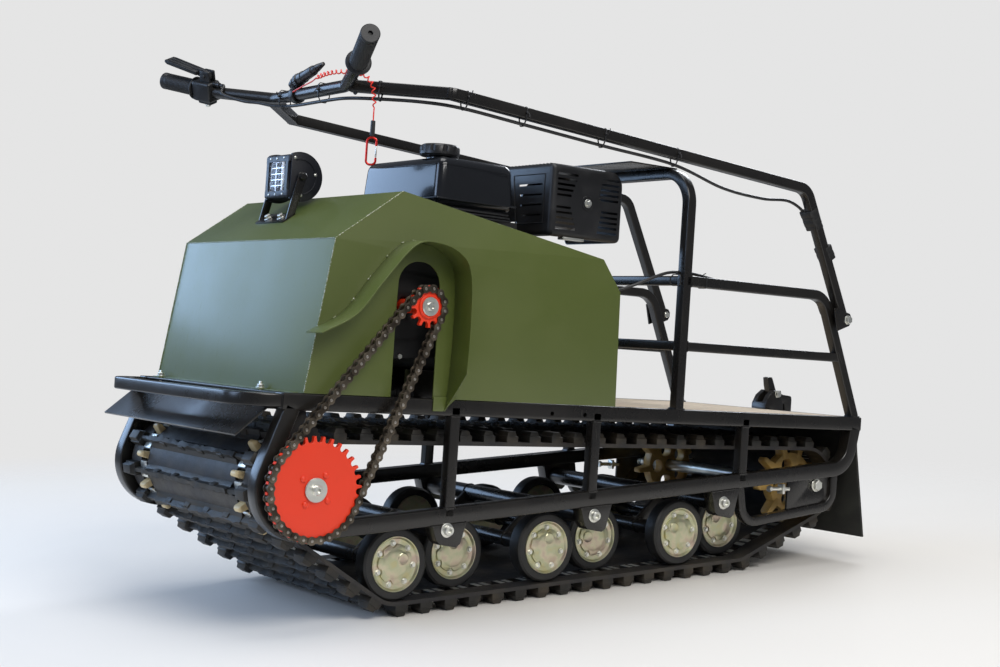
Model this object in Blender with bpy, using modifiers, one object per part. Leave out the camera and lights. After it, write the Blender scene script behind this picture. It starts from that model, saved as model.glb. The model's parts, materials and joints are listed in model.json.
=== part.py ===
"""Tracked snow tow vehicle: a motorised tow dog with a folding tiller.

The chassis is modelled in its own level frame and then tipped nose-up on one
empty. The running gear stands level under it on a lugged rubber track. A belt
drive turns a jackshaft, and a roller chain takes the drive down to the axle.
Lengths are in metres, +X is forward, +Y is the vehicle's left, +Z is up.
"""
from math import acos, asin, atan2, ceil, cos, degrees, hypot, pi, radians, sin, tan

import bmesh
import bpy
from mathutils import Matrix, Vector

# Clearances
GAP = 0.0003
RUNNING_GAP = 0.001
MERGE = 0.00001

# Track
TRACK_PITCH = 0.0505
TRACK_WIDTH = 0.485
BELT = 0.007
LUG_HEIGHT = 0.0195
LUG_BASE = 0.030
LUG_TOP = 0.022
WINDOW_WIDTH = 0.030
TOOTH_ROW = TRACK_WIDTH / 2 - 0.0565

# Chassis frame
NOSE_UP = radians(4.07)
FRONT_X = 0.6145
DECK_FRONT_Z = 0.389
DECK_LENGTH = 1.315
TRACK_CLEARANCE = 0.0365
FRAME_WIDTH = TRACK_WIDTH + 2 * TRACK_CLEARANCE
RAIL = 0.028
POST = 0.020
BUMPER_REACH = 0.100
BUMPER_TUBE = 0.022
BUMPER_RADIUS = 0.060
SHEET = 0.002
REAR_POST_U = 0.330 - DECK_LENGTH
CROSS_RAILS = (-0.320, -0.650, REAR_POST_U, 0.045 - DECK_LENGTH)
CROSS_RAIL_WIDTH = 0.030

# Side frames
SKID_FRONT_TOP = -0.212
SKID_RISE = 0.0935
FRONT_BEND = 0.072
FRONT_BEND_U = -0.008
REAR_BEND = 0.055
POST_PLACES = (-0.297, -0.609, REAR_POST_U)
LOOP_TUBE = 0.018
LOOP_REAR_U = 0.064 - DECK_LENGTH
LOOP_DROP = 0.074
LOOP_BEND = 0.035
SLOT_PLATE = 0.005
SLOT_LENGTH = 0.040
BEARING_PLATE = 0.006
BEARING_RADIUS = 0.030
HANGER = 0.027

# Drive sprockets and idlers
DRIVE_TEETH = 9
TOOTH_HEIGHT = 0.014
TOOTH_BASE = 0.016
TOOTH_TIP = 0.008
TOOTH_WIDTH = 0.024
DRIVE_AXLE_U = -0.019
DRIVE_AXLE_W = -0.152
AXLE_DIAMETER = 0.025
REAR_AXLE_W = -0.142
REAR_AXLE_U = 0.110 - DECK_LENGTH

# Road wheels and bogies
WHEEL_DIAMETER = 0.126
WHEEL_WIDTH = 0.036
HUB_DIAMETER = 0.096
WHEEL_SETBACK = 0.2020
BOGIE_PITCH = (DECK_LENGTH - 0.3475) / 3
PAIR_PITCH = 0.150
OUTER_WHEEL_FACE = TRACK_WIDTH / 2 - 0.0045
INNER_WHEEL_FACE = TRACK_WIDTH / 2 - 0.0505
STUB_DIAMETER = 0.020
PIVOT_RISE = 0.057
PIVOT_TUBE = 0.034
PIVOT_BOLT = 0.014
BOGIE_TUBE = 0.027
ARM_PLATE = 0.008
ARM_PLACE = TRACK_WIDTH / 2 - 0.1325

# Chain drive
CHAIN_PITCH = 0.015875
CHAIN_LINKS = 68
DRIVEN_TEETH = 32
SMALL_TEETH = 12
CHAIN_PLANE = FRAME_WIDTH / 2 + 0.0197
RUNG = 0.0064
LINK_HEIGHT = 0.0108
ROLLER_WIDTH = 0.0096
INNER_PLATE = 0.0016
OUTER_PLATE = 0.0016
SPROCKET_PLATE = 0.0086
CHAIN_LEAN = radians(36.3)

# Belt drive
DRIVEN_PULLEY_RADIUS = 0.098
DRIVE_PULLEY_RADIUS = 0.070
JACKSHAFT_DIAMETER = 0.025
CRANK_SPACING = 0.236

# Engine cover
COVER_FRONT_RUN = 0.040
COVER_FRONT_TOP = 0.254
COVER_PEAK_U = -0.162
COVER_PEAK_W = 0.342
COVER_TAIL_U = -0.600
COVER_TAIL_W = 0.266
COVER_KNEE_U = -0.644
COVER_KNEE_W = 0.209
COVER_REAR_U = -0.649
SLOT_FRONT_U = -0.163
SLOT_REAR_U = -0.247
SLOT_SHOULDER_W = 0.178
SLOT_TOP_W = 0.226

# Chain hood
HOOD_REACH = 0.052
HOOD_SHEET = 0.002

# Engine
STAND_TOP = 0.045
STAND_WIDTH = 0.036
CRANKCASE_FRONT = -0.350
CRANKCASE_REAR = -0.560
CRANKCASE_LEFT = 0.150
CRANKCASE_RIGHT = -0.120
CRANKCASE_TOP = 0.240
HEAD_TOP = 0.335
TANK_FRONT = -0.315
TANK_REAR = -0.490
TANK_BOTTOM = 0.338
TANK_TOP = 0.430
CAP_U = -0.357
CAP_Y = 0.085
CAP_DIAMETER = 0.074
CAP_HEIGHT = 0.022
MUFFLER_DIAMETER = 0.096
GUARD_FRONT = -0.553
GUARD_REAR = -0.727
GUARD_LEFT = 0.172
GUARD_RIGHT = 0.010
GUARD_BOTTOM = 0.308
GUARD_TOP = 0.444
RECOIL_DIAMETER = 0.190
RECOIL_DEPTH = 0.070

# Lamp
LAMP_WIDTH = 0.090
LAMP_HEIGHT = 0.070
LAMP_DEPTH = 0.044
LAMP_PIVOT_U = -0.122
LAMP_PIVOT_W = 0.375
LAMP_EAR = 0.003

# Cargo rack
HOOP_U = -0.812
HOOP_TOP = 0.450
HOOP_RADIUS = 0.062
RACK_TUBE = 0.020
RACK_LOWER = 0.120
RACK_UPPER = 0.244
REAR_POST_FOOT = 0.014 - DECK_LENGTH
REAR_POST_LEAN = radians(24.0)
REAR_POST_RADIUS = 0.050
PLYWOOD = 0.009

# Tiller
TILLER_PIVOT_U = 0.074 - DECK_LENGTH
TILLER_PIVOT_W = 0.198
TILLER_TUBE = 0.020
ELBOW_U = 0.203 - DECK_LENGTH
ELBOW_W = 0.452
KINK_U = -0.247
KINK_W = 0.516
BAR_U = -0.127
BAR_W = 0.526
BAR_HALF = 0.141
BAR_DIAMETER = 0.022
BAR_BEND_Y = 0.128
GRIP_START_Y = 0.262
GRIP_END_Y = 0.380
GRIP_SWEEP = 0.430
GRIP_RISE = 0.220
GRIP_DIAMETER = 0.032
TILLER_BOLT = 0.008

# Hitch
HITCH_PIVOT_U = -0.015 - DECK_LENGTH
HITCH_PIVOT_W = 0.034
LATCH_THICKNESS = 0.016

# Cords
CABLE_DIAMETER = 0.006
CORD_DIAMETER = 0.0024
CURL_DIAMETER = 0.0088
CURLS = 17
CURL_POINTS = 8
CARABINER_HEIGHT = 0.050
CARABINER_WIDTH = 0.020
CARABINER_WIRE = 0.004

HALF = FRAME_WIDTH / 2
WHEEL_Z = LUG_HEIGHT + BELT + GAP + WHEEL_DIAMETER / 2
PIVOT_Z = WHEEL_Z + PIVOT_RISE
BELT_RADIUS = DRIVE_TEETH * TRACK_PITCH / (2 * pi)
CHASSIS = Matrix.Translation((FRONT_X, 0, DECK_FRONT_Z)) @ Matrix.Rotation(-NOSE_UP, 4, "Y")
UPRIGHT = Matrix.Rotation(radians(90), 4, "X")


for leftover in list(bpy.data.objects):
    bpy.data.objects.remove(leftover, do_unlink=True)


def new_collection(name):
    collection = bpy.data.collections.new(name)
    bpy.context.scene.collection.children.link(collection)
    return collection


PARTS = new_collection("tracked_tow_vehicle")
TOOLS = new_collection("cutters")


def principled(name, colour, roughness, metallic=0.0):
    material = bpy.data.materials.new(name)
    material.use_nodes = True
    shader = material.node_tree.nodes["Principled BSDF"]
    shader.inputs["Base Color"].default_value = (*colour, 1.0)
    shader.inputs["Roughness"].default_value = roughness
    shader.inputs["Metallic"].default_value = metallic
    return material


BLACK_PAINT = principled("black_paint", (0.012, 0.013, 0.015), 0.28)
OLIVE_PAINT = principled("olive_paint", (0.089, 0.112, 0.026), 0.38)
ORANGE_PAINT = principled("orange_paint", (0.680, 0.060, 0.022), 0.40)
RUBBER = principled("black_rubber", (0.018, 0.018, 0.019), 0.75)
POLYURETHANE = principled("tan_polyurethane", (0.480, 0.330, 0.110), 0.45)
YELLOW_ZINC = principled("yellow_zinc", (0.560, 0.520, 0.240), 0.35, 0.8)
BRIGHT_ZINC = principled("bright_zinc", (0.600, 0.600, 0.590), 0.32, 0.9)
CHAIN_STEEL = principled("oiled_chain_steel", (0.100, 0.090, 0.070), 0.45, 0.8)
PLYWOOD_FACE = principled("plywood", (0.420, 0.320, 0.230), 0.70)
BLACK_PLASTIC = principled("black_plastic", (0.020, 0.020, 0.021), 0.50)
CAST_ALLOY = principled("cast_alloy", (0.420, 0.420, 0.420), 0.50, 0.7)
LENS = principled("lamp_lens", (0.750, 0.770, 0.800), 0.12)
RED_CORD = principled("red_cord", (0.600, 0.030, 0.020), 0.45)
RED_ALLOY = principled("red_alloy", (0.450, 0.030, 0.025), 0.35, 0.6)


def solid(name, mesh, place=None):
    """A tool object that holds a finished mesh, moved by a matrix into its mesh."""
    if place is not None:
        mesh.transform(place)
    obj = bpy.data.objects.new(name, mesh)
    TOOLS.objects.link(obj)
    obj.hide_render = True
    obj.display_type = "WIRE"
    return obj


def from_bmesh(name, shape, place=None):
    mesh = bpy.data.meshes.new(name)
    shape.to_mesh(mesh)
    shape.free()
    return solid(name, mesh, place)


def baked(obj):
    """Turn an object with live modifiers, or a curve, into a plain welded mesh."""
    bpy.context.view_layer.update()
    graph = bpy.context.evaluated_depsgraph_get()
    mesh = bpy.data.meshes.new_from_object(obj.evaluated_get(graph))
    shape = bmesh.new()
    shape.from_mesh(mesh)
    bmesh.ops.remove_doubles(shape, verts=shape.verts, dist=MERGE)
    shape.to_mesh(mesh)
    shape.free()
    mesh.transform(obj.matrix_world)
    name = obj.name
    bpy.data.objects.remove(obj, do_unlink=True)
    return solid(name, mesh)


def box(name, low, high, place=None):
    shape = bmesh.new()
    size = [abs(b - a) for a, b in zip(low, high)]
    middle = [(a + b) / 2 for a, b in zip(low, high)]
    fit = Matrix.Translation(middle) @ Matrix.Diagonal((*size, 1.0))
    bmesh.ops.create_cube(shape, size=1.0, matrix=fit)
    return from_bmesh(name, shape, place)


def rod(name, start, end, radius, sides=12, end_radius=None, place=None):
    """A cylinder, or a cone, between two points."""
    start, end = Vector(start), Vector(end)
    along = end - start
    turn = along.to_track_quat("Z", "Y").to_matrix().to_4x4()
    shape = bmesh.new()
    bmesh.ops.create_cone(
        shape, cap_ends=True, cap_tris=False, segments=sides,
        radius1=radius, radius2=radius if end_radius is None else end_radius,
        depth=along.length, matrix=Matrix.Translation((start + end) / 2) @ turn)
    return from_bmesh(name, shape, place)


def across(name, u, w, y0, y1, radius, sides=12):
    """A round bar that lies across the vehicle, from y0 to y1."""
    return rod(name, (u, y0, w), (u, y1, w), radius, sides)


def plate(name, outlines, y0, y1, place=None):
    """A flat plate in the side plane: closed outlines of (u, w), the later ones are holes."""
    curve = bpy.data.curves.new(name, "CURVE")
    curve.dimensions = "2D"
    curve.fill_mode = "BOTH"
    curve.extrude = abs(y1 - y0) / 2
    for outline in outlines:
        spline = curve.splines.new("POLY")
        spline.points.add(len(outline) - 1)
        for point, (u, w) in zip(spline.points, outline):
            point.co = (u, w, 0, 1)
        spline.use_cyclic_u = True
    obj = bpy.data.objects.new(name, curve)
    TOOLS.objects.link(obj)
    obj.matrix_world = Matrix.Translation((0, (y0 + y1) / 2, 0)) @ UPRIGHT
    result = baked(obj)
    if place is not None:
        result.data.transform(place)
    return result


def bent(corners, radius, step=radians(22.5)):
    """A path through corners, with each inner corner rounded to the radius."""
    path = [Vector(corners[0])]
    for before, corner, after in zip(corners, corners[1:], corners[2:]):
        corner = Vector(corner)
        into, out = (corner - Vector(before)).normalized(), (Vector(after) - corner).normalized()
        turn = acos(max(-1.0, min(1.0, into.dot(out))))
        if turn < radians(1):
            path.append(corner)
            continue
        back = radius * tan(turn / 2)
        side = (out - into * into.dot(out)).normalized()
        centre = corner - into * back + side * radius
        count = max(1, round(turn / step))
        for k in range(count + 1):
            angle = turn * k / count
            path.append(centre - side * radius * cos(angle) + into * radius * sin(angle))
    path.append(Vector(corners[-1]))
    return path


SQUARES = {}


def square_profile(side):
    """A square outline that curves take as their section, made once for each size."""
    if side not in SQUARES:
        curve = bpy.data.curves.new("square_section", "CURVE")
        curve.dimensions = "2D"
        spline = curve.splines.new("POLY")
        spline.points.add(3)
        half = side / 2
        ring = ((-half, half), (half, half), (half, -half), (-half, -half))
        for point, (x, y) in zip(spline.points, ring):
            point.co = (x, y, 0, 1)
        spline.use_cyclic_u = True
        profile = bpy.data.objects.new("square_section", curve)
        TOOLS.objects.link(profile)
        profile.hide_render = True
        SQUARES[side] = profile
    return SQUARES[side]


def square_tube(name, path, side, frame):
    """A square tube along a flat path; frame lays the path's plane in space."""
    curve = bpy.data.curves.new(name, "CURVE")
    curve.dimensions = "2D"
    curve.bevel_mode = "OBJECT"
    curve.bevel_object = square_profile(side)
    curve.use_fill_caps = True
    curve.fill_mode = "NONE"
    spline = curve.splines.new("POLY")
    spline.points.add(len(path) - 1)
    for point, (a, b) in zip(spline.points, path):
        point.co = (a, b, 0, 1)
    obj = bpy.data.objects.new(name, curve)
    TOOLS.objects.link(obj)
    obj.matrix_world = frame
    return baked(obj)


def side_plane(y):
    return Matrix.Translation((0, y, 0)) @ UPRIGHT


def cross_plane(u):
    return Matrix.Translation((u, 0, 0)) @ Matrix(
        ((0, 0, 1, 0), (1, 0, 0, 0), (0, 1, 0, 0), (0, 0, 0, 1)))


def floor_plane(w):
    return Matrix.Translation((0, 0, w))


def round_tube(name, points, radius, resolution=2):
    curve = bpy.data.curves.new(name, "CURVE")
    curve.dimensions = "3D"
    curve.bevel_depth = radius
    curve.bevel_resolution = resolution
    curve.use_fill_caps = True
    spline = curve.splines.new("POLY")
    spline.points.add(len(points) - 1)
    for point, place in zip(spline.points, points):
        point.co = (*place, 1)
    obj = bpy.data.objects.new(name, curve)
    TOOLS.objects.link(obj)
    return baked(obj)


def turned(name, profile, sides, place=None):
    """A solid of revolution about the Y axis; profile is (y, radius), outer end first."""
    mesh = bpy.data.meshes.new(name)
    points = [(radius, 0, y) for y, radius in profile]
    mesh.from_pydata(points, [(k, k + 1) for k in range(len(points) - 1)], [])
    obj = bpy.data.objects.new(name, mesh)
    TOOLS.objects.link(obj)
    screw = obj.modifiers.new("turn", "SCREW")
    screw.axis = "Z"
    screw.steps = sides
    screw.render_steps = sides
    screw.use_merge_vertices = True
    screw.merge_threshold = MERGE
    obj.matrix_world = Matrix.Rotation(radians(-90), 4, "X")
    result = baked(obj)
    if place is not None:
        result.data.transform(place)
    return result


def combined(first, others, operation):
    """Weld solids onto the first one, or cut them out of it, and clear them away."""
    for other in others:
        step = first.modifiers.new(operation.lower(), "BOOLEAN")
        step.operation = operation
        step.solver = "EXACT"
        step.object = other
    result = baked(first)
    for other in others:
        bpy.data.objects.remove(other, do_unlink=True)
    return result


def weld(first, *others):
    return combined(first, others, "UNION")


def carve(first, *others):
    return combined(first, others, "DIFFERENCE")


def group(name, solids):
    """Several separate solids in one mesh, for use as a single tool."""
    shape = bmesh.new()
    for obj in solids:
        shape.from_mesh(obj.data)
        bpy.data.objects.remove(obj, do_unlink=True)
    return from_bmesh(name, shape)


def empty(name, place, parent=None):
    obj = bpy.data.objects.new(name, None)
    PARTS.objects.link(obj)
    obj.parent = parent
    obj.matrix_world = place
    return obj


def node(name, obj, material, parent=None, axis=None, smooth=False):
    """Finish a solid as a named part; axis is the world point that its origin sits on."""
    mesh = obj.data
    mesh.name = name
    if parent is not None and parent.name == "chassis":
        mesh.transform(CHASSIS)
    place = Matrix.Translation(axis) if axis is not None else Matrix.Identity(4)
    mesh.transform(place.inverted())
    mesh.materials.clear()
    mesh.materials.append(material)
    if smooth:
        mesh.shade_smooth()
        mesh.set_sharp_from_angle(angle=radians(35))
    TOOLS.objects.unlink(obj)
    PARTS.objects.link(obj)
    obj.name = name
    obj.hide_render = False
    obj.display_type = "TEXTURED"
    bpy.context.view_layer.update()
    if parent is not None:
        obj.parent = parent
        obj.matrix_parent_inverse = parent.matrix_world.inverted()
    obj.matrix_world = place
    return obj


def from_chassis(u, y, w):
    return CHASSIS @ Vector((u, y, w))


chassis = empty("chassis", CHASSIS)


def in_chassis(x, z):
    """The (u, w) of a world point on the middle plane."""
    point = CHASSIS.inverted() @ Vector((x, 0, z))
    return point.x, point.z


# Loops of the track and the chain

class Loop:
    """A belt's middle line round circles (x, z, radius), walked with the inside on its left."""

    def __init__(self, circles):
        headings = []
        for (x0, z0, r0), (x1, z1, r1) in zip(circles, circles[1:] + circles[:1]):
            span = hypot(x1 - x0, z1 - z0)
            headings.append(atan2(z1 - z0, x1 - x0) + asin((r0 - r1) / span))
        self.pieces = []
        self.length = 0.0
        for k, (x, z, r) in enumerate(circles):
            into, out = headings[k - 1], headings[k]
            turn = (out - into) % (2 * pi)
            self.pieces.append((self.length, r * turn, x, z, r, into))
            self.length += r * turn
            x1, z1, r1 = circles[(k + 1) % len(circles)]
            start = (x + r * sin(out), z - r * cos(out))
            end = (x1 + r1 * sin(out), z1 - r1 * cos(out))
            run = hypot(end[0] - start[0], end[1] - start[1])
            self.pieces.append((self.length, run, start[0], start[1], 0.0, out))
            self.length += run

    def at(self, along):
        """Point and heading at a distance along the loop."""
        along %= self.length
        for start, run, x, z, r, heading in self.pieces:
            if along <= start + run + 1e-9:
                step = along - start
                if r > 0:
                    angle = heading + step / r
                    return Vector((x + r * sin(angle), z - r * cos(angle))), angle
                return Vector((x + step * cos(heading), z + step * sin(heading))), heading
        return Vector((x, z)), heading

    def on_arc(self, number, marks):
        """The first of the marks that lies on the numbered arc, as an angle about its centre."""
        start, run, x, z, r, heading = self.pieces[2 * number]
        for mark in marks:
            mark %= self.length
            if start <= mark <= start + run:
                point, _ = self.at(mark)
                return atan2(point.y - z, point.x - x)
        raise ValueError("no mark on the arc")


def solved(measure, low, high, target):
    """The value between low and high at which a falling measure meets the target."""
    for _ in range(50):
        middle = (low + high) / 2
        if measure(middle) > target:
            low = middle
        else:
            high = middle
    return (low + high) / 2


drive_axle_place = from_chassis(DRIVE_AXLE_U, 0, DRIVE_AXLE_W)
first_wheel_x = FRONT_X - WHEEL_SETBACK
bogie_places = [first_wheel_x - PAIR_PITCH / 2 - k * BOGIE_PITCH for k in range(3)]
last_wheel_x = bogie_places[-1] - PAIR_PITCH / 2
under_wheel = WHEEL_DIAMETER / 2 + GAP + BELT / 2


def track_loop(rear_u):
    rear = from_chassis(rear_u, 0, REAR_AXLE_W)
    return Loop([(drive_axle_place.x, drive_axle_place.z, BELT_RADIUS),
                 (rear.x, rear.z, BELT_RADIUS),
                 (last_wheel_x, WHEEL_Z, under_wheel),
                 (first_wheel_x, WHEEL_Z, under_wheel)])


TRACK_LINKS = round(track_loop(REAR_AXLE_U).length / TRACK_PITCH)
rear_axle_u = solved(lambda u: track_loop(u).length,
                     REAR_AXLE_U - 0.08, REAR_AXLE_U + 0.08, TRACK_LINKS * TRACK_PITCH)
rear_axle_place = from_chassis(rear_axle_u, 0, REAR_AXLE_W)
TRACK_PATH = track_loop(rear_axle_u)

driven_radius = DRIVEN_TEETH * CHAIN_PITCH / (2 * pi)
small_radius = SMALL_TEETH * CHAIN_PITCH / (2 * pi)


def small_place(distance):
    return (drive_axle_place.x - distance * sin(CHAIN_LEAN),
            drive_axle_place.z + distance * cos(CHAIN_LEAN))


def chain_loop(distance):
    return Loop([(*small_place(distance), small_radius),
                 (drive_axle_place.x, drive_axle_place.z, driven_radius)])


chain_centres = solved(lambda d: -chain_loop(d).length, 0.25, 0.50, -CHAIN_LINKS * CHAIN_PITCH)
CHAIN_PATH = chain_loop(chain_centres)
small_x, small_z = small_place(chain_centres)
small_u, small_w = in_chassis(small_x, small_z)
print("rear axle u", round(rear_axle_u, 4), "chain centres", round(chain_centres, 4),
      "small sprocket u w", round(small_u, 4), round(small_w, 4))


# Deck frame

inner = HALF - RAIL
rail_mid = HALF - RAIL / 2
RAIL_REACH = 0.036
tools = []
for y in (rail_mid, -rail_mid):
    tools.append(box("rail", (-DECK_LENGTH, y - RAIL / 2, -RAIL), (RAIL_REACH, y + RAIL / 2, 0)))
into_rail = inner + 0.005
tools.append(box("front_rail", (-RAIL, -into_rail, -RAIL + 0.0005), (0, into_rail, -0.0005)))
tools.append(box("rear_rail", (-DECK_LENGTH + 0.0005, -into_rail, -RAIL + 0.0005),
                 (-DECK_LENGTH + RAIL, into_rail, -0.0005)))
for u in CROSS_RAILS:
    tools.append(box("cross_rail", (u - CROSS_RAIL_WIDTH / 2, -into_rail, -RAIL + 0.001),
                     (u + CROSS_RAIL_WIDTH / 2, into_rail, -PLYWOOD - GAP)))
stand_ys = (-0.075, 0.105)
for y in stand_ys:
    tools.append(box("stand", (CROSS_RAILS[1], y - STAND_WIDTH / 2, -RAIL + 0.004),
                     (CROSS_RAILS[0] + 0.010, y + STAND_WIDTH / 2, STAND_TOP)))
bumper_y = HALF - BUMPER_TUBE / 2 - 0.004
bumper_path = bent([(RAIL_REACH - 0.010, bumper_y), (BUMPER_REACH, bumper_y),
                    (BUMPER_REACH, -bumper_y), (RAIL_REACH - 0.010, -bumper_y)],
                   BUMPER_RADIUS, radians(15))
tools.append(square_tube("bumper", bumper_path, BUMPER_TUBE, floor_plane(-0.013)))
lip_front = RAIL_REACH - 0.0005
tools.append(box("lip", (-0.006, -inner - 0.001, -0.0045), (lip_front, inner + 0.001, -0.001)))
frame = weld(*tools)
holes = [across("hole", u, -0.017, HALF - 0.012, HALF + 0.01, 0.004, 8) for u in (-0.504, -0.579)]
frame = carve(frame, group("holes", holes))
node("deck_frame", frame, BLACK_PAINT, chassis)


# Side frames

def skid_middle(u):
    return SKID_FRONT_TOP - SKID_RISE * u - RAIL / 2


lean = radians(20)
tangent_u = FRONT_BEND_U + FRONT_BEND * cos(lean)
tangent_w = DRIVE_AXLE_W - 0.002 + FRONT_BEND * sin(lean)
run = (tangent_w - skid_middle(tangent_u)) / (cos(lean) - SKID_RISE * sin(lean))
front_corner = (tangent_u + run * sin(lean), tangent_w - run * cos(lean))
rise = -RAIL / 2 - tangent_w
front_top = (tangent_u - rise * tan(lean), -RAIL / 2)
rear_corner = (REAR_POST_FOOT + 0.017, skid_middle(REAR_POST_FOOT + 0.017))
rear_top = (REAR_POST_FOOT, -RAIL / 2)
under_deck = -RAIL - GAP


def side_frame(side):
    y = side * rail_mid
    skid = square_tube("skid", [tuple(p) for p in bent([front_top, front_corner, rear_corner], FRONT_BEND,
                                                       radians(18))][:-1]
                       + [tuple(p) for p in bent([front_corner, rear_corner, rear_top], REAR_BEND,
                                                 radians(24))][1:],
                       RAIL, side_plane(y))
    skid = carve(skid, box("above", (-DECK_LENGTH - 0.2, y - 0.05, under_deck), (0.2, y + 0.05, 0.1)))
    tools = []
    post_y = side * (HALF - POST / 2)
    for u in POST_PLACES:
        tools.append(box("post", (u - POST / 2, post_y - POST / 2 + 0.0005 * side, skid_middle(u)),
                         (u + POST / 2, post_y + POST / 2 - 0.0005 * side, under_deck)))
    plate_y = side * (HALF - 0.017)
    web = [(0.018, under_deck), (-0.012, under_deck), (-0.014, -0.039), (-0.038, -0.064), (-0.055, -0.090),
           (-0.055, skid_middle(-0.055)), (0.0, skid_middle(0.0)), (0.058, -0.190),
           (0.062, -0.130)]
    tools.append(plate("web", [web], plate_y, plate_y + side * BEARING_PLATE))
    tools.append(across("bearing", DRIVE_AXLE_U, DRIVE_AXLE_W, plate_y + side * 0.003,
                        side * (HALF + 0.002), BEARING_RADIUS, 12))
    loop_front = REAR_POST_U - 0.016
    loop_path = bent([(REAR_POST_U, skid_middle(REAR_POST_U)),
                      (loop_front, skid_middle(loop_front) - LOOP_DROP - 0.012),
                      (LOOP_REAR_U, REAR_AXLE_W - 0.041), (LOOP_REAR_U, skid_middle(LOOP_REAR_U))],
                     LOOP_BEND, radians(42))
    tools.append(square_tube("loop", [tuple(p) for p in loop_path], LOOP_TUBE, side_plane(y)))
    slot_y = side * (rail_mid - SLOT_PLATE / 2)
    slot_mid = rear_axle_u
    half_slot = SLOT_LENGTH / 2
    slot_low, slot_high = REAR_AXLE_W - 0.0075, REAR_AXLE_W + 0.0075
    slot_outline = [(slot_mid - half_slot, slot_low), (slot_mid + half_slot, slot_low),
                    (slot_mid + half_slot, slot_high), (slot_mid - half_slot, slot_high)]
    plate_front, plate_rear = REAR_AXLE_U + 0.082, REAR_AXLE_U - 0.041
    slot_plate = [(plate_front, REAR_AXLE_W + 0.024), (plate_rear, REAR_AXLE_W + 0.034),
                  (plate_rear, REAR_AXLE_W - 0.046), (plate_front, REAR_AXLE_W - 0.053)]
    tools.append(plate("slot_plate", [slot_plate, slot_outline], slot_y, slot_y + side * SLOT_PLATE))
    tools.append(rod("adjuster", (plate_front + 0.048, y, REAR_AXLE_W - 0.008),
                     (plate_front - 0.003, y, REAR_AXLE_W - 0.008), 0.005, 6))
    for x in bogie_places:
        u, w = in_chassis(x, PIVOT_Z)
        top = skid_middle(u)
        hanger_y = side * (HALF - 0.0005 - HANGER)
        tools.append(plate("hanger", [[(u - 0.044, top), (u + 0.036, top), (u + 0.020, w - 0.024),
                                       (u - 0.030, w - 0.030)]], hanger_y, hanger_y + side * HANGER))
        tools.append(across("pivot_bolt", u, w, side * (HALF - 0.048), side * (HALF - 0.003),
                            PIVOT_BOLT / 2, 6))
        tools.append(across("nut", u, w, side * (HALF - 0.004), side * (HALF + 0.010), 0.0115, 6))
    body = weld(skid, *tools)
    return carve(body, across("axle_hole", DRIVE_AXLE_U, DRIVE_AXLE_W, side * (HALF - 0.05),
                              side * (HALF + 0.05), AXLE_DIAMETER / 2 + 0.0014, 12))


node("side_frame_left", side_frame(1), BLACK_PAINT, chassis)
node("side_frame_right", side_frame(-1), BLACK_PAINT, chassis)


# Deck boards, deflector, flap

deck_half = inner - GAP
node("cargo_deck", box("boards", (-DECK_LENGTH + RAIL + GAP, -deck_half, -PLYWOOD),
                       (COVER_REAR_U - 0.006, deck_half, 0)), PLYWOOD_FACE, chassis)

deflector_half = HALF - 0.018
deflector = [(RAIL_REACH + 0.0005, -0.0243), (RAIL_REACH + 0.0005, -0.0273), (0.054, -0.0273),
             (0.107, -0.0715),
             (0.109, -0.0692), (0.0553, -0.0243)]
node("snow_deflector", plate("deflector", [deflector], -deflector_half, deflector_half), BLACK_PAINT,
     chassis)

flap_u = -DECK_LENGTH - GAP


def flap_point(y, w, back):
    lean_back = max(0.0, -RAIL - w) * 0.078
    return (flap_u - back * 0.005 - lean_back, y, w)


flap = bmesh.new()
corners = ((-1, 0), (1, 0), (1, 1), (-1, 1))
rows = [[flap.verts.new(flap_point(side * half, w, back)) for side, back in corners]
        for half, w in ((HALF - 0.017, -0.008), (HALF - 0.017, -RAIL), (HALF + 0.006, -0.247))]
flap.faces.new(rows[0])
flap.faces.new(reversed(rows[-1]))
for upper, lower in zip(rows, rows[1:]):
    for k in range(4):
        flap.faces.new((upper[k], lower[k], lower[(k + 1) % 4], upper[(k + 1) % 4]))
bmesh.ops.recalc_face_normals(flap, faces=flap.faces)
node("mud_flap", from_bmesh("flap", flap), RUBBER, chassis)


# Hitch

def at_rear(outline):
    """An outline given from the deck's rear edge."""
    return [(u - DECK_LENGTH, w) for u, w in outline]


hitch_outline = at_rear([(0.019, GAP), (-GAP, GAP), (-GAP, -0.0065), (-0.0062, -0.0065), (-0.0062, -0.032),
                         (-0.079, -0.032), (-0.079, -0.020), (-0.035, -0.020), (-0.035, 0.010),
                         (-0.031, 0.022), (-0.025, 0.042), (-0.007, 0.042), (0.009, 0.030), (0.019, 0.012)])
hitch = plate("hitch", [hitch_outline], -0.022, 0.022)
slot_half = LATCH_THICKNESS / 2 + 0.0005
slot_u = -0.005 - DECK_LENGTH
hitch = carve(hitch, box("latch_slot", (slot_u, -slot_half, 0.0135), (slot_u - 0.080, slot_half, 0.08)),
              box("beak_slot", (slot_u + 0.040, -slot_half, 0.0155), (slot_u - 0.0005, slot_half, 0.08)))
pin = across("pin", HITCH_PIVOT_U, HITCH_PIVOT_W, -0.026, 0.026, 0.004, 12)
node("tow_hitch", weld(hitch, pin), BLACK_PAINT, chassis)

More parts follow.
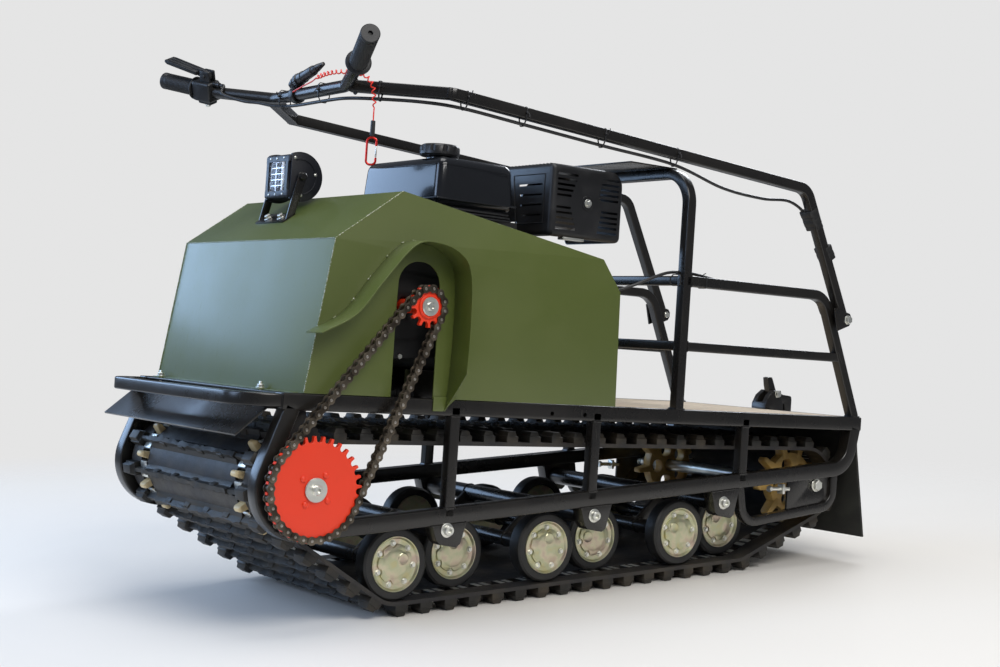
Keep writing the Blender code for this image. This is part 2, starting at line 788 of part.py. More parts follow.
latch_outline = at_rear([(0.003, 0.069), (-0.010, 0.070), (-0.023, 0.043), (-0.048, 0.033), (-0.071, 0.031),
                         (-0.075, 0.022), (-0.075, -0.0195), (-0.055, -0.0195), (-0.052, 0.013),
                         (-0.037, 0.0145), (-0.021, 0.0225), (-0.009, 0.024), (-0.006, 0.034)])
latch = plate("latch", [latch_outline], -LATCH_THICKNESS / 2, LATCH_THICKNESS / 2)
latch = carve(latch, across("pin_hole", HITCH_PIVOT_U, HITCH_PIVOT_W, -0.03, 0.03, 0.0046, 12))
node("hitch_lever", latch, BLACK_PAINT, chassis, from_chassis(HITCH_PIVOT_U, 0, HITCH_PIVOT_W))


# Engine cover and chain hood

cover_outline = [(0, GAP), (-COVER_FRONT_RUN, COVER_FRONT_TOP), (COVER_PEAK_U, COVER_PEAK_W),
                 (COVER_TAIL_U, COVER_TAIL_W), (COVER_TAIL_U - 0.012, COVER_TAIL_W - 0.008),
                 (COVER_KNEE_U, COVER_KNEE_W), (COVER_REAR_U, GAP)]
front_normal = Vector((COVER_FRONT_TOP, COVER_FRONT_RUN)).normalized()
slope = Vector((COVER_PEAK_U + COVER_FRONT_RUN, COVER_PEAK_W - COVER_FRONT_TOP)).normalized()
slope_normal = Vector((slope.y, -slope.x))


def meeting(point_a, along_a, point_b, along_b):
    """Where two lines in the side plane cross."""
    cross = along_a.x * along_b.y - along_a.y * along_b.x
    gap = point_b - point_a
    return point_a + along_a * ((gap.x * along_b.y - gap.y * along_b.x) / cross)


front_line = Vector((-COVER_FRONT_RUN, COVER_FRONT_TOP)).normalized()
front_inner = Vector((0, 0)) - front_normal * SHEET
slope_inner = Vector((-COVER_FRONT_RUN, COVER_FRONT_TOP)) - slope_normal * SHEET
corner = meeting(front_inner, front_line, slope_inner, slope)
foot = front_inner - front_line * 0.02
crest = corner + slope * 0.2
hollow = [tuple(foot), tuple(corner), tuple(crest), (-0.8, crest.y), (-0.8, foot.y)]
cover = carve(plate("cover", [cover_outline], -HALF, HALF),
              plate("hollow", [hollow], -HALF + SHEET, HALF - SHEET))
arch = [(SLOT_FRONT_U, SLOT_SHOULDER_W), (-0.168, 0.203), (-0.182, 0.220), (-0.202, SLOT_TOP_W),
        (-0.224, 0.219), (-0.239, 0.200), (SLOT_REAR_U, 0.172)]
slot = [(SLOT_FRONT_U, -0.02), *arch, (SLOT_REAR_U, -0.02)]
cover = carve(cover, plate("slot", [slot], HALF - 0.01, HALF + 0.01))
node("engine_cover", cover, OLIVE_PAINT, chassis)

hood_path = [Vector(p) for p in ((0.004, 0.098), (-0.058, 0.132), (-0.108, 0.193), (-0.159, 0.250),
                                 (-0.199, 0.260), (-0.247, 0.248), (-0.273, 0.218), (-0.280, 0.147),
                                 (-0.277, 0.040), (-0.265, 0.000), (-0.247, -0.020), (-0.213, -0.021))]


def thickened(path, thickness):
    """An outline of even thickness along an open path."""
    left, right = [], []
    for k, point in enumerate(path):
        into = (point - path[k - 1]).normalized() if k else (path[1] - path[0]).normalized()
        out = (path[k + 1] - point).normalized() if k + 1 < len(path) else into
        along = (into + out).normalized()
        across_path = Vector((-along.y, along.x)) * (thickness / 2 / max(0.3, along.dot(into)))
        left.append(tuple(point + across_path))
        right.append(tuple(point - across_path))
    return left + right[::-1]


node("chain_hood", plate("hood", [thickened(hood_path, HOOD_SHEET)], HALF + GAP, HALF + HOOD_REACH),
     OLIVE_PAINT, chassis)


# Lamp

LAMP_Y = -0.0475
ear_y = LAMP_WIDTH / 2 + 0.004
foot_point = Vector((-0.100, 0.0))
foot_point.y = COVER_FRONT_TOP + (foot_point.x + COVER_FRONT_RUN) * slope.y / slope.x


def on_slope(along, out):
    """A point over the cover's slope: along it upwards, and out from its face."""
    point = foot_point + slope * along + slope_normal * out
    return point.x, point.y


base = plate("base", [[on_slope(-0.022, GAP), on_slope(-0.022, 0.003), on_slope(0.022, 0.003),
                       on_slope(0.022, GAP)]], LAMP_Y - ear_y - 0.006, LAMP_Y + ear_y + 0.006)
tools = []
for sign in (1, -1):
    y = LAMP_Y + sign * ear_y
    disc = [(LAMP_PIVOT_U + 0.013 * cos(radians(a)), LAMP_PIVOT_W + 0.013 * sin(radians(a)))
            for a in range(0, 181, 45)]
    ear = plate("ear", [disc + [on_slope(0.016, 0.001), on_slope(-0.016, 0.001)]], y, y + sign * LAMP_EAR)
    tools.append(ear)
    tools.append(across("lamp_bolt", LAMP_PIVOT_U, LAMP_PIVOT_W,
                        y - sign * 0.012, y + sign * 0.004, 0.004, 6))
    tools.append(across("lamp_knob", LAMP_PIVOT_U, LAMP_PIVOT_W,
                        y + sign * 0.002, y + sign * 0.009, 0.008, 6))
node("lamp_bracket", weld(base, *tools), BLACK_PAINT, chassis)

lamp_front = LAMP_PIVOT_U + 0.022
shell = [(lamp_front, LAMP_PIVOT_W - LAMP_HEIGHT / 2 + 0.004),
         (lamp_front, LAMP_PIVOT_W + LAMP_HEIGHT / 2 - 0.004),
         (lamp_front - 0.004, LAMP_PIVOT_W + LAMP_HEIGHT / 2),
         (lamp_front - 0.026, LAMP_PIVOT_W + LAMP_HEIGHT / 2 - 0.004),
         (lamp_front - LAMP_DEPTH, LAMP_PIVOT_W + 0.016), (lamp_front - LAMP_DEPTH, LAMP_PIVOT_W - 0.016),
         (lamp_front - 0.026, LAMP_PIVOT_W - LAMP_HEIGHT / 2 + 0.004),
         (lamp_front - 0.004, LAMP_PIVOT_W - LAMP_HEIGHT / 2)]
lamp_half = LAMP_WIDTH / 2
housing = plate("housing", [shell], LAMP_Y - lamp_half, LAMP_Y + lamp_half)
tools = [across("end_plate", LAMP_PIVOT_U, LAMP_PIVOT_W, LAMP_Y + sign * (lamp_half - 0.004),
                LAMP_Y + sign * (lamp_half + 0.003), 0.020, 16) for sign in (1, -1)]
housing = weld(housing, *tools)
rim = 0.005
recess = box("recess", (lamp_front - 0.006, LAMP_Y - lamp_half + rim,
                        LAMP_PIVOT_W - LAMP_HEIGHT / 2 + rim + 0.003),
             (lamp_front + 0.01, LAMP_Y + lamp_half - rim, LAMP_PIVOT_W + LAMP_HEIGHT / 2 - rim - 0.003))
bores = group("bores", [across("bore", LAMP_PIVOT_U, LAMP_PIVOT_W, LAMP_Y + sign * (lamp_half - 0.012),
                               LAMP_Y + sign * (lamp_half + 0.01), 0.0050, 8) for sign in (1, -1)])
lamp_axis = from_chassis(LAMP_PIVOT_U, LAMP_Y, LAMP_PIVOT_W)
node("lamp_housing", carve(housing, recess, bores), BLACK_PLASTIC, chassis, lamp_axis)
lens = box("lens", (lamp_front - 0.006 + GAP, LAMP_Y - lamp_half + rim + GAP,
                    LAMP_PIVOT_W - LAMP_HEIGHT / 2 + rim + 0.003 + GAP),
           (lamp_front - 0.001, LAMP_Y + lamp_half - rim - GAP,
            LAMP_PIVOT_W + LAMP_HEIGHT / 2 - rim - 0.003 - GAP))
node("lamp_lens", lens, LENS, chassis, lamp_axis)


# Engine

def bevelled(obj, width, segments=2):
    modifier = obj.modifiers.new("bevel", "BEVEL")
    modifier.width = width
    modifier.segments = segments
    modifier.limit_method = "ANGLE"
    modifier.angle_limit = radians(40)
    return baked(obj)


crank_u = small_u - CRANK_SPACING
crank_w = small_w
case = bevelled(box("crankcase", (CRANKCASE_REAR, CRANKCASE_RIGHT + 0.010, STAND_TOP + GAP),
                    (CRANKCASE_FRONT, CRANKCASE_LEFT - 0.012, CRANKCASE_TOP)), 0.012, 1)
tools = [box("barrel", (-0.530, -0.045, CRANKCASE_TOP - 0.03), (-0.400, 0.085, HEAD_TOP - 0.030))]
for k in range(4):
    w = CRANKCASE_TOP + 0.008 + 0.014 * k
    tools.append(box("fin", (-0.545, -0.060, w), (-0.385, 0.100, w + 0.005)))
tools.append(box("head", (-0.540, -0.055, HEAD_TOP - 0.032), (-0.392, 0.095, HEAD_TOP - 0.004)))


def circle_points(u, w, radius, start, stop, count):
    return [(u + radius * cos(radians(start + (stop - start) * k / count)),
             w + radius * sin(radians(start + (stop - start) * k / count))) for k in range(count + 1)]


guard_outline = (circle_points(small_u, small_w, DRIVEN_PULLEY_RADIUS - 0.005, -82, 82, 6)
                 + circle_points(crank_u, crank_w, DRIVE_PULLEY_RADIUS, 97, 263, 6))
belt_face = CRANKCASE_LEFT + 0.078
tools.append(plate("belt_case", [guard_outline], CRANKCASE_LEFT + 0.008, belt_face))
tools.append(across("belt_case_neck", crank_u, crank_w, CRANKCASE_LEFT - 0.02, CRANKCASE_LEFT + 0.015,
                    0.050, 12))
tools.append(across("recoil_seat", crank_u, crank_w, CRANKCASE_RIGHT, CRANKCASE_RIGHT + 0.02, 0.060, 12))
engine = weld(case, *tools)
engine = carve(engine, across("shaft_bore", small_u, small_w, belt_face - 0.032, belt_face + 0.02,
                              JACKSHAFT_DIAMETER / 2 + 0.0012, 12))
node("engine_block", engine, CAST_ALLOY, chassis)

tank = bevelled(box("tank", (TANK_REAR, CRANKCASE_RIGHT, TANK_BOTTOM),
                    (TANK_FRONT, CRANKCASE_LEFT, TANK_TOP)),
                0.020, 2)
tank = weld(tank, rod("neck", (CAP_U, CAP_Y, TANK_TOP - 0.005),
                      (CAP_U, CAP_Y, TANK_TOP + 0.010), 0.024, 12),
            box("tank_feet", (TANK_REAR + 0.02, -0.02, HEAD_TOP - 0.004 + GAP),
                (TANK_FRONT - 0.09, 0.06, TANK_BOTTOM + 0.004)))
node("fuel_tank", tank, BLACK_PLASTIC, chassis)
cap = rod("cap", (CAP_U, CAP_Y, TANK_TOP + 0.004), (CAP_U, CAP_Y, TANK_TOP + 0.004 + CAP_HEIGHT),
          CAP_DIAMETER / 2, 18)
cap = carve(cap, rod("cap_bore", (CAP_U, CAP_Y, TANK_TOP - 0.01),
                     (CAP_U, CAP_Y, TANK_TOP + 0.0108), 0.026, 12))
node("fuel_cap", cap, BLACK_PLASTIC, chassis, from_chassis(CAP_U, CAP_Y, TANK_TOP))

muffler_mid = Vector(((GUARD_FRONT + GUARD_REAR) / 2, (GUARD_LEFT + GUARD_RIGHT) / 2,
                      (GUARD_BOTTOM + GUARD_TOP) / 2))
half_length = (GUARD_FRONT - GUARD_REAR) / 2 - 0.018
muffler = rod("muffler", muffler_mid - Vector((half_length, 0, 0)),
              muffler_mid + Vector((half_length, 0, 0)),
              MUFFLER_DIAMETER / 2, 16)
pipe_path = [(-0.5445, 0.040, 0.316), (-0.590, 0.050, 0.316), (-0.605, 0.070, 0.350)]
muffler = weld(muffler, round_tube("pipe", pipe_path, 0.013, 1),
               box("flange", (-0.546, 0.018, 0.306), (-0.5403, 0.062, 0.330)))
node("muffler", muffler, BLACK_PAINT, chassis)

shell = box("guard", (GUARD_REAR, GUARD_RIGHT, GUARD_BOTTOM), (GUARD_FRONT, GUARD_LEFT, GUARD_TOP))
shell = bevelled(shell, 0.010, 1)
inside = box("inside", (GUARD_REAR + SHEET, GUARD_RIGHT - 0.02, GUARD_BOTTOM - 0.02),
             (GUARD_FRONT - SHEET, GUARD_LEFT - SHEET, GUARD_TOP - SHEET))
inside = bevelled(inside, 0.009, 1)
guard = carve(shell, inside)
slits = []
louvre_rows = 4
for column in (-0.056, 0.056):
    for k in range(louvre_rows):
        w = muffler_mid.z - 0.033 + 0.022 * k
        u = muffler_mid.x + column
        slits.append(box("slit", (u - 0.020, GUARD_LEFT - 0.01, w - 0.003),
                         (u + 0.020, GUARD_LEFT + 0.01, w + 0.003)))
for k in range(louvre_rows):
    w = muffler_mid.z - 0.033 + 0.022 * k
    slits.append(box("slit", (GUARD_FRONT - 0.01, muffler_mid.y - 0.045, w - 0.003),
                     (GUARD_FRONT + 0.01, muffler_mid.y + 0.045, w + 0.003)))
slits.append(box("pipe_notch", (GUARD_FRONT - 0.01, 0.020, GUARD_BOTTOM - 0.01),
                 (GUARD_FRONT + 0.01, 0.068, 0.336)))
guard = carve(guard, group("slits", slits))
stay = muffler_mid.y + MUFFLER_DIAMETER / 2 + 0.0008
guard = weld(guard, across("stay", muffler_mid.x, muffler_mid.z, stay, GUARD_LEFT + 0.001, 0.008, 8),
             across("stay_bolt", muffler_mid.x, muffler_mid.z, GUARD_LEFT - 0.001, GUARD_LEFT + 0.007,
                    0.009, 6))
node("muffler_guard", guard, BLACK_PAINT, chassis)

filter_body = bevelled(box("filter", (-0.615, -0.140, HEAD_TOP + 0.010),
                           (-0.505, -0.025, HEAD_TOP + 0.086)), 0.012, 1)
filter_body = weld(filter_body, rod("intake", (-0.524, -0.041, HEAD_TOP - 0.004 + GAP),
                                    (-0.524, -0.041, HEAD_TOP + 0.015),
                                    0.012, 8))
node("air_cleaner", filter_body, BLACK_PLASTIC, chassis)

recoil_y = CRANKCASE_RIGHT - GAP
recoil = turned("recoil", [(recoil_y - RECOIL_DEPTH, 0), (recoil_y - RECOIL_DEPTH, 0.035),
                           (recoil_y - RECOIL_DEPTH + 0.012, RECOIL_DIAMETER / 2 - 0.012),
                           (recoil_y - 0.030, RECOIL_DIAMETER / 2), (recoil_y, RECOIL_DIAMETER / 2),
                           (recoil_y, 0)][::-1],
                18, Matrix.Translation((crank_u, 0, crank_w)))
rope_u = crank_u + 0.062
rope_y = recoil_y - 0.030
recoil = weld(recoil, box("rope_block", (rope_u - 0.014, rope_y - 0.014, crank_w + 0.045),
                          (rope_u + 0.014, rope_y + 0.014, crank_w + 0.110)))
rope_top = crank_w + 0.110
recoil = carve(recoil, rod("rope_hole", (rope_u, rope_y, rope_top - 0.055),
                           (rope_u, rope_y, rope_top + 0.02), 0.0042, 10))
node("recoil_starter", recoil, BLACK_PLASTIC, chassis)
handle = weld(rod("rope", (rope_u, rope_y, rope_top - 0.050),
                  (rope_u, rope_y, rope_top + 0.012), 0.0030, 8),
              bevelled(box("pull", (rope_u - 0.009, rope_y - 0.038, rope_top + 0.0008),
                           (rope_u + 0.009, rope_y + 0.038, rope_top + 0.022)), 0.005, 1))
node("starter_handle", handle, BLACK_PLASTIC, chassis, from_chassis(rope_u, rope_y, rope_top))


# Cargo rack

rack_y = HALF - RAIL / 2
tube = RACK_TUBE
hoop_path = bent([(rack_y, GAP), (rack_y, HOOP_TOP), (-rack_y, HOOP_TOP), (-rack_y, GAP)], HOOP_RADIUS,
                 radians(22.5))
rack = square_tube("hoop", [tuple(p) for p in hoop_path], tube, cross_plane(HOOP_U))
tools = [box("crossbar", (HOOP_U - tube / 2 + 0.001, -rack_y, w - tube / 2 + 0.001),
             (HOOP_U + tube / 2 - 0.001, rack_y, w + tube / 2 - 0.001)) for w in (RACK_UPPER, RACK_LOWER)]
post_head = (REAR_POST_FOOT + tan(REAR_POST_LEAN) * RACK_UPPER, RACK_UPPER)
lug_u = REAR_POST_FOOT + tan(REAR_POST_LEAN) * TILLER_PIVOT_W
tiller_y = rack_y + 0.011
for side in (1, -1):
    y = side * rack_y
    post = bent([(REAR_POST_FOOT - tan(REAR_POST_LEAN) * 0.02, -0.02), post_head, (HOOP_U, RACK_UPPER)],
                REAR_POST_RADIUS, radians(22))
    side_rail = square_tube("side_rail", [tuple(p) for p in post], tube, side_plane(y))
    side_rail = carve(side_rail, box("below", (REAR_POST_FOOT - 0.1, y - 0.05, -0.1),
                                     (REAR_POST_FOOT + 0.1, y + 0.05, GAP)))
    tools.append(side_rail)
    low_end = REAR_POST_FOOT + tan(REAR_POST_LEAN) * RACK_LOWER
    tools.append(box("low_rail", (low_end, y - tube / 2 + 0.001, RACK_LOWER - tube / 2),
                     (HOOP_U, y + tube / 2 - 0.001, RACK_LOWER + tube / 2)))
    lug = [(lug_u + 0.010, TILLER_PIVOT_W + 0.022), (lug_u - 0.002, TILLER_PIVOT_W - 0.024),
           (TILLER_PIVOT_U - 0.012, TILLER_PIVOT_W - 0.010),
           (TILLER_PIVOT_U - 0.009, TILLER_PIVOT_W + 0.012)]
    low, high = sorted((side * (tiller_y - 0.0155), side * (tiller_y + 0.0155)))
    block = plate("lug", [lug], low, high)
    room = [(lug_u - 0.013 + 0.06 * tan(REAR_POST_LEAN), TILLER_PIVOT_W + 0.06),
            (lug_u - 0.013 - 0.06 * tan(REAR_POST_LEAN), TILLER_PIVOT_W - 0.06),
            (TILLER_PIVOT_U - 0.079, TILLER_PIVOT_W - 0.06),
            (TILLER_PIVOT_U - 0.079, TILLER_PIVOT_W + 0.06)]
    arm_low, arm_high = sorted((side * (tiller_y - 0.0112), side * (tiller_y + 0.0112)))
    block = carve(block, plate("room", [room], arm_low, arm_high))
    bolt = across("tiller_bolt", TILLER_PIVOT_U, TILLER_PIVOT_W, side * (tiller_y - 0.0150),
                  side * (tiller_y + 0.016), TILLER_BOLT / 2, 8)
    head = across("bolt_head", TILLER_PIVOT_U, TILLER_PIVOT_W, side * (tiller_y + 0.0150),
                  side * (tiller_y + 0.021), 0.008, 6)
    tools.append(weld(block, bolt, head))
shelf_half = HALF - 0.063
shelf = box("shelf", (HOOP_U - 0.008, -shelf_half, HOOP_TOP + tube / 2 - 0.001),
            (HOOP_U + 0.110, shelf_half, HOOP_TOP + tube / 2 + 0.002))
tools.append(shelf)
node("cargo_rack", weld(rack, *tools), BLACK_PAINT, chassis)


# Tiller

def mitred(name, points, side):
    """A square tube along any path: the section slides on to each corner's mitre plane."""
    points = [Vector(p) for p in points]
    ways = [(b - a).normalized() for a, b in zip(points, points[1:])]
    first = Vector((0, 1, 0))
    second = ways[0].cross(first).normalized()
    half = side / 2
    corners = ((-half, -half), (half, -half), (half, half), (-half, half))
    ring = [points[0] + first * a + second * b for a, b in corners]
    shape = bmesh.new()
    rings = [[shape.verts.new(p) for p in ring]]
    for k, way in enumerate(ways):
        facing = way + ways[k + 1] if k + 1 < len(ways) else way
        ring = [p + way * ((points[k + 1] - p).dot(facing) / way.dot(facing)) for p in ring]
        rings.append([shape.verts.new(p) for p in ring])
    shape.faces.new(rings[0])
    shape.faces.new(reversed(rings[-1]))
    for one, two in zip(rings, rings[1:]):
        for k in range(4):
            shape.faces.new((one[k], two[k], two[(k + 1) % 4], one[(k + 1) % 4]))
    bmesh.ops.recalc_face_normals(shape, faces=shape.faces)
    return from_bmesh(name, shape)


arm_tail = Vector((TILLER_PIVOT_U, TILLER_PIVOT_W))
elbow = Vector((ELBOW_U, ELBOW_W))
arm_tail = arm_tail - (elbow - arm_tail).normalized() * 0.009
side_part = [(p.x, p.y) for p in bent([tuple(arm_tail), tuple(elbow), (KINK_U, KINK_W)], 0.036,
                                      radians(20))]


def arm_path(side):
    path = [(u, side * tiller_y, w) for u, w in side_part[:-1]]
    before, kink, bar = (Vector((side_part[-2][0], side * tiller_y, side_part[-2][1])),
                         Vector((KINK_U, side * tiller_y, KINK_W)),
                         Vector((BAR_U - 0.002, side * BAR_HALF, BAR_W - 0.001)))
    into, out = (kink - before).normalized(), (bar - kink).normalized()
    cut = 0.012
    path.append(tuple(kink - into * cut))
    path.append(tuple(kink + out * cut))
    path.append(tuple(bar))
    return path


def bar_point(side, distance):
    """A point on the swept end of the bar, at a distance outwards in y from its bend."""
    bend = Vector((BAR_U, side * BAR_BEND_Y, BAR_W))
    return bend + Vector((GRIP_SWEEP, side, 0.118)) * distance


swept = GRIP_START_Y - 0.006 - BAR_BEND_Y
grip_root = bar_point(1, swept)
grip_way = Vector((GRIP_SWEEP, 1.0, GRIP_RISE))
bar_tip = grip_root + grip_way * (GRIP_END_Y - 0.007 - grip_root.y)
half_bar = [tuple(bar_point(1, 0)), tuple(grip_root), tuple(bar_tip)]
bar_points = [(u, -y, w) for u, y, w in reversed(half_bar)] + half_bar
tiller = weld(round_tube("bar", bar_points, BAR_DIAMETER / 2, 4),
              mitred("arm_left", arm_path(1), TILLER_TUBE), mitred("arm_right", arm_path(-1), TILLER_TUBE))
tiller = carve(tiller, group("pivot_holes", [
    across("pivot_hole", TILLER_PIVOT_U, TILLER_PIVOT_W, side * (tiller_y - 0.03), side * (tiller_y + 0.03),
           TILLER_BOLT / 2 + 0.0006, 12) for side in (1, -1)]))
fold_axis = from_chassis(TILLER_PIVOT_U, 0, TILLER_PIVOT_W)
node("tiller", tiller, BLACK_PAINT, chassis, fold_axis)
grip_way.normalize()


def beside(side, distance):
    """A point on the grip's axis, at a distance along it from the bar's outer bend."""
    point = grip_root + grip_way * distance
    return Vector((point.x, side * point.y, point.z))


grip_from = (GRIP_START_Y - grip_root.y) / grip_way.y
grip_to = (GRIP_END_Y - grip_root.y) / grip_way.y
THROTTLE_LENGTH = 0.046


def grip(side, start):
    outer = rod("grip", beside(side, start), beside(side, grip_to), GRIP_DIAMETER / 2, 14)
    flange = rod("flange", beside(side, start), beside(side, start + 0.004), GRIP_DIAMETER / 2 + 0.006, 12)
    bore = rod("bore", beside(side, start - 0.01), beside(side, grip_to - 0.006),
               BAR_DIAMETER / 2 + 0.0008, 12)
    return carve(weld(outer, flange), bore)


node("grip_left", grip(1, grip_from), RUBBER, chassis)
node("grip_right", grip(-1, grip_from + THROTTLE_LENGTH), RUBBER, chassis)

# Throttle

grip_axis = Vector((grip_way.x, -grip_way.y, grip_way.z))
over = Vector((0.45, 0, 0.89))
over = (over - grip_axis * over.dot(grip_axis)).normalized()
hinge_way = grip_axis.cross(over).normalized()
lever_pivot = beside(-1, grip_from + 0.016) + over * 0.031
throttle_frame = Matrix.Translation(beside(-1, grip_from)) @ Matrix(
    ((grip_axis.x, over.x, hinge_way.x, 0), (grip_axis.y, over.y, hinge_way.y, 0),
     (grip_axis.z, over.z, hinge_way.z, 0), (0, 0, 0, 1)))


def in_throttle(name, low, high):
    return box(name, low, high, throttle_frame)


body = bevelled(in_throttle("throttle", (0, -0.019, -0.017), (THROTTLE_LENGTH - 0.001, 0.023, 0.017)),
                0.004, 1)
horns = group("horns", [in_throttle("horn", (0.004, 0.018, low), (0.028, 0.041, low + 0.005))
                        for low in (-0.0095, 0.0045)])
lever_pin = rod("lever_pin", lever_pivot - hinge_way * 0.012, lever_pivot + hinge_way * 0.012, 0.003, 6)
ferrule = rod("ferrule", beside(-1, grip_from + 0.002) + over * 0.016,
              beside(-1, grip_from - 0.014) + over * 0.016,
              0.005, 8)
body = weld(body, horns, lever_pin, ferrule)
body = carve(body, rod("bore", beside(-1, grip_from - 0.03), beside(-1, grip_from + 0.08),
                       BAR_DIAMETER / 2 + 0.0008, 12),
             in_throttle("lever_room", (0.003, 0.0195, -0.0045), (0.060, 0.060, 0.0045)))
node("throttle_body", body, BLACK_PLASTIC, chassis)
lever_root = plate("lever_root", [[(0.008, 0.0255), (0.006, 0.031), (0.009, 0.037), (0.024, 0.041),
                                   (0.060, 0.0405), (0.060, 0.0330), (0.026, 0.0245)]], -0.0040, 0.0040)
paddle = plate("paddle", [[(0.034, 0.0305), (0.108, 0.0400), (0.114, 0.0440), (0.113, 0.0480),
                           (0.106, 0.0480), (0.034, 0.0375)]], -0.0130, 0.0130)
lever = weld(lever_root, paddle)
lever.data.transform(throttle_frame @ UPRIGHT.inverted())
lever = carve(lever, rod("pin_hole", lever_pivot - hinge_way * 0.02,
                         lever_pivot + hinge_way * 0.02, 0.0037, 6))
node("throttle_lever", lever, BLACK_PAINT, chassis, CHASSIS @ lever_pivot)

# Kill switch

strap_y = -0.045
switch_start = Vector((BAR_U + 0.001, strap_y - 0.012, BAR_W + 0.0225))
switch_end = Vector((BAR_U + 0.006, 0.033, BAR_W + 0.040))
switch_way = (switch_end - switch_start).normalized()
switch = weld(rod("switch", switch_start, switch_end, 0.0110, 10),
              rod("relief", switch_end - switch_way * 0.002, switch_end + switch_way * 0.026, 0.0070, 8,
                  0.0035),
              across("strap", BAR_U, BAR_W, strap_y - 0.007, strap_y + 0.007, 0.0150, 12),
              rod("key", switch_start + switch_way * 0.003, switch_start - switch_way * 0.012, 0.0075, 8))
switch = carve(switch, across("strap_bore", BAR_U, BAR_W, strap_y - 0.06, strap_y + 0.06,
                              BAR_DIAMETER / 2 + 0.0008, 12))
node("kill_switch", switch, BLACK_PLASTIC, chassis)


# Track

TRACK_PHASE = 0.0101
columns = [-TRACK_WIDTH / 2, -TOOTH_ROW - WINDOW_WIDTH / 2, -TOOTH_ROW + WINDOW_WIDTH / 2,
           TOOTH_ROW - WINDOW_WIDTH / 2, TOOTH_ROW + WINDOW_WIDTH / 2, TRACK_WIDTH / 2]
wheel_centres = [Vector((x, WHEEL_Z)) for x in (first_wheel_x, last_wheel_x)]
reach = WHEEL_DIAMETER / 2 + GAP + 0.0003
stations = []
for k in range(TRACK_LINKS):
    for offset in (-LUG_BASE / 2, LUG_BASE / 2):
        stations.append(TRACK_PATH.at(TRACK_PHASE + k * TRACK_PITCH + offset))
middles = [point for point, _ in stations]
normals = [Vector((sin(heading), -cos(heading))) for _, heading in stations]
flat = [abs(normal.x) < 0.001 and normal.y < 0 for normal in normals]
for _ in range(12):
    for k in range(len(middles)):
        n = (k + 1) % len(middles)
        a = middles[k] - normals[k] * BELT / 2
        b = middles[n] - normals[n] * BELT / 2
        for centre in wheel_centres:
            chord = b - a
            share = max(0.0, min(1.0, (centre - a).dot(chord) / chord.length_squared))
            short = reach - (a + chord * share - centre).length
            if short > 0:
                for j in (k, n):
                    if not flat[j]:
                        middles[j] = middles[j] + normals[j] * short * 0.8

track = bmesh.new()
inside_rows, outside_rows = [], []
for point, normal in zip(middles, normals):
    a, b = point - normal * BELT / 2, point + normal * BELT / 2
    inside_rows.append([track.verts.new((a.x, y, a.y)) for y in columns])
    outside_rows.append([track.verts.new((b.x, y, b.y)) for y in columns])
total = len(middles)
for k in range(total):
    n = (k + 1) % total
    low_a, low_b, high_a, high_b = inside_rows[k], inside_rows[n], outside_rows[k], outside_rows[n]
    window = k % 2 == 1
    for c in range(5):
        if window and c in (1, 3):
            for d in (c, c + 1):
                track.faces.new((low_a[d], low_b[d], high_b[d], high_a[d]))
            track.faces.new((low_a[c], low_a[c + 1], high_a[c + 1], high_a[c]))
            track.faces.new((low_b[c], low_b[c + 1], high_b[c + 1], high_b[c]))
            continue
        track.faces.new((low_a[c], low_a[c + 1], low_b[c + 1], low_b[c]))
        if window:
            track.faces.new((high_a[c], high_a[c + 1], high_b[c + 1], high_b[c]))
    for c in (0, 5):
        track.faces.new((low_a[c], low_b[c], high_b[c], high_a[c]))
    if not window:
        a, b = high_a[0].co, high_b[0].co
        along = (b - a).normalized()
        out = Vector((along.z, 0, -along.x))
        middle = (a + b) / 2 + out * LUG_HEIGHT
        tops = []
        for place in (middle - along * LUG_TOP / 2, middle + along * LUG_TOP / 2):
            edges = (columns[0], columns[-1])
            tops.append([track.verts.new((place.x, y, max(0.0, place.z))) for y in edges])
        track.faces.new((tops[0][0], tops[0][1], tops[1][1], tops[1][0]))
        track.faces.new((*high_a, tops[0][1], tops[0][0]))
        track.faces.new((*high_b, tops[1][1], tops[1][0]))
        track.faces.new((high_a[0], high_b[0], tops[1][0], tops[0][0]))
        track.faces.new((high_a[5], high_b[5], tops[1][1], tops[0][1]))
bmesh.ops.recalc_face_normals(track, faces=track.faces)
node("track", from_bmesh("track", track), RUBBER, None)


# Drive sprockets, idlers and their axles

def toothed(name, x, z, phase, y0, y1, bore):
    """A sprocket with pegs that stand through the track's windows."""
    outline = []
    tip = BELT_RADIUS + BELT / 2 + TOOTH_HEIGHT
    for k in range(DRIVE_TEETH):
        angle = phase + 2 * pi * k / DRIVE_TEETH
        ray, side = Vector((cos(angle), sin(angle))), Vector((-sin(angle), cos(angle)))
        for radius, half in ((0.058, -TOOTH_BASE / 2), (tip, -TOOTH_TIP / 2), (tip, TOOTH_TIP / 2),
                             (0.058, TOOTH_BASE / 2)):
            point = ray * radius + side * half
            outline.append((x + point.x, z + point.y))
    ring = [(x + bore * cos(2 * pi * k / 12), z + bore * sin(2 * pi * k / 12)) for k in range(12)]
    return plate(name, [outline, ring], y0, y1)


windows = [TRACK_PHASE + (k + 0.5) * TRACK_PITCH for k in range(TRACK_LINKS)]
drive_phase = TRACK_PATH.on_arc(0, windows)
idler_phase = TRACK_PATH.on_arc(1, windows)
shaft = AXLE_DIAMETER / 2
for name, side in (("left", 1), ("right", -1)):
    y0, y1 = side * (TOOTH_ROW - TOOTH_WIDTH / 2), side * (TOOTH_ROW + TOOTH_WIDTH / 2)
    node("drive_sprocket_" + name,
         toothed("drive", drive_axle_place.x, drive_axle_place.z, drive_phase, y0, y1,
                                           shaft + 0.0008), POLYURETHANE, None, drive_axle_place)
    node("idler_" + name, toothed("idler", rear_axle_place.x, rear_axle_place.z, idler_phase, y0, y1,
                                  shaft + 0.0008), POLYURETHANE, None, rear_axle_place)

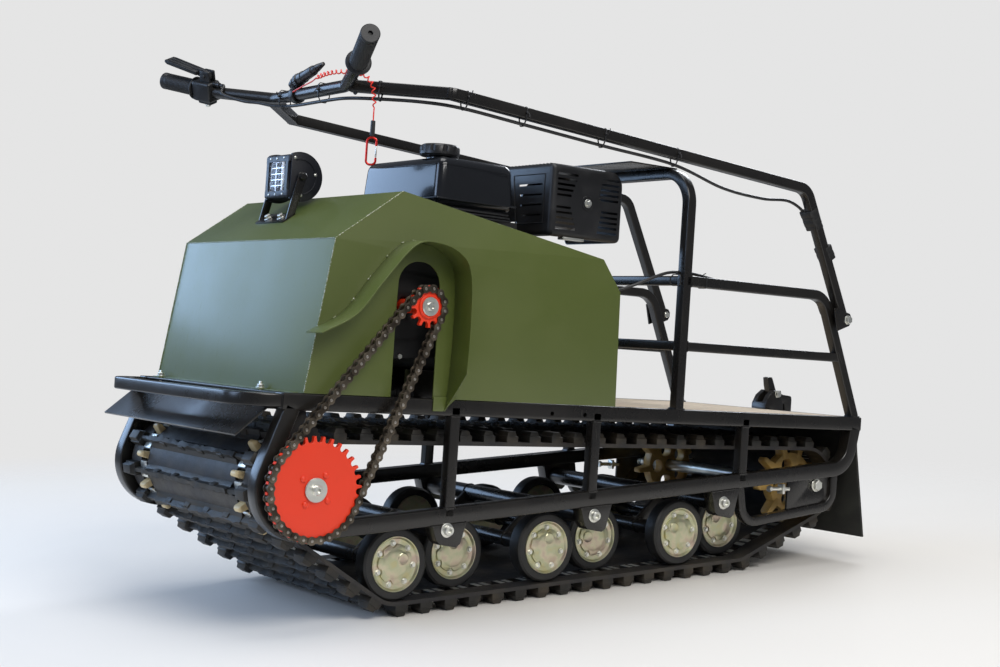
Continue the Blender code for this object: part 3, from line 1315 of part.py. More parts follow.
hub_y = CHAIN_PLANE + SPROCKET_PLATE / 2
axle = across("axle", drive_axle_place.x, drive_axle_place.z, -(HALF + 0.004), hub_y + 0.006, shaft, 12)
collars = [across("collar", drive_axle_place.x, drive_axle_place.z, side * (TOOTH_ROW + at),
                  side * (TOOTH_ROW + at + 0.012),
                  shaft + 0.006, 12) for side in (1, -1) for at in (TOOTH_WIDTH / 2 + 0.001,)]
axle = weld(axle, across("cap_washer", drive_axle_place.x, drive_axle_place.z, hub_y + 0.0010,
                         hub_y + 0.004, 0.020, 12),
            across("cap_bolt", drive_axle_place.x, drive_axle_place.z,
                   hub_y + 0.003, hub_y + 0.012, 0.0095, 6),
            group("collars", collars))
node("drive_axle", axle, BRIGHT_ZINC, None, drive_axle_place)

slot_y = rail_mid
rear = across("rear_tube", rear_axle_place.x, rear_axle_place.z,
              -(slot_y - 0.004), slot_y - 0.004, shaft, 12)
ends = []
for side in (1, -1):
    ends.append(across("rear_stud", rear_axle_place.x, rear_axle_place.z, side * (slot_y - 0.006),
                       side * (slot_y + 0.006),
                       0.0068, 6))
    ends.append(across("rear_nut", rear_axle_place.x, rear_axle_place.z, side * (slot_y + 0.0035),
                       side * (slot_y + 0.011),
                       0.0120, 6))
rear_collars = [across("collar", rear_axle_place.x, rear_axle_place.z, side * (TOOTH_ROW + at),
                       side * (TOOTH_ROW + at + 0.012), shaft + 0.006, 12)
                for side in (1, -1) for at in (TOOTH_WIDTH / 2 + 0.001,)]
node("rear_axle", weld(rear, *ends, group("rear_collars", rear_collars)), BRIGHT_ZINC, None,
     rear_axle_place)


# Chain drive

CHAIN_PHASE = 0.0
pin_marks = [CHAIN_PHASE + k * CHAIN_PITCH for k in range(CHAIN_LINKS)]


rows = []
for point_at in pin_marks:
    for offset in (-RUNG / 2, RUNG / 2):
        point, heading = CHAIN_PATH.at(point_at + offset)
        out = Vector((sin(heading), -cos(heading)))
        rows.append((point - out * LINK_HEIGHT / 2, point + out * LINK_HEIGHT / 2))
chain = bmesh.new()
half_roller = ROLLER_WIDTH / 2
depths = (half_roller, half_roller + INNER_PLATE, half_roller + INNER_PLATE + OUTER_PLATE)
faces = {}
for side in (1, -1):
    for level, depth in enumerate(depths):
        for k, pair in enumerate(rows):
            faces[side, level, k] = [chain.verts.new((p.x, CHAIN_PLANE + side * depth, p.y)) for p in pair]
count = len(rows)
for k in range(count):
    n = (k + 1) % count
    pin_piece = k % 2 == 0
    outer_link = k % 4 != 3
    for side in (1, -1):
        inner_a, inner_b = faces[side, 0, k], faces[side, 0, n]
        mid_a, mid_b = faces[side, 1, k], faces[side, 1, n]
        if not pin_piece:
            chain.faces.new((inner_a[0], inner_b[0], inner_b[1], inner_a[1]))
        if not outer_link:
            chain.faces.new((mid_a[0], mid_b[0], mid_b[1], mid_a[1]))
            for j in (0, 1):
                chain.faces.new((inner_a[j], inner_b[j], mid_b[j], mid_a[j]))
            continue
        top_a, top_b = faces[side, 2, k], faces[side, 2, n]
        chain.faces.new((top_a[0], top_b[0], top_b[1], top_a[1]))
        first, last = k % 4 == 0, k % 4 == 2
        for j in (0, 1):
            edge = [inner_a[j], inner_b[j]]
            edge.extend([mid_b[j]] if last else [])
            edge.extend([top_b[j], top_a[j]])
            edge.extend([mid_a[j]] if first else [])
            chain.faces.new(edge)
        if first:
            chain.faces.new((mid_a[0], mid_a[1], top_a[1], top_a[0]))
        if last:
            chain.faces.new((mid_b[0], mid_b[1], top_b[1], top_b[0]))
    if pin_piece:
        near_a, near_b, far_a, far_b = faces[1, 0, k], faces[1, 0, n], faces[-1, 0, k], faces[-1, 0, n]
        for j in (0, 1):
            chain.faces.new((near_a[j], near_b[j], far_b[j], far_a[j]))
        chain.faces.new((near_a[0], near_a[1], far_a[1], far_a[0]))
        chain.faces.new((near_b[0], near_b[1], far_b[1], far_b[0]))
loose = [vertex for vertex in chain.verts if not vertex.link_faces]
bmesh.ops.delete(chain, geom=loose, context="VERTS")
bmesh.ops.recalc_face_normals(chain, faces=chain.faces)
node("chain", from_bmesh("chain", chain), CHAIN_STEEL, None)


def chain_wheel(name, teeth, x, z, phase, y0, y1, bore):
    """A sprocket whose valleys sit under the chain's rollers."""
    radius = teeth * CHAIN_PITCH / (2 * pi)
    outline = []
    for k in range(teeth):
        angle = phase + 2 * pi * k / teeth
        ray, side = Vector((cos(angle), sin(angle))), Vector((-sin(angle), cos(angle)))
        half = 2 * pi / teeth / 2
        for out, spread in ((-0.0058, -0.0038), (-0.0058, 0.0038)):
            point = ray * (radius + out) + side * spread
            outline.append((x + point.x, z + point.y))
        peak = angle + half
        ray = Vector((cos(peak), sin(peak)))
        point = ray * (radius + 0.0045)
        outline.append((x + point.x, z + point.y))
    rings = [outline]
    if bore:
        rings.append([(x + bore * cos(2 * pi * k / 12),
                       z + bore * sin(2 * pi * k / 12)) for k in range(12)])
    return plate(name, rings, y0, y1)


chain_y = (CHAIN_PLANE - SPROCKET_PLATE / 2, CHAIN_PLANE + SPROCKET_PLATE / 2)
driven_phase = CHAIN_PATH.on_arc(1, pin_marks)
small_phase = CHAIN_PATH.on_arc(0, pin_marks)
driven = chain_wheel("driven", DRIVEN_TEETH, drive_axle_place.x, drive_axle_place.z, driven_phase, *chain_y,
                     shaft + 0.0008)
hub_rings = [[(drive_axle_place.x + r * cos(2 * pi * k / 12), drive_axle_place.z + r * sin(2 * pi * k / 12))
              for k in range(12)] for r in (0.024, shaft + 0.0008)]
hub = plate("hub", hub_rings, HALF + 0.0035, chain_y[0] + 0.002)
driven = weld(driven, hub)
node("driven_sprocket", driven, ORANGE_PAINT, None, drive_axle_place)

small = chain_wheel("small", SMALL_TEETH, small_x, small_z, small_phase, *chain_y, None)
small = weld(small, across("jackshaft", small_x, small_z, belt_face - 0.030, hub_y + 0.006,
                           JACKSHAFT_DIAMETER / 2, 14),
             across("small_hub", small_x, small_z, HALF + 0.002, hub_y - 0.004, 0.019, 8),
             across("small_bolt", small_x, small_z, hub_y + 0.004, hub_y + 0.011, 0.008, 6))
node("engine_sprocket", small, ORANGE_PAINT, None, Vector((small_x, 0, small_z)))


# Bogies and road wheels

def wheel(x, side, outer_face):
    """A tyre on a dished hub; the profile runs round the section from the bore's outer edge."""
    radius, hub = WHEEL_DIAMETER / 2, HUB_DIAMETER / 2
    bore = STUB_DIAMETER / 2 + 0.0008
    outer, half = outer_face, WHEEL_WIDTH / 2
    middle = outer - half
    profile = [(outer - 0.009, bore), (outer - 0.001, hub), (outer - 0.003, radius),
               (middle - half + 0.002, radius),
               (middle - half + 0.002, bore), (outer - 0.009, bore)]
    points = [(side * y, r) for y, r in profile]
    if side < 0:
        points.reverse()
    return turned("wheel", points, 14, Matrix.Translation((x, 0, WHEEL_Z)))


def bogie(x):
    front, rear = x + PAIR_PITCH / 2, x - PAIR_PITCH / 2
    tube_half = HALF - 0.0005 - HANGER - RUNNING_GAP
    body = across("pivot_tube", x, PIVOT_Z, -tube_half, tube_half, PIVOT_TUBE / 2, 12)
    tools = []
    for place, face in ((front, OUTER_WHEEL_FACE), (rear, INNER_WHEEL_FACE)):
        shoulder = face - WHEEL_WIDTH - 0.0002
        tools.append(across("axle_tube", place, WHEEL_Z, -shoulder, shoulder, BOGIE_TUBE / 2, 8))
        tools.append(across("stub", place, WHEEL_Z, -(face - 0.004), face - 0.004, STUB_DIAMETER / 2, 8))
    hull = [(front + 0.008, WHEEL_Z - 0.006), (front + 0.007, WHEEL_Z + 0.009),
            (x + 0.012, PIVOT_Z + 0.009),
            (x - 0.012, PIVOT_Z + 0.009), (rear - 0.007, WHEEL_Z + 0.009), (rear - 0.008, WHEEL_Z - 0.006),
            (x, PIVOT_Z - 0.026)]
    for side in (1, -1):
        tools.append(plate("arm", [hull], side * (ARM_PLACE - ARM_PLATE / 2),
                           side * (ARM_PLACE + ARM_PLATE / 2)))
    body = weld(body, *tools)
    bores = group("bores", [across("bore", x, PIVOT_Z, side * (HALF - 0.052), side * (HALF + 0.01),
                                   PIVOT_BOLT / 2 + 0.0008, 8) for side in (1, -1)])
    return carve(body, bores)


for number, (label, x) in enumerate(zip(("front", "middle", "rear"), bogie_places)):
    pivot = Vector((x, 0, PIVOT_Z))
    node("bogie_" + label, bogie(x), BLACK_PAINT, None, pivot)
    for pair, place, face in ((1, x + PAIR_PITCH / 2, OUTER_WHEEL_FACE),
                              (2, x - PAIR_PITCH / 2, INNER_WHEEL_FACE)):
        for side, letter in ((1, "left"), (-1, "right")):
            node("wheel_{}_{}".format(2 * number + pair, letter), wheel(place, side, face), YELLOW_ZINC,
                 None,
                 Vector((place, 0, WHEEL_Z)), True)


# Cords and cables

def smoothed(points, count):
    """Catmull-Rom points through a list of places, evenly counted in each span."""
    points = [Vector(p) for p in points]
    padded = [points[0] * 2 - points[1]] + points + [points[-1] * 2 - points[-2]]
    path = []
    for a, b, c, d in zip(padded, padded[1:], padded[2:], padded[3:]):
        for k in range(count):
            t = k / count
            path.append(0.5 * ((b * 2) + (c - a) * t + (a * 2 - b * 5 + c * 4 - d) * t * t
                               + (b * 3 - a - c * 3 + d) * t * t * t))
    path.append(points[-1])
    return path


def along_path(path):
    """Distances along a path."""
    marks = [0.0]
    for a, b in zip(path, path[1:]):
        marks.append(marks[-1] + (b - a).length)
    return marks


def place_at(path, marks, distance):
    for k in range(len(path) - 1):
        if distance <= marks[k + 1] or k == len(path) - 2:
            share = (distance - marks[k]) / (marks[k + 1] - marks[k])
            return path[k].lerp(path[k + 1], share), (path[k + 1] - path[k]).normalized()


def curled(start, coil, tail):
    """A cord that runs straight, curls round the coil's path, and runs straight again."""
    path = smoothed(coil, 12)
    marks = along_path(path)
    total = CURLS * CURL_POINTS
    radius = (CURL_DIAMETER - CORD_DIAMETER) / 2
    cord = [Vector(p) for p in start]
    side = Vector((0, 0, 1))
    for k in range(total + 1):
        point, way = place_at(path, marks, marks[-1] * k / total)
        side = (side - way * side.dot(way)).normalized()
        angle = 2 * pi * k / CURL_POINTS
        ease = min(1.0, k / CURL_POINTS, (total - k) / CURL_POINTS)
        cord.append(point + (side * cos(angle) + way.cross(side) * sin(angle)) * radius * ease)
    cord.extend(Vector(p) for p in tail)
    return cord


COIL = [(-0.1100, 0.050, 0.5440), (-0.1080, 0.085, 0.5475), (-0.1110, 0.118, 0.5485),
        (-0.1220, 0.147, 0.5470), (-0.1365, 0.173, 0.5410), (-0.1440, 0.187, 0.5240),
        (-0.1470, 0.190, 0.5020), (-0.1480, 0.1905, 0.4830)]
cord_points = curled([(-0.1140, -0.0376, 0.5292), (-0.1120, 0.000, 0.5350), (-0.1110, 0.035, 0.5400)], COIL,
                     [(-0.1480, 0.1905, 0.4790), (-0.1480, 0.1905, 0.4600)])
nearest = 1.0
for k, one in enumerate(cord_points):
    for other in cord_points[k + CURL_POINTS // 2 + 1:]:
        nearest = min(nearest, (one - other).length)
print("least gap of the cord to itself", round((nearest - CORD_DIAMETER) * 1000, 2), "mm, length",
      round(along_path(cord_points)[-1], 4))
cord = round_tube("cord", [tuple(p) for p in cord_points], CORD_DIAMETER / 2, 1)
hook_top = 0.4370
cord = weld(cord, rod("sleeve", (-0.1480, 0.1905, 0.4640), (-0.1480, 0.1905, hook_top + GAP), 0.0042, 8))
node("kill_cord", cord, RED_CORD, chassis)

hook_way = Vector((-0.809, 0.587, 0))
hook_out = Vector((0, 0, 1)).cross(hook_way)
hook_mid = Vector((-0.1480, 0.1905, hook_top - CARABINER_HEIGHT / 2))
hook_half = CARABINER_WIDTH / 2 - CARABINER_WIRE / 2
hook_tall = CARABINER_HEIGHT / 2 - CARABINER_WIRE / 2


def hook_point(a, b):
    return hook_mid + hook_way * a + Vector((0, 0, b))


gate_low, gate_high = -0.011, 0.009
corner_round = 0.0065
loop_points = bent([(hook_half, gate_high), (hook_half, hook_tall), (-hook_half, hook_tall),
                    (-hook_half, -hook_tall), (hook_half, -hook_tall), (hook_half, gate_low)],
                   corner_round, radians(30))
hook = round_tube("hook", [tuple(hook_point(p.x, p.y)) for p in loop_points], CARABINER_WIRE / 2, 1)
node("carabiner", hook, RED_ALLOY, chassis)
gate_foot = hook_point(hook_half, gate_low + 0.0004)
gate_neck = hook_point(hook_half, gate_low + 0.0020)
gate = weld(rod("gate", gate_neck, hook_point(hook_half, gate_high - 0.0004), 0.0015, 6),
            rod("foot", gate_foot, gate_neck + Vector((0, 0, 0.0002)), 0.0007, 6, 0.0013))
node("carabiner_gate", gate, BRIGHT_ZINC, chassis, CHASSIS @ hook_point(hook_half, gate_low))

cable_radius = CABLE_DIAMETER / 2
cable_y = tiller_y - TILLER_TUBE / 2 - cable_radius - 0.0005
throttle_start = beside(-1, grip_from - 0.0150) + over * 0.016
bar_end = Vector((BAR_U, BAR_HALF, BAR_W))
kink = Vector((KINK_U, tiller_y, KINK_W))
elbow_place = Vector((ELBOW_U, tiller_y, ELBOW_W))


def under_arm(start, end, share, inwards, drop):
    """A point of the cable below the tube between two corners of the arm."""
    return Vector(start).lerp(end, share) - Vector((0, inwards, drop))


control = [throttle_start, throttle_start - grip_axis * 0.009, (-0.0655, -0.224, 0.5350),
           (-0.0890, -0.185, 0.5220), (-0.1040, -0.150, 0.5175), (-0.1180, -0.115, 0.5110),
           (-0.129, -0.060, 0.508), (-0.129, 0.060, 0.507), (-0.134, 0.125, 0.506),
           under_arm(bar_end, kink, 0.31, 0.0025, 0.0190), under_arm(bar_end, kink, 0.73, 0.0015, 0.0178),
           under_arm(kink, elbow_place, 0.032, 0.006, 0.0180),
           under_arm(kink, elbow_place, 0.177, -0.001, 0.0197),
           under_arm(kink, elbow_place, 0.385, -0.001, 0.0204),
           under_arm(kink, elbow_place, 0.590, 0.001, 0.0203),
           under_arm(kink, elbow_place, 0.742, 0.004, 0.0395),
           under_arm(kink, elbow_place, 0.870, 0.008, 0.0393),
           under_arm(kink, elbow_place, 0.969, 0.014, 0.0300),
           (TILLER_PIVOT_U + 0.101, cable_y, 0.394), (TILLER_PIVOT_U + 0.056, cable_y, 0.330),
           (TILLER_PIVOT_U + 0.019, cable_y, 0.268), (TILLER_PIVOT_U + 0.003, tiller_y - 0.0170, 0.225),
           (TILLER_PIVOT_U, tiller_y - 0.0215, 0.2015), (TILLER_PIVOT_U, tiller_y - 0.0260, 0.1985),
           (TILLER_PIVOT_U, tiller_y - 0.0300, TILLER_PIVOT_W),
           (TILLER_PIVOT_U, tiller_y - 0.0330, TILLER_PIVOT_W)]
control_cable = round_tube("control", [tuple(p) for p in smoothed(control, 2)], cable_radius, 0)
node("control_cable", control_cable, BLACK_PLASTIC, chassis)
frame_y = rack_y - tube / 2 - cable_radius - 0.0005
frame_run = [(TILLER_PIVOT_U, tiller_y - 0.0340, TILLER_PIVOT_W),
             (TILLER_PIVOT_U, tiller_y - 0.0370, TILLER_PIVOT_W),
             (TILLER_PIVOT_U + 0.005, tiller_y - 0.0375, 0.199),
             (TILLER_PIVOT_U + 0.026, tiller_y - 0.0320, 0.208),
             (TILLER_PIVOT_U + 0.061, frame_y, 0.236), (TILLER_PIVOT_U + 0.141, frame_y, 0.240),
             (HOOP_U - 0.148, frame_y, 0.246), (HOOP_U - 0.048, frame_y, 0.2585), (HOOP_U, frame_y, 0.2600),
             (HOOP_U + 0.042, frame_y, 0.2540), (CRANKCASE_REAR - 0.140, frame_y - 0.0115, 0.225),
             (CRANKCASE_REAR - 0.090, 0.205, 0.204), (CRANKCASE_REAR - 0.060, 0.150, 0.197),
             (CRANKCASE_REAR - 0.040, 0.105, 0.196), (CRANKCASE_REAR - 0.020, 0.095, 0.196),
             (CRANKCASE_REAR - 0.001, 0.095, 0.196)]
frame_cable = round_tube("frame", [tuple(p) for p in smoothed(frame_run, 2)], cable_radius, 0)
node("frame_cable", frame_cable, BLACK_PLASTIC, chassis)

for profile in SQUARES.values():
    bpy.data.objects.remove(profile, do_unlink=True)
for leftover in list(TOOLS.objects):
    print("spare tool", leftover.name)

low, high = Vector((9, 9, 9)), Vector((-9, -9, -9))
triangles = {}
for obj in PARTS.objects:
    if obj.type != "MESH":
        continue
    obj.data.calc_loop_triangles()
    triangles[obj.name] = len(obj.data.loop_triangles)
    for vertex in obj.data.vertices:
        place = obj.matrix_world @ vertex.co
        low = Vector(map(min, low, place))
        high = Vector(map(max, high, place))
print("bounds", tuple(round(v, 4) for v in low), tuple(round(v, 4) for v in high))
print("nodes", len(triangles), "triangles", sum(triangles.values()))
print(sorted(triangles.items(), key=lambda item: -item[1]))
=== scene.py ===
# %% [markdown]
# # Dressing a tracked snow tow vehicle
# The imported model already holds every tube, wheel and lever at its real size and place.
# This lesson gives it the look of the real machine: rounded square tubes with weld beads,
# a lugged rubber track, a proper roller chain, folded sheet metal and controls.
# First the model is loaded as a fixed frame that nothing below may move.

# %% Load the frame
import json
from math import acos, asin, atan2, cos, hypot, pi, radians, sin, tan
from random import Random

import bmesh
import bpy
from mathutils import Matrix, Vector


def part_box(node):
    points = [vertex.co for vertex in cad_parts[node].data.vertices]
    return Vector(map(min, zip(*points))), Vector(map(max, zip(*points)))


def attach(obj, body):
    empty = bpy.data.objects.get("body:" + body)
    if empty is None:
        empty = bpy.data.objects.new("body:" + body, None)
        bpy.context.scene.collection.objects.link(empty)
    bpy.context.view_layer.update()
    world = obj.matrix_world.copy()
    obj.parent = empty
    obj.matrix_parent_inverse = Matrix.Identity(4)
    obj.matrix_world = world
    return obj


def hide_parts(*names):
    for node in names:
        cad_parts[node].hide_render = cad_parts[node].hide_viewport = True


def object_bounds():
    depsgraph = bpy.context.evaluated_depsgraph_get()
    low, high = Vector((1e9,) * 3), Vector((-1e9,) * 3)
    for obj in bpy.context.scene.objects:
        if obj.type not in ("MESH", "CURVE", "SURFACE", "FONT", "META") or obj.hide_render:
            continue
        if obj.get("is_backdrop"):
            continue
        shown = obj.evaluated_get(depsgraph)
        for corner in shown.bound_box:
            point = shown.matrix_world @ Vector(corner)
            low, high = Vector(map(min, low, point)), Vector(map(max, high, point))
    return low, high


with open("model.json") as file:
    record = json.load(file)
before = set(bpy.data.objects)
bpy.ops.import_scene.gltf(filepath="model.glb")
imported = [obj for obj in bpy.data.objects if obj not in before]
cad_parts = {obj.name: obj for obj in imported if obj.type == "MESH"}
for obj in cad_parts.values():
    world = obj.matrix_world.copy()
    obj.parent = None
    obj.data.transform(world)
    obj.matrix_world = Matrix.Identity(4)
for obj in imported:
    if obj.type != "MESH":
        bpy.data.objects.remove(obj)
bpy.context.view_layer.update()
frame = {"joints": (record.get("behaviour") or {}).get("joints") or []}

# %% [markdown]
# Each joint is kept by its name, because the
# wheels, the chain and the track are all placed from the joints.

joints = {joint["name"]: joint for joint in frame["joints"]}

# %% [markdown]
# The chassis sits nose-up on its level track, so most pieces are easiest to model in the
# chassis's own frame: u forward, y to the left and w up, with the origin at the top of the
# deck's front edge. One matrix turns that into the world. Its directions come from the
# joints that slide along the chassis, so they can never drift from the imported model.

# %% The chassis frame
FRONT = Vector((0.6145, 0.0, 0.389))


def facing(x_way, y_way, z_way):
    """A matrix that turns X, Y and Z to these three directions."""
    return Matrix((x_way, y_way, z_way)).transposed().to_4x4()


forward = Vector(joints["track_tension"]["axis"]).normalized()
upward = Vector(joints["starter_pull"]["axis"]).normalized()
left = upward.cross(forward)
CHASSIS = facing(forward, left, upward)
CHASSIS.translation = FRONT
TO_CHASSIS = CHASSIS.inverted()
print("nose up", round(asin(forward.z) * 180 / pi, 2), "degrees")

# %% [markdown]
# Blender's operators act on whatever is selected and active, so each helper starts by
# selecting one object alone. The others wrap the moves that are used again and again:
# picking faces or edges by a rule, merging points, slicing, and softening sharp edges.

# %% Selecting and editing
def only(obj):
    """Select one object alone and make it the active one."""
    bpy.ops.object.select_all(action="DESELECT")
    obj.select_set(True)
    bpy.context.view_layer.objects.active = obj
    return obj


def open_mesh(obj, kind="FACE"):
    only(obj)
    bpy.ops.object.mode_set(mode="EDIT")
    bpy.ops.mesh.select_mode(type=kind)
    return bmesh.from_edit_mesh(obj.data)


def close_mesh():
    bpy.ops.object.mode_set(mode="OBJECT")


def pick_faces(obj, rule):
    """Open the mesh with only the faces selected whose centre and normal pass the rule."""
    mesh = open_mesh(obj)
    bpy.ops.mesh.select_all(action="DESELECT")
    for face in mesh.faces:
        face.select_set(rule(face.calc_center_median(), face.normal))
    bmesh.update_edit_mesh(obj.data)


def pick_edges(obj, rule):
    """Open the mesh with only the edges selected whose two ends pass the rule."""
    mesh = open_mesh(obj, "EDGE")
    bpy.ops.mesh.select_all(action="DESELECT")
    for edge in mesh.edges:
        edge.select_set(rule(edge.verts[0].co, edge.verts[1].co))
    bmesh.update_edit_mesh(obj.data)


def cleaned(obj, gap=0.00001):
    """Merge points that lie within the gap, and turn every face outwards."""
    open_mesh(obj)
    bpy.ops.mesh.select_all(action="SELECT")
    bpy.ops.mesh.remove_doubles(threshold=gap)
    bpy.ops.mesh.normals_make_consistent(inside=False)
    close_mesh()


def slice_across(obj, place, way, **settings):
    """Cut the mesh's faces along a plane through a place, square to the way."""
    open_mesh(obj)
    bpy.ops.mesh.select_all(action="SELECT")
    bpy.ops.mesh.bisect(plane_co=place, plane_no=way, **settings)
    close_mesh()


def soften(obj, width, segments=2, angle=35):
    """Bevel every edge that is sharper than the angle, as paint and pressing round it."""
    open_mesh(obj, "EDGE")
    bpy.ops.mesh.select_all(action="DESELECT")
    bpy.ops.mesh.edges_select_sharp(sharpness=radians(angle))
    bpy.ops.mesh.bevel(offset=width, segments=segments, affect="EDGES", clamp_overlap=True)
    close_mesh()
    return obj

# %% [markdown]
# A modifier changes a shape by a rule, and applying it makes the change real. Cutting is
# the one used most: the tool's shape is taken out of the piece, as a drill or a saw would.
# Pieces of one material that move together are joined, which keeps the scene short.

# %% Cutting, joining and copying
def modify(obj, kind, **settings):
    """Add a modifier with these settings and apply it."""
    only(obj)
    modifier = obj.modifiers.new(kind.lower(), kind)
    for name, value in settings.items():
        setattr(modifier, name, value)
    bpy.ops.object.modifier_apply(modifier=modifier.name)
    return obj


def cut(obj, *tools):
    """Take tool shapes out of the object, and clear them away."""
    for tool in tools:
        modify(obj, "BOOLEAN", operation="DIFFERENCE", object=tool, solver="EXACT")
        bpy.data.objects.remove(tool, do_unlink=True)
    return obj


def joined(name, parts):
    """Join several pieces into one, with its place in its mesh."""
    only(parts[0])
    for part in parts[1:]:
        part.select_set(True)
    bpy.ops.object.join()
    parts[0].name = name
    return parts[0]


def repeated(obj, places):
    """Copies of a modelled piece, each with its own mesh, at these matrices; the first is used up."""
    copies = []
    for place in places:
        twin = obj.copy()
        twin.data = obj.data.copy()
        twin.data.transform(place)
        bpy.context.collection.objects.link(twin)
        copies.append(twin)
    bpy.data.objects.remove(obj, do_unlink=True)
    return copies

# %% [markdown]
# Three starting shapes cover most of the machine. A block is a scaled cube, a rod is a
# cylinder between two points, and a turned piece is a disc whose rim is extruded and
# scaled from one (distance, radius) step to the next, which is how a lathe would cut it.

# %% Starting shapes
Y_AXIS = Vector((0, 1, 0))
Z_AXIS = Vector((0, 0, 1))


def settled(obj, name):
    obj.name = name
    bpy.ops.object.transform_apply(location=True, rotation=True, scale=True)
    return obj


def block(name, low, high, bevel=0.0, segments=2):
    size = [abs(b - a) for a, b in zip(low, high)]
    middle = [(a + b) / 2 for a, b in zip(low, high)]
    bpy.ops.mesh.primitive_cube_add(size=1, location=middle, scale=size)
    obj = settled(bpy.context.object, name)
    return soften(obj, bevel, segments) if bevel else obj


def rod(name, start, end, radius, sides=32, bevel=0.0, end_radius=None):
    start, end = Vector(start), Vector(end)
    along = end - start
    turn = along.to_track_quat("Z", "Y").to_euler()
    bpy.ops.mesh.primitive_cone_add(vertices=sides, radius1=radius,
                                    radius2=radius if end_radius is None else end_radius,
                                    depth=along.length, location=(start + end) / 2, rotation=turn)
    obj = settled(bpy.context.object, name)
    return soften(obj, bevel, 2) if bevel else obj


def turned(name, profile, start, way, sides=48, ring=False):
    """A turned piece; profile is (distance along the way, radius), and ring leaves a bore."""
    first = profile[0]
    bpy.ops.mesh.primitive_circle_add(vertices=sides, radius=first[1], location=(0, 0, 0),
                                      fill_type="NOTHING" if ring else "NGON")
    obj = settled(bpy.context.object, name)
    open_mesh(obj, "EDGE" if ring else "FACE")
    bpy.ops.mesh.select_all(action="SELECT")
    bpy.ops.transform.translate(value=(0, 0, first[0]))
    for before, after in zip(profile, profile[1:] + ([first] if ring else [])):
        step = (0, 0, after[0] - before[0])
        bpy.ops.mesh.extrude_region_move(TRANSFORM_OT_translate={"value": step})
        scale = after[1] / before[1]
        bpy.ops.transform.resize(value=(scale, scale, 1), center_override=(0, 0, after[0]))
    bpy.ops.mesh.select_all(action="SELECT")
    bpy.ops.mesh.remove_doubles(threshold=0.00001)
    bpy.ops.mesh.normals_make_consistent(inside=False)
    close_mesh()
    turn = Vector(way).to_track_quat("Z", "Y").to_matrix().to_4x4()
    obj.data.transform(Matrix.Translation(start) @ turn)
    return obj

# %% [markdown]
# Bent tubes and cables are curves. A frame tube takes a rounded square as its section and
# runs round its corners in true arcs, because the real ones are bent on a former. A flat
# path is drawn in a plane and laid in the side, cross or floor plane by a matrix, which
# keeps the square section from twisting.

# %% Bent paths
def bent(corners, radius, step=radians(9)):
    """A path through corners, with each inner corner rounded to the radius."""
    path = [Vector(corners[0])]
    for before, corner, after in zip(corners, corners[1:], corners[2:]):
        corner = Vector(corner)
        into = (corner - Vector(before)).normalized()
        out = (Vector(after) - corner).normalized()
        turn = acos(max(-1.0, min(1.0, into.dot(out))))
        if turn < radians(1):
            path.append(corner)
            continue
        side = (out - into * into.dot(out)).normalized()
        start = corner - into * radius * tan(turn / 2)
        count = max(1, round(turn / step))
        for k in range(count + 1):
            angle = turn * k / count
            path.append(start + side * radius * (1 - cos(angle)) + into * radius * sin(angle))
    path.append(Vector(corners[-1]))
    return path


def in_side(y):
    return Matrix.Translation((0, y, 0)) @ Matrix.Rotation(radians(90), 4, "X")


def in_cross(u):
    return Matrix.Translation((u, 0, 0)) @ Matrix(((0, 0, 1, 0), (1, 0, 0, 0), (0, 1, 0, 0), (0, 0, 0, 1)))


def in_floor(w):
    return Matrix.Translation((0, 0, w))


def drawn_curve(name, points, flat):
    """A poly curve through points, made from Blender's own starting curve."""
    bpy.ops.curve.primitive_nurbs_path_add(location=(0, 0, 0))
    obj = bpy.context.object
    obj.name = name
    curve = obj.data
    curve.dimensions = "2D" if flat else "3D"
    curve.splines.clear()
    line = curve.splines.new("POLY")
    line.points.add(len(points) - 1)
    for point, place in zip(line.points, points):
        point.co = (*place, 0, 1) if flat else (*place, 1)
    return obj

# %% [markdown]
# A square tube's section is a curve too, drawn once for each size. Sweeping it along the
# path and turning the result into a mesh gives a tube with rounded edges and flat ends. A
# plate is a filled flat curve with thickness, and holes are simply inner outlines.

# %% Tubes, bars and plates
sections = {}


def rounded_square(side, radius):
    """The section of a square tube, drawn once for each size."""
    if (side, radius) not in sections:
        half = side / 2 - radius
        points = []
        for quarter, (x, y) in enumerate(((half, half), (-half, half), (-half, -half), (half, -half))):
            for k in range(4):
                angle = radians(90 * quarter + 30 * k)
                points.append((x + radius * cos(angle), y + radius * sin(angle)))
        section = drawn_curve("square_section", points[::-1], True)
        section.data.splines[0].use_cyclic_u = True
        section.hide_render = True
        sections[side, radius] = section
    return sections[side, radius]


def baked(obj):
    """Turn a curve into a mesh with merged points, and its place into the mesh."""
    only(obj)
    bpy.ops.object.convert(target="MESH")
    cleaned(obj)
    bpy.ops.object.transform_apply(location=True, rotation=True, scale=True)
    return obj


def square_tube(name, path, side, plane, radius=0.0025):
    """A square tube along a flat path of (a, b) that the plane matrix lays in space."""
    obj = drawn_curve(name, path, True)
    obj.data.fill_mode = "NONE"
    obj.data.bevel_mode = "OBJECT"
    obj.data.bevel_object = rounded_square(side, radius)
    obj.data.use_fill_caps = True
    obj.matrix_world = plane
    return baked(obj)


def round_bar(name, points, radius, resolution=5):
    obj = drawn_curve(name, points, False)
    obj.data.bevel_depth = radius
    obj.data.bevel_resolution = resolution
    obj.data.use_fill_caps = True
    return baked(obj)


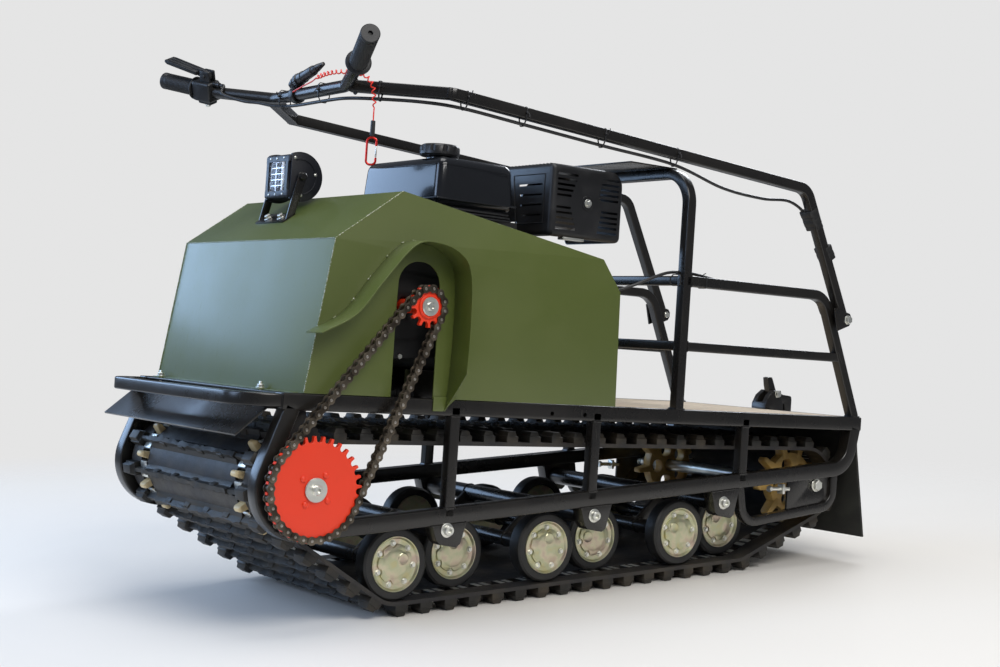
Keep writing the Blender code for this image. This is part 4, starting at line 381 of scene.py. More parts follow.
def plate(name, outlines, y0, y1, bevel=0.0):
    """A flat plate between two depths: closed outlines of (u, w), the later ones are holes."""
    obj = drawn_curve(name, outlines[0], True)
    curve = obj.data
    for outline in outlines[1:]:
        line = curve.splines.new("POLY")
        line.points.add(len(outline) - 1)
        for point, place in zip(line.points, outline):
            point.co = (*place, 0, 1)
    for line in curve.splines:
        line.use_cyclic_u = True
    curve.fill_mode = "BOTH"
    curve.extrude = abs(y1 - y0) / 2 - bevel
    curve.bevel_depth = bevel
    curve.bevel_resolution = 1
    curve.offset = -bevel
    obj.matrix_world = in_side((y0 + y1) / 2)
    return baked(obj)


def turns(count, start=0.0):
    """Angles evenly round a circle."""
    return [start + 2 * pi * k / count for k in range(count)]


def circle(u, w, radius, count=24, start=0.0, stop=2 * pi):
    """Points round a circle, or round an arc of it with both its ends."""
    whole = abs(stop - start - 2 * pi) < 1e-6
    span = count if whole else count - 1
    return [(u + radius * cos(start + (stop - start) * k / span),
             w + radius * sin(start + (stop - start) * k / span)) for k in range(count)]

# %% [markdown]
# A material is a small network of nodes. Written as plain node calls it is hard to read,
# so a Wire wraps one output socket and takes part in Python sums, and a Finish holds the
# network and makes any other node from its type, its settings and its inputs.

# %% Shader maths
class Wire:
    """An output socket that can be added, multiplied and compared in Python."""

    def __init__(self, finish, socket):
        self.finish = finish
        self.socket = socket

    def sum(self, operation, first, second):
        return self.finish.make("Math", {"operation": operation}, {0: first, 1: second})

    def __add__(self, other):
        return self.sum("ADD", self, other)

    __radd__ = __add__

    def __mul__(self, other):
        return self.sum("MULTIPLY", self, other)

    __rmul__ = __mul__

    def __sub__(self, other):
        return self.sum("SUBTRACT", self, other)

    def __rsub__(self, other):
        return self.sum("SUBTRACT", other, self)

    def __gt__(self, other):
        return self.sum("GREATER_THAN", self, other)

# %% [markdown]
# A Finish starts from Blender's standard shader and feeds it. Noise read in the object's
# own coordinates stays with the piece, and the ramp, mix and bump calls below are the few
# kinds of node that nearly every material here needs.

# %% Finishes
class Finish:
    """A material whose network is built a node at a time."""

    def __init__(self, name):
        self.material = bpy.data.materials.new(name)
        self.material.use_nodes = True
        self.tree = self.material.node_tree
        self.shader = self.tree.nodes["Principled BSDF"]
        self.place = self.make("TexCoord", {}, {}, "Object")

    def make(self, kind, settings, inputs, output=0):
        node = self.tree.nodes.new("ShaderNode" + kind)
        for name, value in settings.items():
            if name == "stops":
                ramp = node.color_ramp
                while len(ramp.elements) < len(value):
                    ramp.elements.new(0.5)
                for element, (at, colour) in zip(ramp.elements, value):
                    element.position = at
                    element.color = (*colour, 1.0)
            else:
                setattr(node, name, value)
        for name, value in inputs.items():
            self.feed(node.inputs[name], value)
        return Wire(self, node.outputs[output])

    def feed(self, socket, value):
        if isinstance(value, Wire):
            self.tree.links.new(value.socket, socket)
        elif isinstance(value, tuple) and len(value) == 3 and socket.type == "RGBA":
            socket.default_value = (*value, 1.0)
        else:
            socket.default_value = value

    def noise(self, scale, detail=2.0, stretch=(1, 1, 1), roughness=0.5):
        place = self.make("Mapping", {}, {"Vector": self.place, "Scale": stretch})
        return self.make("TexNoise", {}, {"Vector": place, "Scale": scale, "Detail": detail,
                                          "Roughness": roughness})

    def ramp(self, value, low, high):
        """0 below low, 1 above high, and even between."""
        return self.make("MapRange", {}, {"Value": value, "From Min": low, "From Max": high})

    def mix(self, share, first, second):
        return self.make("Mix", {"data_type": "RGBA"}, {0: share, 6: first, 7: second}, 2)

    def bump(self, height, strength, distance=0.001):
        return self.make("Bump", {}, {"Height": height, "Strength": strength, "Distance": distance})

    def set(self, **inputs):
        for name, value in inputs.items():
            self.feed(self.shader.inputs[name.replace("_", " ")], value)
        return self.material

# %% [markdown]
# The painted steel is powder coat: glossy, with a faint orange peel, a film of dust in
# soft patches and a few dull scuffs. One function makes every colour of it, because the
# frame, the cover and the sprockets differ only in colour and gloss.

# %% Powder coat
def powder_coat(name, colour, dusty, gloss, peel=0.10, dust=0.12, shine=0.25, film=0.12):
    coat = Finish(name)
    patches = coat.ramp(coat.noise(9.0, 5.0), 0.42, 0.75)
    scuffs = coat.ramp(coat.noise(140.0, 4.0, (1, 1, 0.25)), 0.62, 0.72)
    speckle = coat.noise(1500.0, 1.0)
    tint = coat.mix(patches * dust, colour, dusty)
    tint = coat.mix(scuffs * dust * 0.8, tint, dusty)
    return coat.set(Base_Color=tint, Roughness=gloss + patches * 0.10 + scuffs * 0.12, Coat_Weight=shine,
                    Coat_Roughness=film, Normal=coat.bump(speckle, peel, 0.0004))


BLACK_COAT = powder_coat("black_powder_coat", (0.0085, 0.0075, 0.0065), (0.040, 0.032, 0.024), 0.26)
OLIVE_COAT = powder_coat("olive_powder_coat", (0.074, 0.098, 0.014), (0.108, 0.130, 0.034), 0.48, 0.22,
                         0.30, 0.4, 0.25)
RED_COAT = powder_coat("red_powder_coat", (0.780, 0.036, 0.005), (0.560, 0.050, 0.015), 0.42, 0.16, 0.10)
HEAT_COAT = powder_coat("heat_paint", (0.012, 0.012, 0.013), (0.040, 0.038, 0.035), 0.40, 0.20)
print("with the powder coats", len(bpy.data.materials), "materials")

# %% [markdown]
# Plated metal comes in two kinds here. Bolts and clips are bright zinc. The wheel hubs are
# yellow zinc, whose thin film drifts from straw to green and rose, so its colour comes from
# a slow noise through a ramp. The chain is dark steel with oil and dust in it.

# %% Plated and bare metal
def zinc(name, stops, roughness):
    plating = Finish(name)
    drift = plating.noise(38.0, 2.0)
    tint = plating.make("ValToRGB", {"stops": stops}, {"Fac": drift})
    grain = plating.noise(420.0, 3.0)
    return plating.set(Base_Color=tint, Metallic=0.86, Roughness=roughness + grain * 0.08,
                       Normal=plating.bump(grain, 0.02, 0.0001))


BRIGHT_ZINC = zinc("bright_zinc", ((0.35, (0.70, 0.70, 0.65)), (0.65, (0.84, 0.84, 0.77))), 0.28)
YELLOW_ZINC = zinc("yellow_zinc", ((0.34, (0.58, 0.54, 0.31)), (0.46, (0.55, 0.56, 0.37)),
                                   (0.56, (0.66, 0.60, 0.43)), (0.68, (0.60, 0.48, 0.38))), 0.30)
CHAIN_STEEL = zinc("oiled_chain_steel", ((0.38, (0.060, 0.048, 0.036)), (0.60, (0.150, 0.125, 0.095))),
                   0.34)
PIN_STEEL = zinc("pin_steel", ((0.38, (0.300, 0.270, 0.230)), (0.60, (0.420, 0.390, 0.350))), 0.30)
print("with the metals", len(bpy.data.materials), "materials")

# %% [markdown]
# Rubber is nearly black, never shiny, and greyed by talc and dust. The track carries fine
# lengthwise ribs from its mould, so its belt gets a material of its own further down.
# Moulded plastic is finer grained, and the drive pegs are a paler polyurethane than the
# tan rear ones. The enamel, the red metal and the lamp's parts differ enough to be made
# one by one.

# %% Rubber and plastic
def moulded(name, colour, worn, roughness, grain=600.0, depth=0.15, wear=0.3, patch=22.0):
    skin = Finish(name)
    dust = skin.ramp(skin.noise(patch, 4.0), 0.45, 0.70)
    fine = skin.noise(grain, 2.0)
    return skin.set(Base_Color=skin.mix(dust * wear, colour, worn), Roughness=roughness + dust * 0.12,
                    Normal=skin.bump(fine, depth, 0.0006))


TRACK_RUBBER = moulded("track_rubber", (0.014, 0.013, 0.011), (0.085, 0.064, 0.038), 0.52, 340.0, 0.30,
                       0.55, 16.0)
TYRE_RUBBER = moulded("tyre_rubber", (0.013, 0.013, 0.013), (0.045, 0.042, 0.038), 0.48)
GRIP_RUBBER = moulded("grip_rubber", (0.016, 0.016, 0.017), (0.040, 0.040, 0.040), 0.50, 900.0)
FLAP_RUBBER = moulded("flap_rubber", (0.014, 0.014, 0.012), (0.040, 0.042, 0.030), 0.60, 300.0, 0.3)
BLACK_PLASTIC = moulded("black_plastic", (0.014, 0.014, 0.015), (0.040, 0.040, 0.042), 0.34, 1100.0, 0.12)
LAMP_PLASTIC = moulded("lamp_casting", (0.007, 0.008, 0.013), (0.016, 0.018, 0.026), 0.42, 800.0, 0.10)
POLYURETHANE = moulded("tan_polyurethane", (0.560, 0.360, 0.110), (0.330, 0.210, 0.080), 0.38, 260.0, 0.15,
                       0.5)
PEG_WHITE = moulded("pale_peg", (0.640, 0.500, 0.270), (0.450, 0.330, 0.170), 0.40, 260.0, 0.15, 0.4)
RED_PLASTIC = moulded("red_cord_plastic", (0.760, 0.030, 0.016), (0.600, 0.050, 0.030), 0.30)
# Painted shade: this plastic is darker than the other black plastic, for the belt case in the shade under
# the cover.
SHADE_PLASTIC = moulded("painted_shade_plastic", (0.0035, 0.0035, 0.0040), (0.010, 0.010, 0.010), 0.62, 700.0, 0.12)
# Painted shade: the engine casting is made near black instead of its grey alloy, for the shade under the
# cover.
SHADE_ALLOY = moulded("painted_shade_casting", (0.020, 0.020, 0.021), (0.050, 0.048, 0.045), 0.60, 500.0, 0.30)

gloss = Finish("tank_enamel")
TANK_ENAMEL = gloss.set(Base_Color=gloss.mix(gloss.noise(14.0, 3.0), (0.007, 0.008, 0.010),
                                             (0.014, 0.015, 0.018)), Roughness=0.12
                        + gloss.noise(30.0, 3.0) * 0.08, Coat_Weight=0.2, Coat_Roughness=0.04)
anodised = Finish("red_anodised")
RED_ALLOY = anodised.set(Base_Color=anodised.mix(anodised.noise(200.0), (0.62, 0.022, 0.018),
                                                 (0.74, 0.040, 0.028)), Metallic=0.75,
                         Roughness=0.26 + anodised.noise(600.0) * 0.1)
clear = Finish("clear_lens")
CLEAR_LENS = clear.set(Base_Color=(0.94, 0.96, 1.0), Roughness=0.03 + clear.noise(60.0) * 0.03,
                       Transmission_Weight=0.97, IOR=1.12)
mirror = Finish("reflector")
REFLECTOR = mirror.set(Base_Color=(0.86, 0.88, 0.90), Metallic=1.0,
                       Roughness=0.16 + mirror.noise(80.0) * 0.08)
chip = Finish("led_chip")
LED_CHIP = chip.set(Base_Color=chip.mix(chip.ramp(chip.noise(900.0), 0.4, 0.6), (0.80, 0.66, 0.20),
                                        (0.92, 0.84, 0.45)), Roughness=0.35)
print("with rubber, plastic and the rest", len(bpy.data.materials), "materials")

# %% [markdown]
# The deck boards are plywood. Its grain runs along the vehicle: a noise stretched along X
# bends a set of bands, and finer streaks and a few boot marks lie over them.

# %% Plywood
board = Finish("plywood")
waver = board.noise(3.0, 3.0, (0.35, 1, 1))
bands = board.make("TexWave", {"bands_direction": "Y"},
                   {"Vector": board.place, "Scale": 6.0, "Distortion": waver * 14.0, "Detail": 3.0})
streaks = board.noise(260.0, 3.0, (0.03, 1, 1))
marks = board.ramp(board.noise(14.0, 5.0), 0.52, 0.70)
wood = board.mix(bands * 0.6, (0.540, 0.440, 0.320), (0.430, 0.330, 0.225))
wood = board.mix(board.ramp(streaks, 0.35, 0.75) * 0.45, wood, (0.640, 0.560, 0.440))
wood = board.mix(marks * 0.35, wood, (0.190, 0.150, 0.110))
PLYWOOD = board.set(Base_Color=wood, Roughness=0.55 + streaks * 0.2,
                    Normal=board.bump(streaks, 0.2, 0.0006))
print("materials", len(bpy.data.materials))

# %% [markdown]
# A finished piece gets its material, smooth shading up to an angle and the body that it
# moves with, and the CAD nodes that it stands for are hidden. Pieces
# modelled in the chassis frame are turned into the world here, so that nobody else has to.

# %% Finishing a piece
made = []


def finished(obj, name, material, body, slot, *nodes, chassis=True, angle=35):
    obj.name = name
    obj.data.name = name
    if chassis:
        obj.data.transform(CHASSIS)
    obj.data.materials.clear()
    obj.data.materials.append(material)
    for polygon in obj.data.polygons:
        polygon.material_index = 0
    only(obj)
    bpy.ops.object.shade_smooth_by_angle(angle=radians(angle))
    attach(obj, body)
    if nodes:
        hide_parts(*nodes)
    made.append(name)
    return obj


def assembled(parts, name, *settings, **choices):
    """Join parts into one finished piece."""
    return finished(joined(name, parts), name, *settings, **choices)


def plated(parts, name, body="chassis", *nodes, **choices):
    """Join bolts and pins into one piece with bright zinc on it."""
    return assembled(parts, name, BRIGHT_ZINC, body, "bright_zinc", *nodes, **choices)


def report(title):
    print(title, len(made), "pieces so far")

# %% [markdown]
# The photograph was taken from the front left, a little above the track, with a medium
# telephoto lens. The camera's place, turn and focal length were worked out from pixels of
# pieces whose real places are known, so the render can be laid over the photograph.

# %% Camera
FOCAL = 58.5
CAMERA_PLACE = (1.8822, 2.5568, 0.5628)
CAMERA_YAW = radians(-125.97)
CAMERA_PITCH = radians(-1.681)
CAMERA_ROLL = radians(0.424)

scene = bpy.context.scene
scene.view_settings.view_transform = "Standard"
bpy.ops.object.camera_add(location=CAMERA_PLACE)
camera = bpy.context.object
look = Vector((cos(CAMERA_PITCH) * cos(CAMERA_YAW), cos(CAMERA_PITCH) * sin(CAMERA_YAW), sin(CAMERA_PITCH)))
aim = look.to_track_quat("-Z", "Y").to_matrix().to_4x4()
camera.matrix_world = Matrix.Translation(CAMERA_PLACE) @ aim @ Matrix.Rotation(CAMERA_ROLL, 4, "Z")
camera.data.lens = FOCAL
camera.data.sensor_width = 36
scene.camera = camera
print("camera looks along", [round(v, 3) for v in look])

# %% [markdown]
# The light is a plain studio: one big soft lamp over the left, a cooler one in front that
# gives the glossy paint its blue edges, one behind and one straight above. A cool panel on
# the right shows only in glossy metal. Gloss shows a lamp's shape, so all five are large.

# %% Lights
def area_light(name, place, target, size, power, colour):
    bpy.ops.object.light_add(type="AREA", location=place)
    lamp = bpy.context.object
    lamp.name = name
    lamp.rotation_euler = (Vector(target) - Vector(place)).to_track_quat("-Z", "Y").to_euler()
    lamp.data.shape = "RECTANGLE"
    lamp.data.size, lamp.data.size_y = size
    lamp.data.energy = power
    lamp.data.color = colour
    return lamp


area_light("key_light", (0.4, 3.4, 3.2), (0, 0, 0.4), (2.6, 1.8), 112, (1.0, 0.98, 0.95))
area_light("front_light", (4.2, -0.4, 2.3), (0.2, 0, 0.4), (1.6, 2.6), 78, (0.50, 0.68, 1.0))
area_light("back_light", (-3.4, -1.6, 2.8), (0, 0, 0.4), (1.6, 1.2), 58, (0.90, 0.94, 1.0))
area_light("top_light", (0.2, 0.2, 4.2), (0, 0, 0), (2.4, 2.4), 60, (1.0, 1.0, 1.0))
area_light("panel_light", (1.85, -2.75, 1.45), (0.55, 0, 0.6), (2.8, 1.5), 56, (0.45, 0.66, 1.0))
print("lights", len(bpy.data.lights))

# %% [markdown]
# The background is one plain light grey. The world shows that grey only to the camera and
# to light that has passed through the lens, and lights the rest more dimly, so that dark
# gloss stays dark. The floor fades out with distance, and keeps the machine's shadow.

# %% World and floor
BACKGROUND = 0.783

world = bpy.data.worlds.new("studio")
scene.world = world
world.use_nodes = True
nodes, links = world.node_tree.nodes, world.node_tree.links
rays = nodes.new("ShaderNodeLightPath")
shown = nodes.new("ShaderNodeMath")
shown.operation = "MAXIMUM"
links.new(rays.outputs["Is Camera Ray"], shown.inputs[0])
links.new(rays.outputs["Is Transmission Ray"], shown.inputs[1])
gloss_share = nodes.new("ShaderNodeMix")
gloss_share.data_type = "RGBA"
gloss_share.inputs[6].default_value = (0.37, 0.38, 0.40, 1)
gloss_share.inputs[7].default_value = (0.13, 0.14, 0.16, 1)
links.new(rays.outputs["Is Glossy Ray"], gloss_share.inputs[0])
choice = nodes.new("ShaderNodeMix")
choice.data_type = "RGBA"
choice.inputs[7].default_value = (BACKGROUND, BACKGROUND, BACKGROUND, 1)
links.new(shown.outputs[0], choice.inputs[0])
links.new(gloss_share.outputs[2], choice.inputs[6])
links.new(choice.outputs[2], nodes["Background"].inputs["Color"])

bpy.ops.mesh.primitive_plane_add(size=12, location=(0, 0, -0.0005))
floor = bpy.context.object
floor.name = "floor"
ground = Finish("floor")
away = ground.make("VectorMath", {"operation": "LENGTH"}, {0: ground.place}, "Value")
clear_share = ground.ramp(away, 1.0, 2.6)
see_through = ground.make("BsdfTransparent", {}, {})
mixed = ground.make("MixShader", {}, {"Fac": clear_share, 1: Wire(ground, ground.shader.outputs[0]),
                                      2: see_through})
ground.tree.links.new(mixed.socket, ground.tree.nodes["Material Output"].inputs["Surface"])
floor.data.materials.append(ground.set(Base_Color=(0.72, 0.695, 0.655), Roughness=0.9))
floor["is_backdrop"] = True
print("stage ready")

# %% [markdown]
# ## The chassis
# The frame is welded from square tube. Each tube follows the same centre line as in the
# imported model, with its corners rounded as drawn tube has them. Tubes simply run into each
# other, and a rippled bead of weld covers the joint, as a welder would leave it. Surfaces
# that rest on each other are kept a third of a millimetre apart, so that they never flicker.

# %% Frame sizes
HALF = 0.279
GAP = 0.0003
RAIL = 0.028
RAIL_Y = HALF - RAIL / 2
DECK_LENGTH = 1.315
RAIL_REACH = 0.036
DECK_REAR = -DECK_LENGTH
PLYWOOD_THICKNESS = 0.009
REAR_POST_U = 0.330 - DECK_LENGTH
CROSS_RAILS = (-0.320, -0.650, REAR_POST_U, 0.045 - DECK_LENGTH)
POST_PLACES = (-0.297, -0.609, REAR_POST_U)
DRIVE_U, DRIVE_W = -0.019, -0.152
REAR_AXLE_U, REAR_AXLE_W = -1.2038, -0.142
ROOT_THREE = 3 ** 0.5
THIN_TUBE = 0.018
ENGINE_STANDS = (-0.075, 0.105)
CORNERS = ((-1, -1), (1, -1), (1, 1), (-1, 1), (-1, -1))


def along(a, b, share):
    return Vector(a).lerp(Vector(b), share)


def weld_bead(name, points, radius=0.0022):
    """A bead of weld: a thin curve whose thickness ripples along its way."""
    places = []
    for a, b in zip(points, points[1:]):
        count = max(2, round((Vector(b) - Vector(a)).length / 0.0035))
        places.extend(along(a, b, k / count) for k in range(count))
    places.append(Vector(points[-1]))
    obj = drawn_curve(name, places, False)
    for k, point in enumerate(obj.data.splines[0].points):
        point.radius = 1.0 if k % 2 else 0.72
    obj.data.bevel_depth = radius
    obj.data.bevel_resolution = 2
    obj.data.use_fill_caps = True
    return baked(obj)


def hex_bolt(name, place, way, size, head, washer=0.0, washer_thick=0.0015):
    """A hexagon head with a chamfered top, over a washer; way points out of the surface."""
    way = Vector(way).normalized()
    flat = size / ROOT_THREE
    parts = [turned(name, [(0, flat), (head * 0.82, flat), (head, flat * 0.86)], Vector(place), way, 6)]
    if washer:
        ring = [(-washer_thick * 0.2, washer * 0.92), (washer_thick * 0.5, washer),
                (washer_thick, washer * 0.94)]
        parts.append(turned(name + "_washer", ring, Vector(place), way, 28))
        parts[0].data.transform(Matrix.Translation(way * washer_thick))
    return joined(name, parts)


def socket_bolt(name, place, way, radius, head, washer=0.0):
    """A cap screw with a hexagon socket in its head, over a washer."""
    way = Vector(way).normalized()
    rise = 0.0015 if washer else 0.0
    ring = [(0, radius), (head - radius * 0.15, radius), (head, radius * 0.88)]
    body = turned(name, ring, Vector(place) + way * rise, way, 24)
    socket = turned(name + "_socket", [(head * 0.5, radius * 0.52), (head * 1.3, radius * 0.52)],
                    Vector(place) + way * rise, way, 6)
    cut(body, socket)
    parts = [body]
    if washer:
        parts.append(turned(name + "_washer", [(-0.0004, washer * 0.96), (0.0011, washer),
                                               (0.0015, washer * 0.95)], Vector(place), way, 28))
    return joined(name, parts)

# %% [markdown]
# The deck frame is two rails, two end rails and four cross rails, with a round-cornered
# bumper in front, a thin lip behind it and two stands for the engine.

# %% Deck frame
tubes = []
for y in (RAIL_Y, -RAIL_Y):
    tubes.append(square_tube("rail", [(DECK_REAR, -RAIL / 2), (RAIL_REACH, -RAIL / 2)], RAIL, in_side(y),
                             0.003))
for u in (-RAIL / 2, DECK_REAR + RAIL / 2):
    tubes.append(square_tube("end_rail", [(-RAIL_Y, -RAIL / 2), (RAIL_Y, -RAIL / 2)], RAIL - 0.0004,
                             in_cross(u), 0.003))
for u in CROSS_RAILS:
    tubes.append(block("cross_rail", (u - 0.015, -RAIL_Y, -RAIL + 0.001),
                       (u + 0.015, RAIL_Y, -PLYWOOD_THICKNESS - GAP), 0.0015))
BUMPER_TUBE = 0.022
bumper_y = HALF - BUMPER_TUBE / 2 - 0.004
bumper = [(RAIL_REACH - 0.010, bumper_y), (0.100, bumper_y), (0.100, -bumper_y),
          (RAIL_REACH - 0.010, -bumper_y)]
tubes.append(square_tube("bumper", bent(bumper, 0.060, radians(6)), BUMPER_TUBE, in_floor(-0.013), 0.003))
tubes.append(block("lip", (-0.006, -HALF + RAIL, -0.0045), (RAIL_REACH, HALF - RAIL, -0.001), 0.0008))
for y in ENGINE_STANDS:
    tubes.append(block("engine_stand", (-0.650, y - 0.018, -0.024), (-0.310, y + 0.018, 0.0449), 0.003))
rail_holes = [rod("rail_hole", (u, HALF - 0.012, -0.017), (u, HALF + 0.01, -0.017), 0.004, 20)
              for u in (-0.504, -0.579)]
cut(tubes[0], *rail_holes)
for side in (1, -1):
    y = side * HALF
    square = BUMPER_TUBE / 2
    corner = [(RAIL_REACH, side * bumper_y + a * square, -0.013 + b * square) for a, b in CORNERS]
    tubes.append(weld_bead("bumper_weld", corner, 0.0018))
    for u in CROSS_RAILS:
        tubes.append(weld_bead("rail_weld", [(u - 0.015, side * (HALF - RAIL), -RAIL),
                                             (u + 0.015, side * (HALF - RAIL), -RAIL)]))
    tubes.append(weld_bead("front_weld", [(-RAIL, side * (HALF - RAIL), -0.0005),
                                          (-0.002, side * (HALF - RAIL), -0.0005)], 0.0015))
assembled(tubes, "deck_frame_tubes", BLACK_COAT, "chassis", "black_paint", "deck_frame")
report("deck frame")

# %% [markdown]
# Each side frame is one long bent skid with posts, a bearing plate for the drive axle at
# the front, a loop under the rear idler and a slotted plate that lets the rear axle slide.
# Three hangers hold the bogies. The left and the right are made by one function.

# %% Side frames
SKID_RISE = 0.0935
FRONT_BEND = 0.072
REAR_BEND = 0.055
POST_TUBE = 0.020
ADJUSTER_W = -0.150
WHEEL_RADIUS = 0.063


def skid_middle(u):
    return -0.212 - SKID_RISE * u - RAIL / 2


lean = radians(20)
tangent = Vector((-0.008 + FRONT_BEND * cos(lean), DRIVE_W - 0.002 + FRONT_BEND * sin(lean)))
run = (tangent.y - skid_middle(tangent.x)) / (cos(lean) - SKID_RISE * sin(lean))
skid_front = (tangent.x + run * sin(lean), tangent.y - run * cos(lean))
rise = -RAIL / 2 - tangent.y
skid_end = DECK_REAR + 0.031
skid_rear = (skid_end, skid_middle(skid_end))


def upper_skid():
    """The skid's line with its own radius at each end, cut off under the deck."""
    under = -RAIL / 2 - 0.010
    first = bent([(tangent.x - rise * tan(lean), under), skid_front, skid_rear], FRONT_BEND, radians(6))
    last = bent([skid_front, skid_rear, (DECK_REAR + 0.014, under)], REAR_BEND, radians(8))
    return first[:-1] + last[1:]


bogie_axes = [TO_CHASSIS @ Vector(joints["bogie_" + name + "_rock"]["pos_m"])
              for name in ("front", "middle", "rear")]
for side, name in ((1, "left"), (-1, "right")):
    y = side * RAIL_Y
    parts = [square_tube("skid", upper_skid(), RAIL, in_side(y), 0.003)]
    post_y = side * (HALF - 0.010)
    for u in POST_PLACES:
        parts.append(square_tube("post", [(u, skid_middle(u)), (u, -RAIL / 2)], POST_TUBE, in_side(post_y),
                                 0.0025))
        for edge in (-0.010, 0.010):
            for w in (skid_middle(u) + RAIL / 2 - SKID_RISE * edge, -RAIL):
                parts.append(weld_bead("post_weld",
                                       [(u + edge, post_y - 0.009, w), (u + edge, post_y + 0.009, w)]))
        parts.append(weld_bead("post_weld", [(u - 0.010, side * HALF, -RAIL - 0.0005),
                                             (u + 0.010, side * HALF, -RAIL - 0.0005)], 0.0016))
        low_w = skid_middle(u) + RAIL / 2
        parts.append(weld_bead("post_weld", [(u - 0.010, side * HALF, low_w + 0.0009),
                                             (u + 0.010, side * HALF, low_w - 0.0009)], 0.0016))
    plate_y = side * (HALF - 0.017)
    web = [(0.018, -0.0283), (-0.012, -0.0283), (-0.014, -0.039), (-0.038, -0.064), (-0.055, -0.090),
           (-0.055, skid_middle(-0.055)), (0.0, skid_middle(0.0)), (0.058, -0.190), (0.062, -0.130)]
    parts.append(plate("bearing_web", [web], plate_y, plate_y + side * 0.006, 0.0006))
    bearing = [(0, 0.024), (0, 0.031), (0.007, 0.031), (0.013, 0.027), (0.0166, 0.0265), (0.0166, 0.024)]
    parts.append(turned("bearing", bearing, (DRIVE_U, plate_y + side * 0.003, DRIVE_W), (0, side, 0), 40,
                        ring=True))
    loop_front = REAR_POST_U - 0.016
    loop_rear = 0.064 - DECK_LENGTH
    loop = bent([(REAR_POST_U, skid_middle(REAR_POST_U)), (loop_front, skid_middle(loop_front) - 0.086),
                 (loop_rear, REAR_AXLE_W - 0.041), (loop_rear, skid_middle(loop_rear))], 0.035, radians(9))
    parts.append(square_tube("rear_loop", loop, THIN_TUBE, in_side(y), 0.0025))
    slot_y = side * (RAIL_Y - 0.0025)
    slot = circle(REAR_AXLE_U + 0.0125, REAR_AXLE_W, 0.0075, 9, -pi / 2, pi / 2) \
        + circle(REAR_AXLE_U - 0.0125, REAR_AXLE_W, 0.0075, 9, pi / 2, 3 * pi / 2)
    outline = [(-1.123, -0.118), (-1.246, -0.108), (-1.246, -0.188), (-1.123, -0.195)]
    parts.append(plate("slot_plate", [outline, slot[::-1]], slot_y, slot_y + side * 0.005, 0.0006))
    for pivot in bogie_axes:
        u, w = pivot.x, pivot.z
        top = skid_middle(u)
        hanger_y = side * (HALF - 0.0275)
        hanger = [(u - 0.044, top), (u + 0.036, top), (u + 0.020, w - 0.018), (u + 0.012, w - 0.025),
                  (u - 0.022, w - 0.030), (u - 0.030, w - 0.024)]
        parts.append(plate("hanger", [hanger], hanger_y, hanger_y + side * 0.027, 0.0015))
        low = skid_middle(u) - RAIL / 2
        for far, inset in ((-0.044, 0.004), (0.036, -0.004)):
            place = (u + far + inset, low - SKID_RISE * far)
            bead = [(place[0], side * reach, place[1]) for reach in (HALF - 0.0005, HALF - 0.026)]
            parts.append(weld_bead("hanger_weld", bead))
        parts.append(weld_bead("hanger_weld", [(u - 0.040, side * (HALF - GAP), low + 0.0037),
                                               (u + 0.033, side * (HALF - GAP), low - 0.0031)], 0.0016))
    assembled(parts, "side_frame_tubes_" + name, BLACK_COAT, "chassis", "black_paint", "side_frame_" + name)
    bolts = []
    for pivot in bogie_axes:
        bolts.append(socket_bolt("pivot_bolt", (pivot.x, side * (HALF - GAP), pivot.z), (0, side, 0),
                                 0.0088, 0.0085, 0.0125))
        bolts.append(rod("pivot_shank", (pivot.x, side * (HALF - 0.048), pivot.z),
                         (pivot.x, side * (HALF - 0.001), pivot.z), 0.0069, 20))
    adjuster = rod("adjuster", (-1.072, y, ADJUSTER_W), (-1.128, y, ADJUSTER_W), 0.0042, 20)
    bolts.extend([adjuster, hex_bolt("adjuster_head", (-1.077, y, ADJUSTER_W), (1, 0, 0), 0.012, 0.006),
                  hex_bolt("adjuster_nut", (-1.1105, y, ADJUSTER_W), (-1, 0, 0), 0.012, 0.006),
                  block("adjuster_lug", (-1.110, y - 0.008, -0.160), (-1.104, y + 0.008, -0.140), 0.001)])
    for k in range(4):
        angle = radians(45 + 90 * k)
        place = (DRIVE_U + 0.0275 * cos(angle), side * (HALF - 0.0040), DRIVE_W + 0.0275 * sin(angle))
        bolts.append(rod("bearing_rivet", place, (place[0], place[1] + side * 0.002, place[2]), 0.0026, 12))
    plated(bolts, "side_frame_bolts_" + name)
report("side frames")

# %% [markdown]
# The deck is a few plywood boards screwed to the cross rails. In front a folded plate turns
# snow away from the track, and at the rear a rubber flap hangs from a bolted strip.

# %% Deck boards, deflector and flap
COVER_REAR_U = -0.649
deck_front = COVER_REAR_U - 0.006
deck_back = DECK_REAR + RAIL + GAP
deck_half = HALF - RAIL - GAP
boards = []
BOARDS = 4
for k in range(BOARDS):
    y0 = -deck_half + 2 * deck_half * k / BOARDS + (0.0008 if k else 0)
    y1 = -deck_half + 2 * deck_half * (k + 1) / BOARDS - (0.0008 if k < BOARDS - 1 else 0)
    boards.append(block("board", (deck_back, y0, -PLYWOOD_THICKNESS), (deck_front, y1, 0.0), 0.0008))
assembled(boards, "deck_boards", PLYWOOD, "chassis", "plywood", "cargo_deck")
screws = []
for u in (REAR_POST_U, DECK_REAR + 0.045, -0.668):
    for k in range(BOARDS):
        for inset in (0.030, -0.030):
            y = -deck_half + 2 * deck_half * (k + 0.5) / BOARDS + inset
            screws.append(turned("deck_screw", [(-0.0025, 0.0038), (0.0001, 0.0040), (0.0001, 0.0022),
                                                (-0.0012, 0.0012)], (u, y, 0), (0, 0, 1), 14))
plated(screws, "deck_screws")

deflector = [(0.0365, -0.0243), (0.0365, -0.0273), (0.054, -0.0273), (0.107, -0.0715), (0.109, -0.0692),
             (0.0553, -0.0243)]
folded = plate("snow_deflector_plate", [deflector], -HALF + 0.018, HALF - 0.018, 0.0005)
finished(folded, "snow_deflector_plate", BLACK_COAT, "chassis", "black_paint", "snow_deflector")

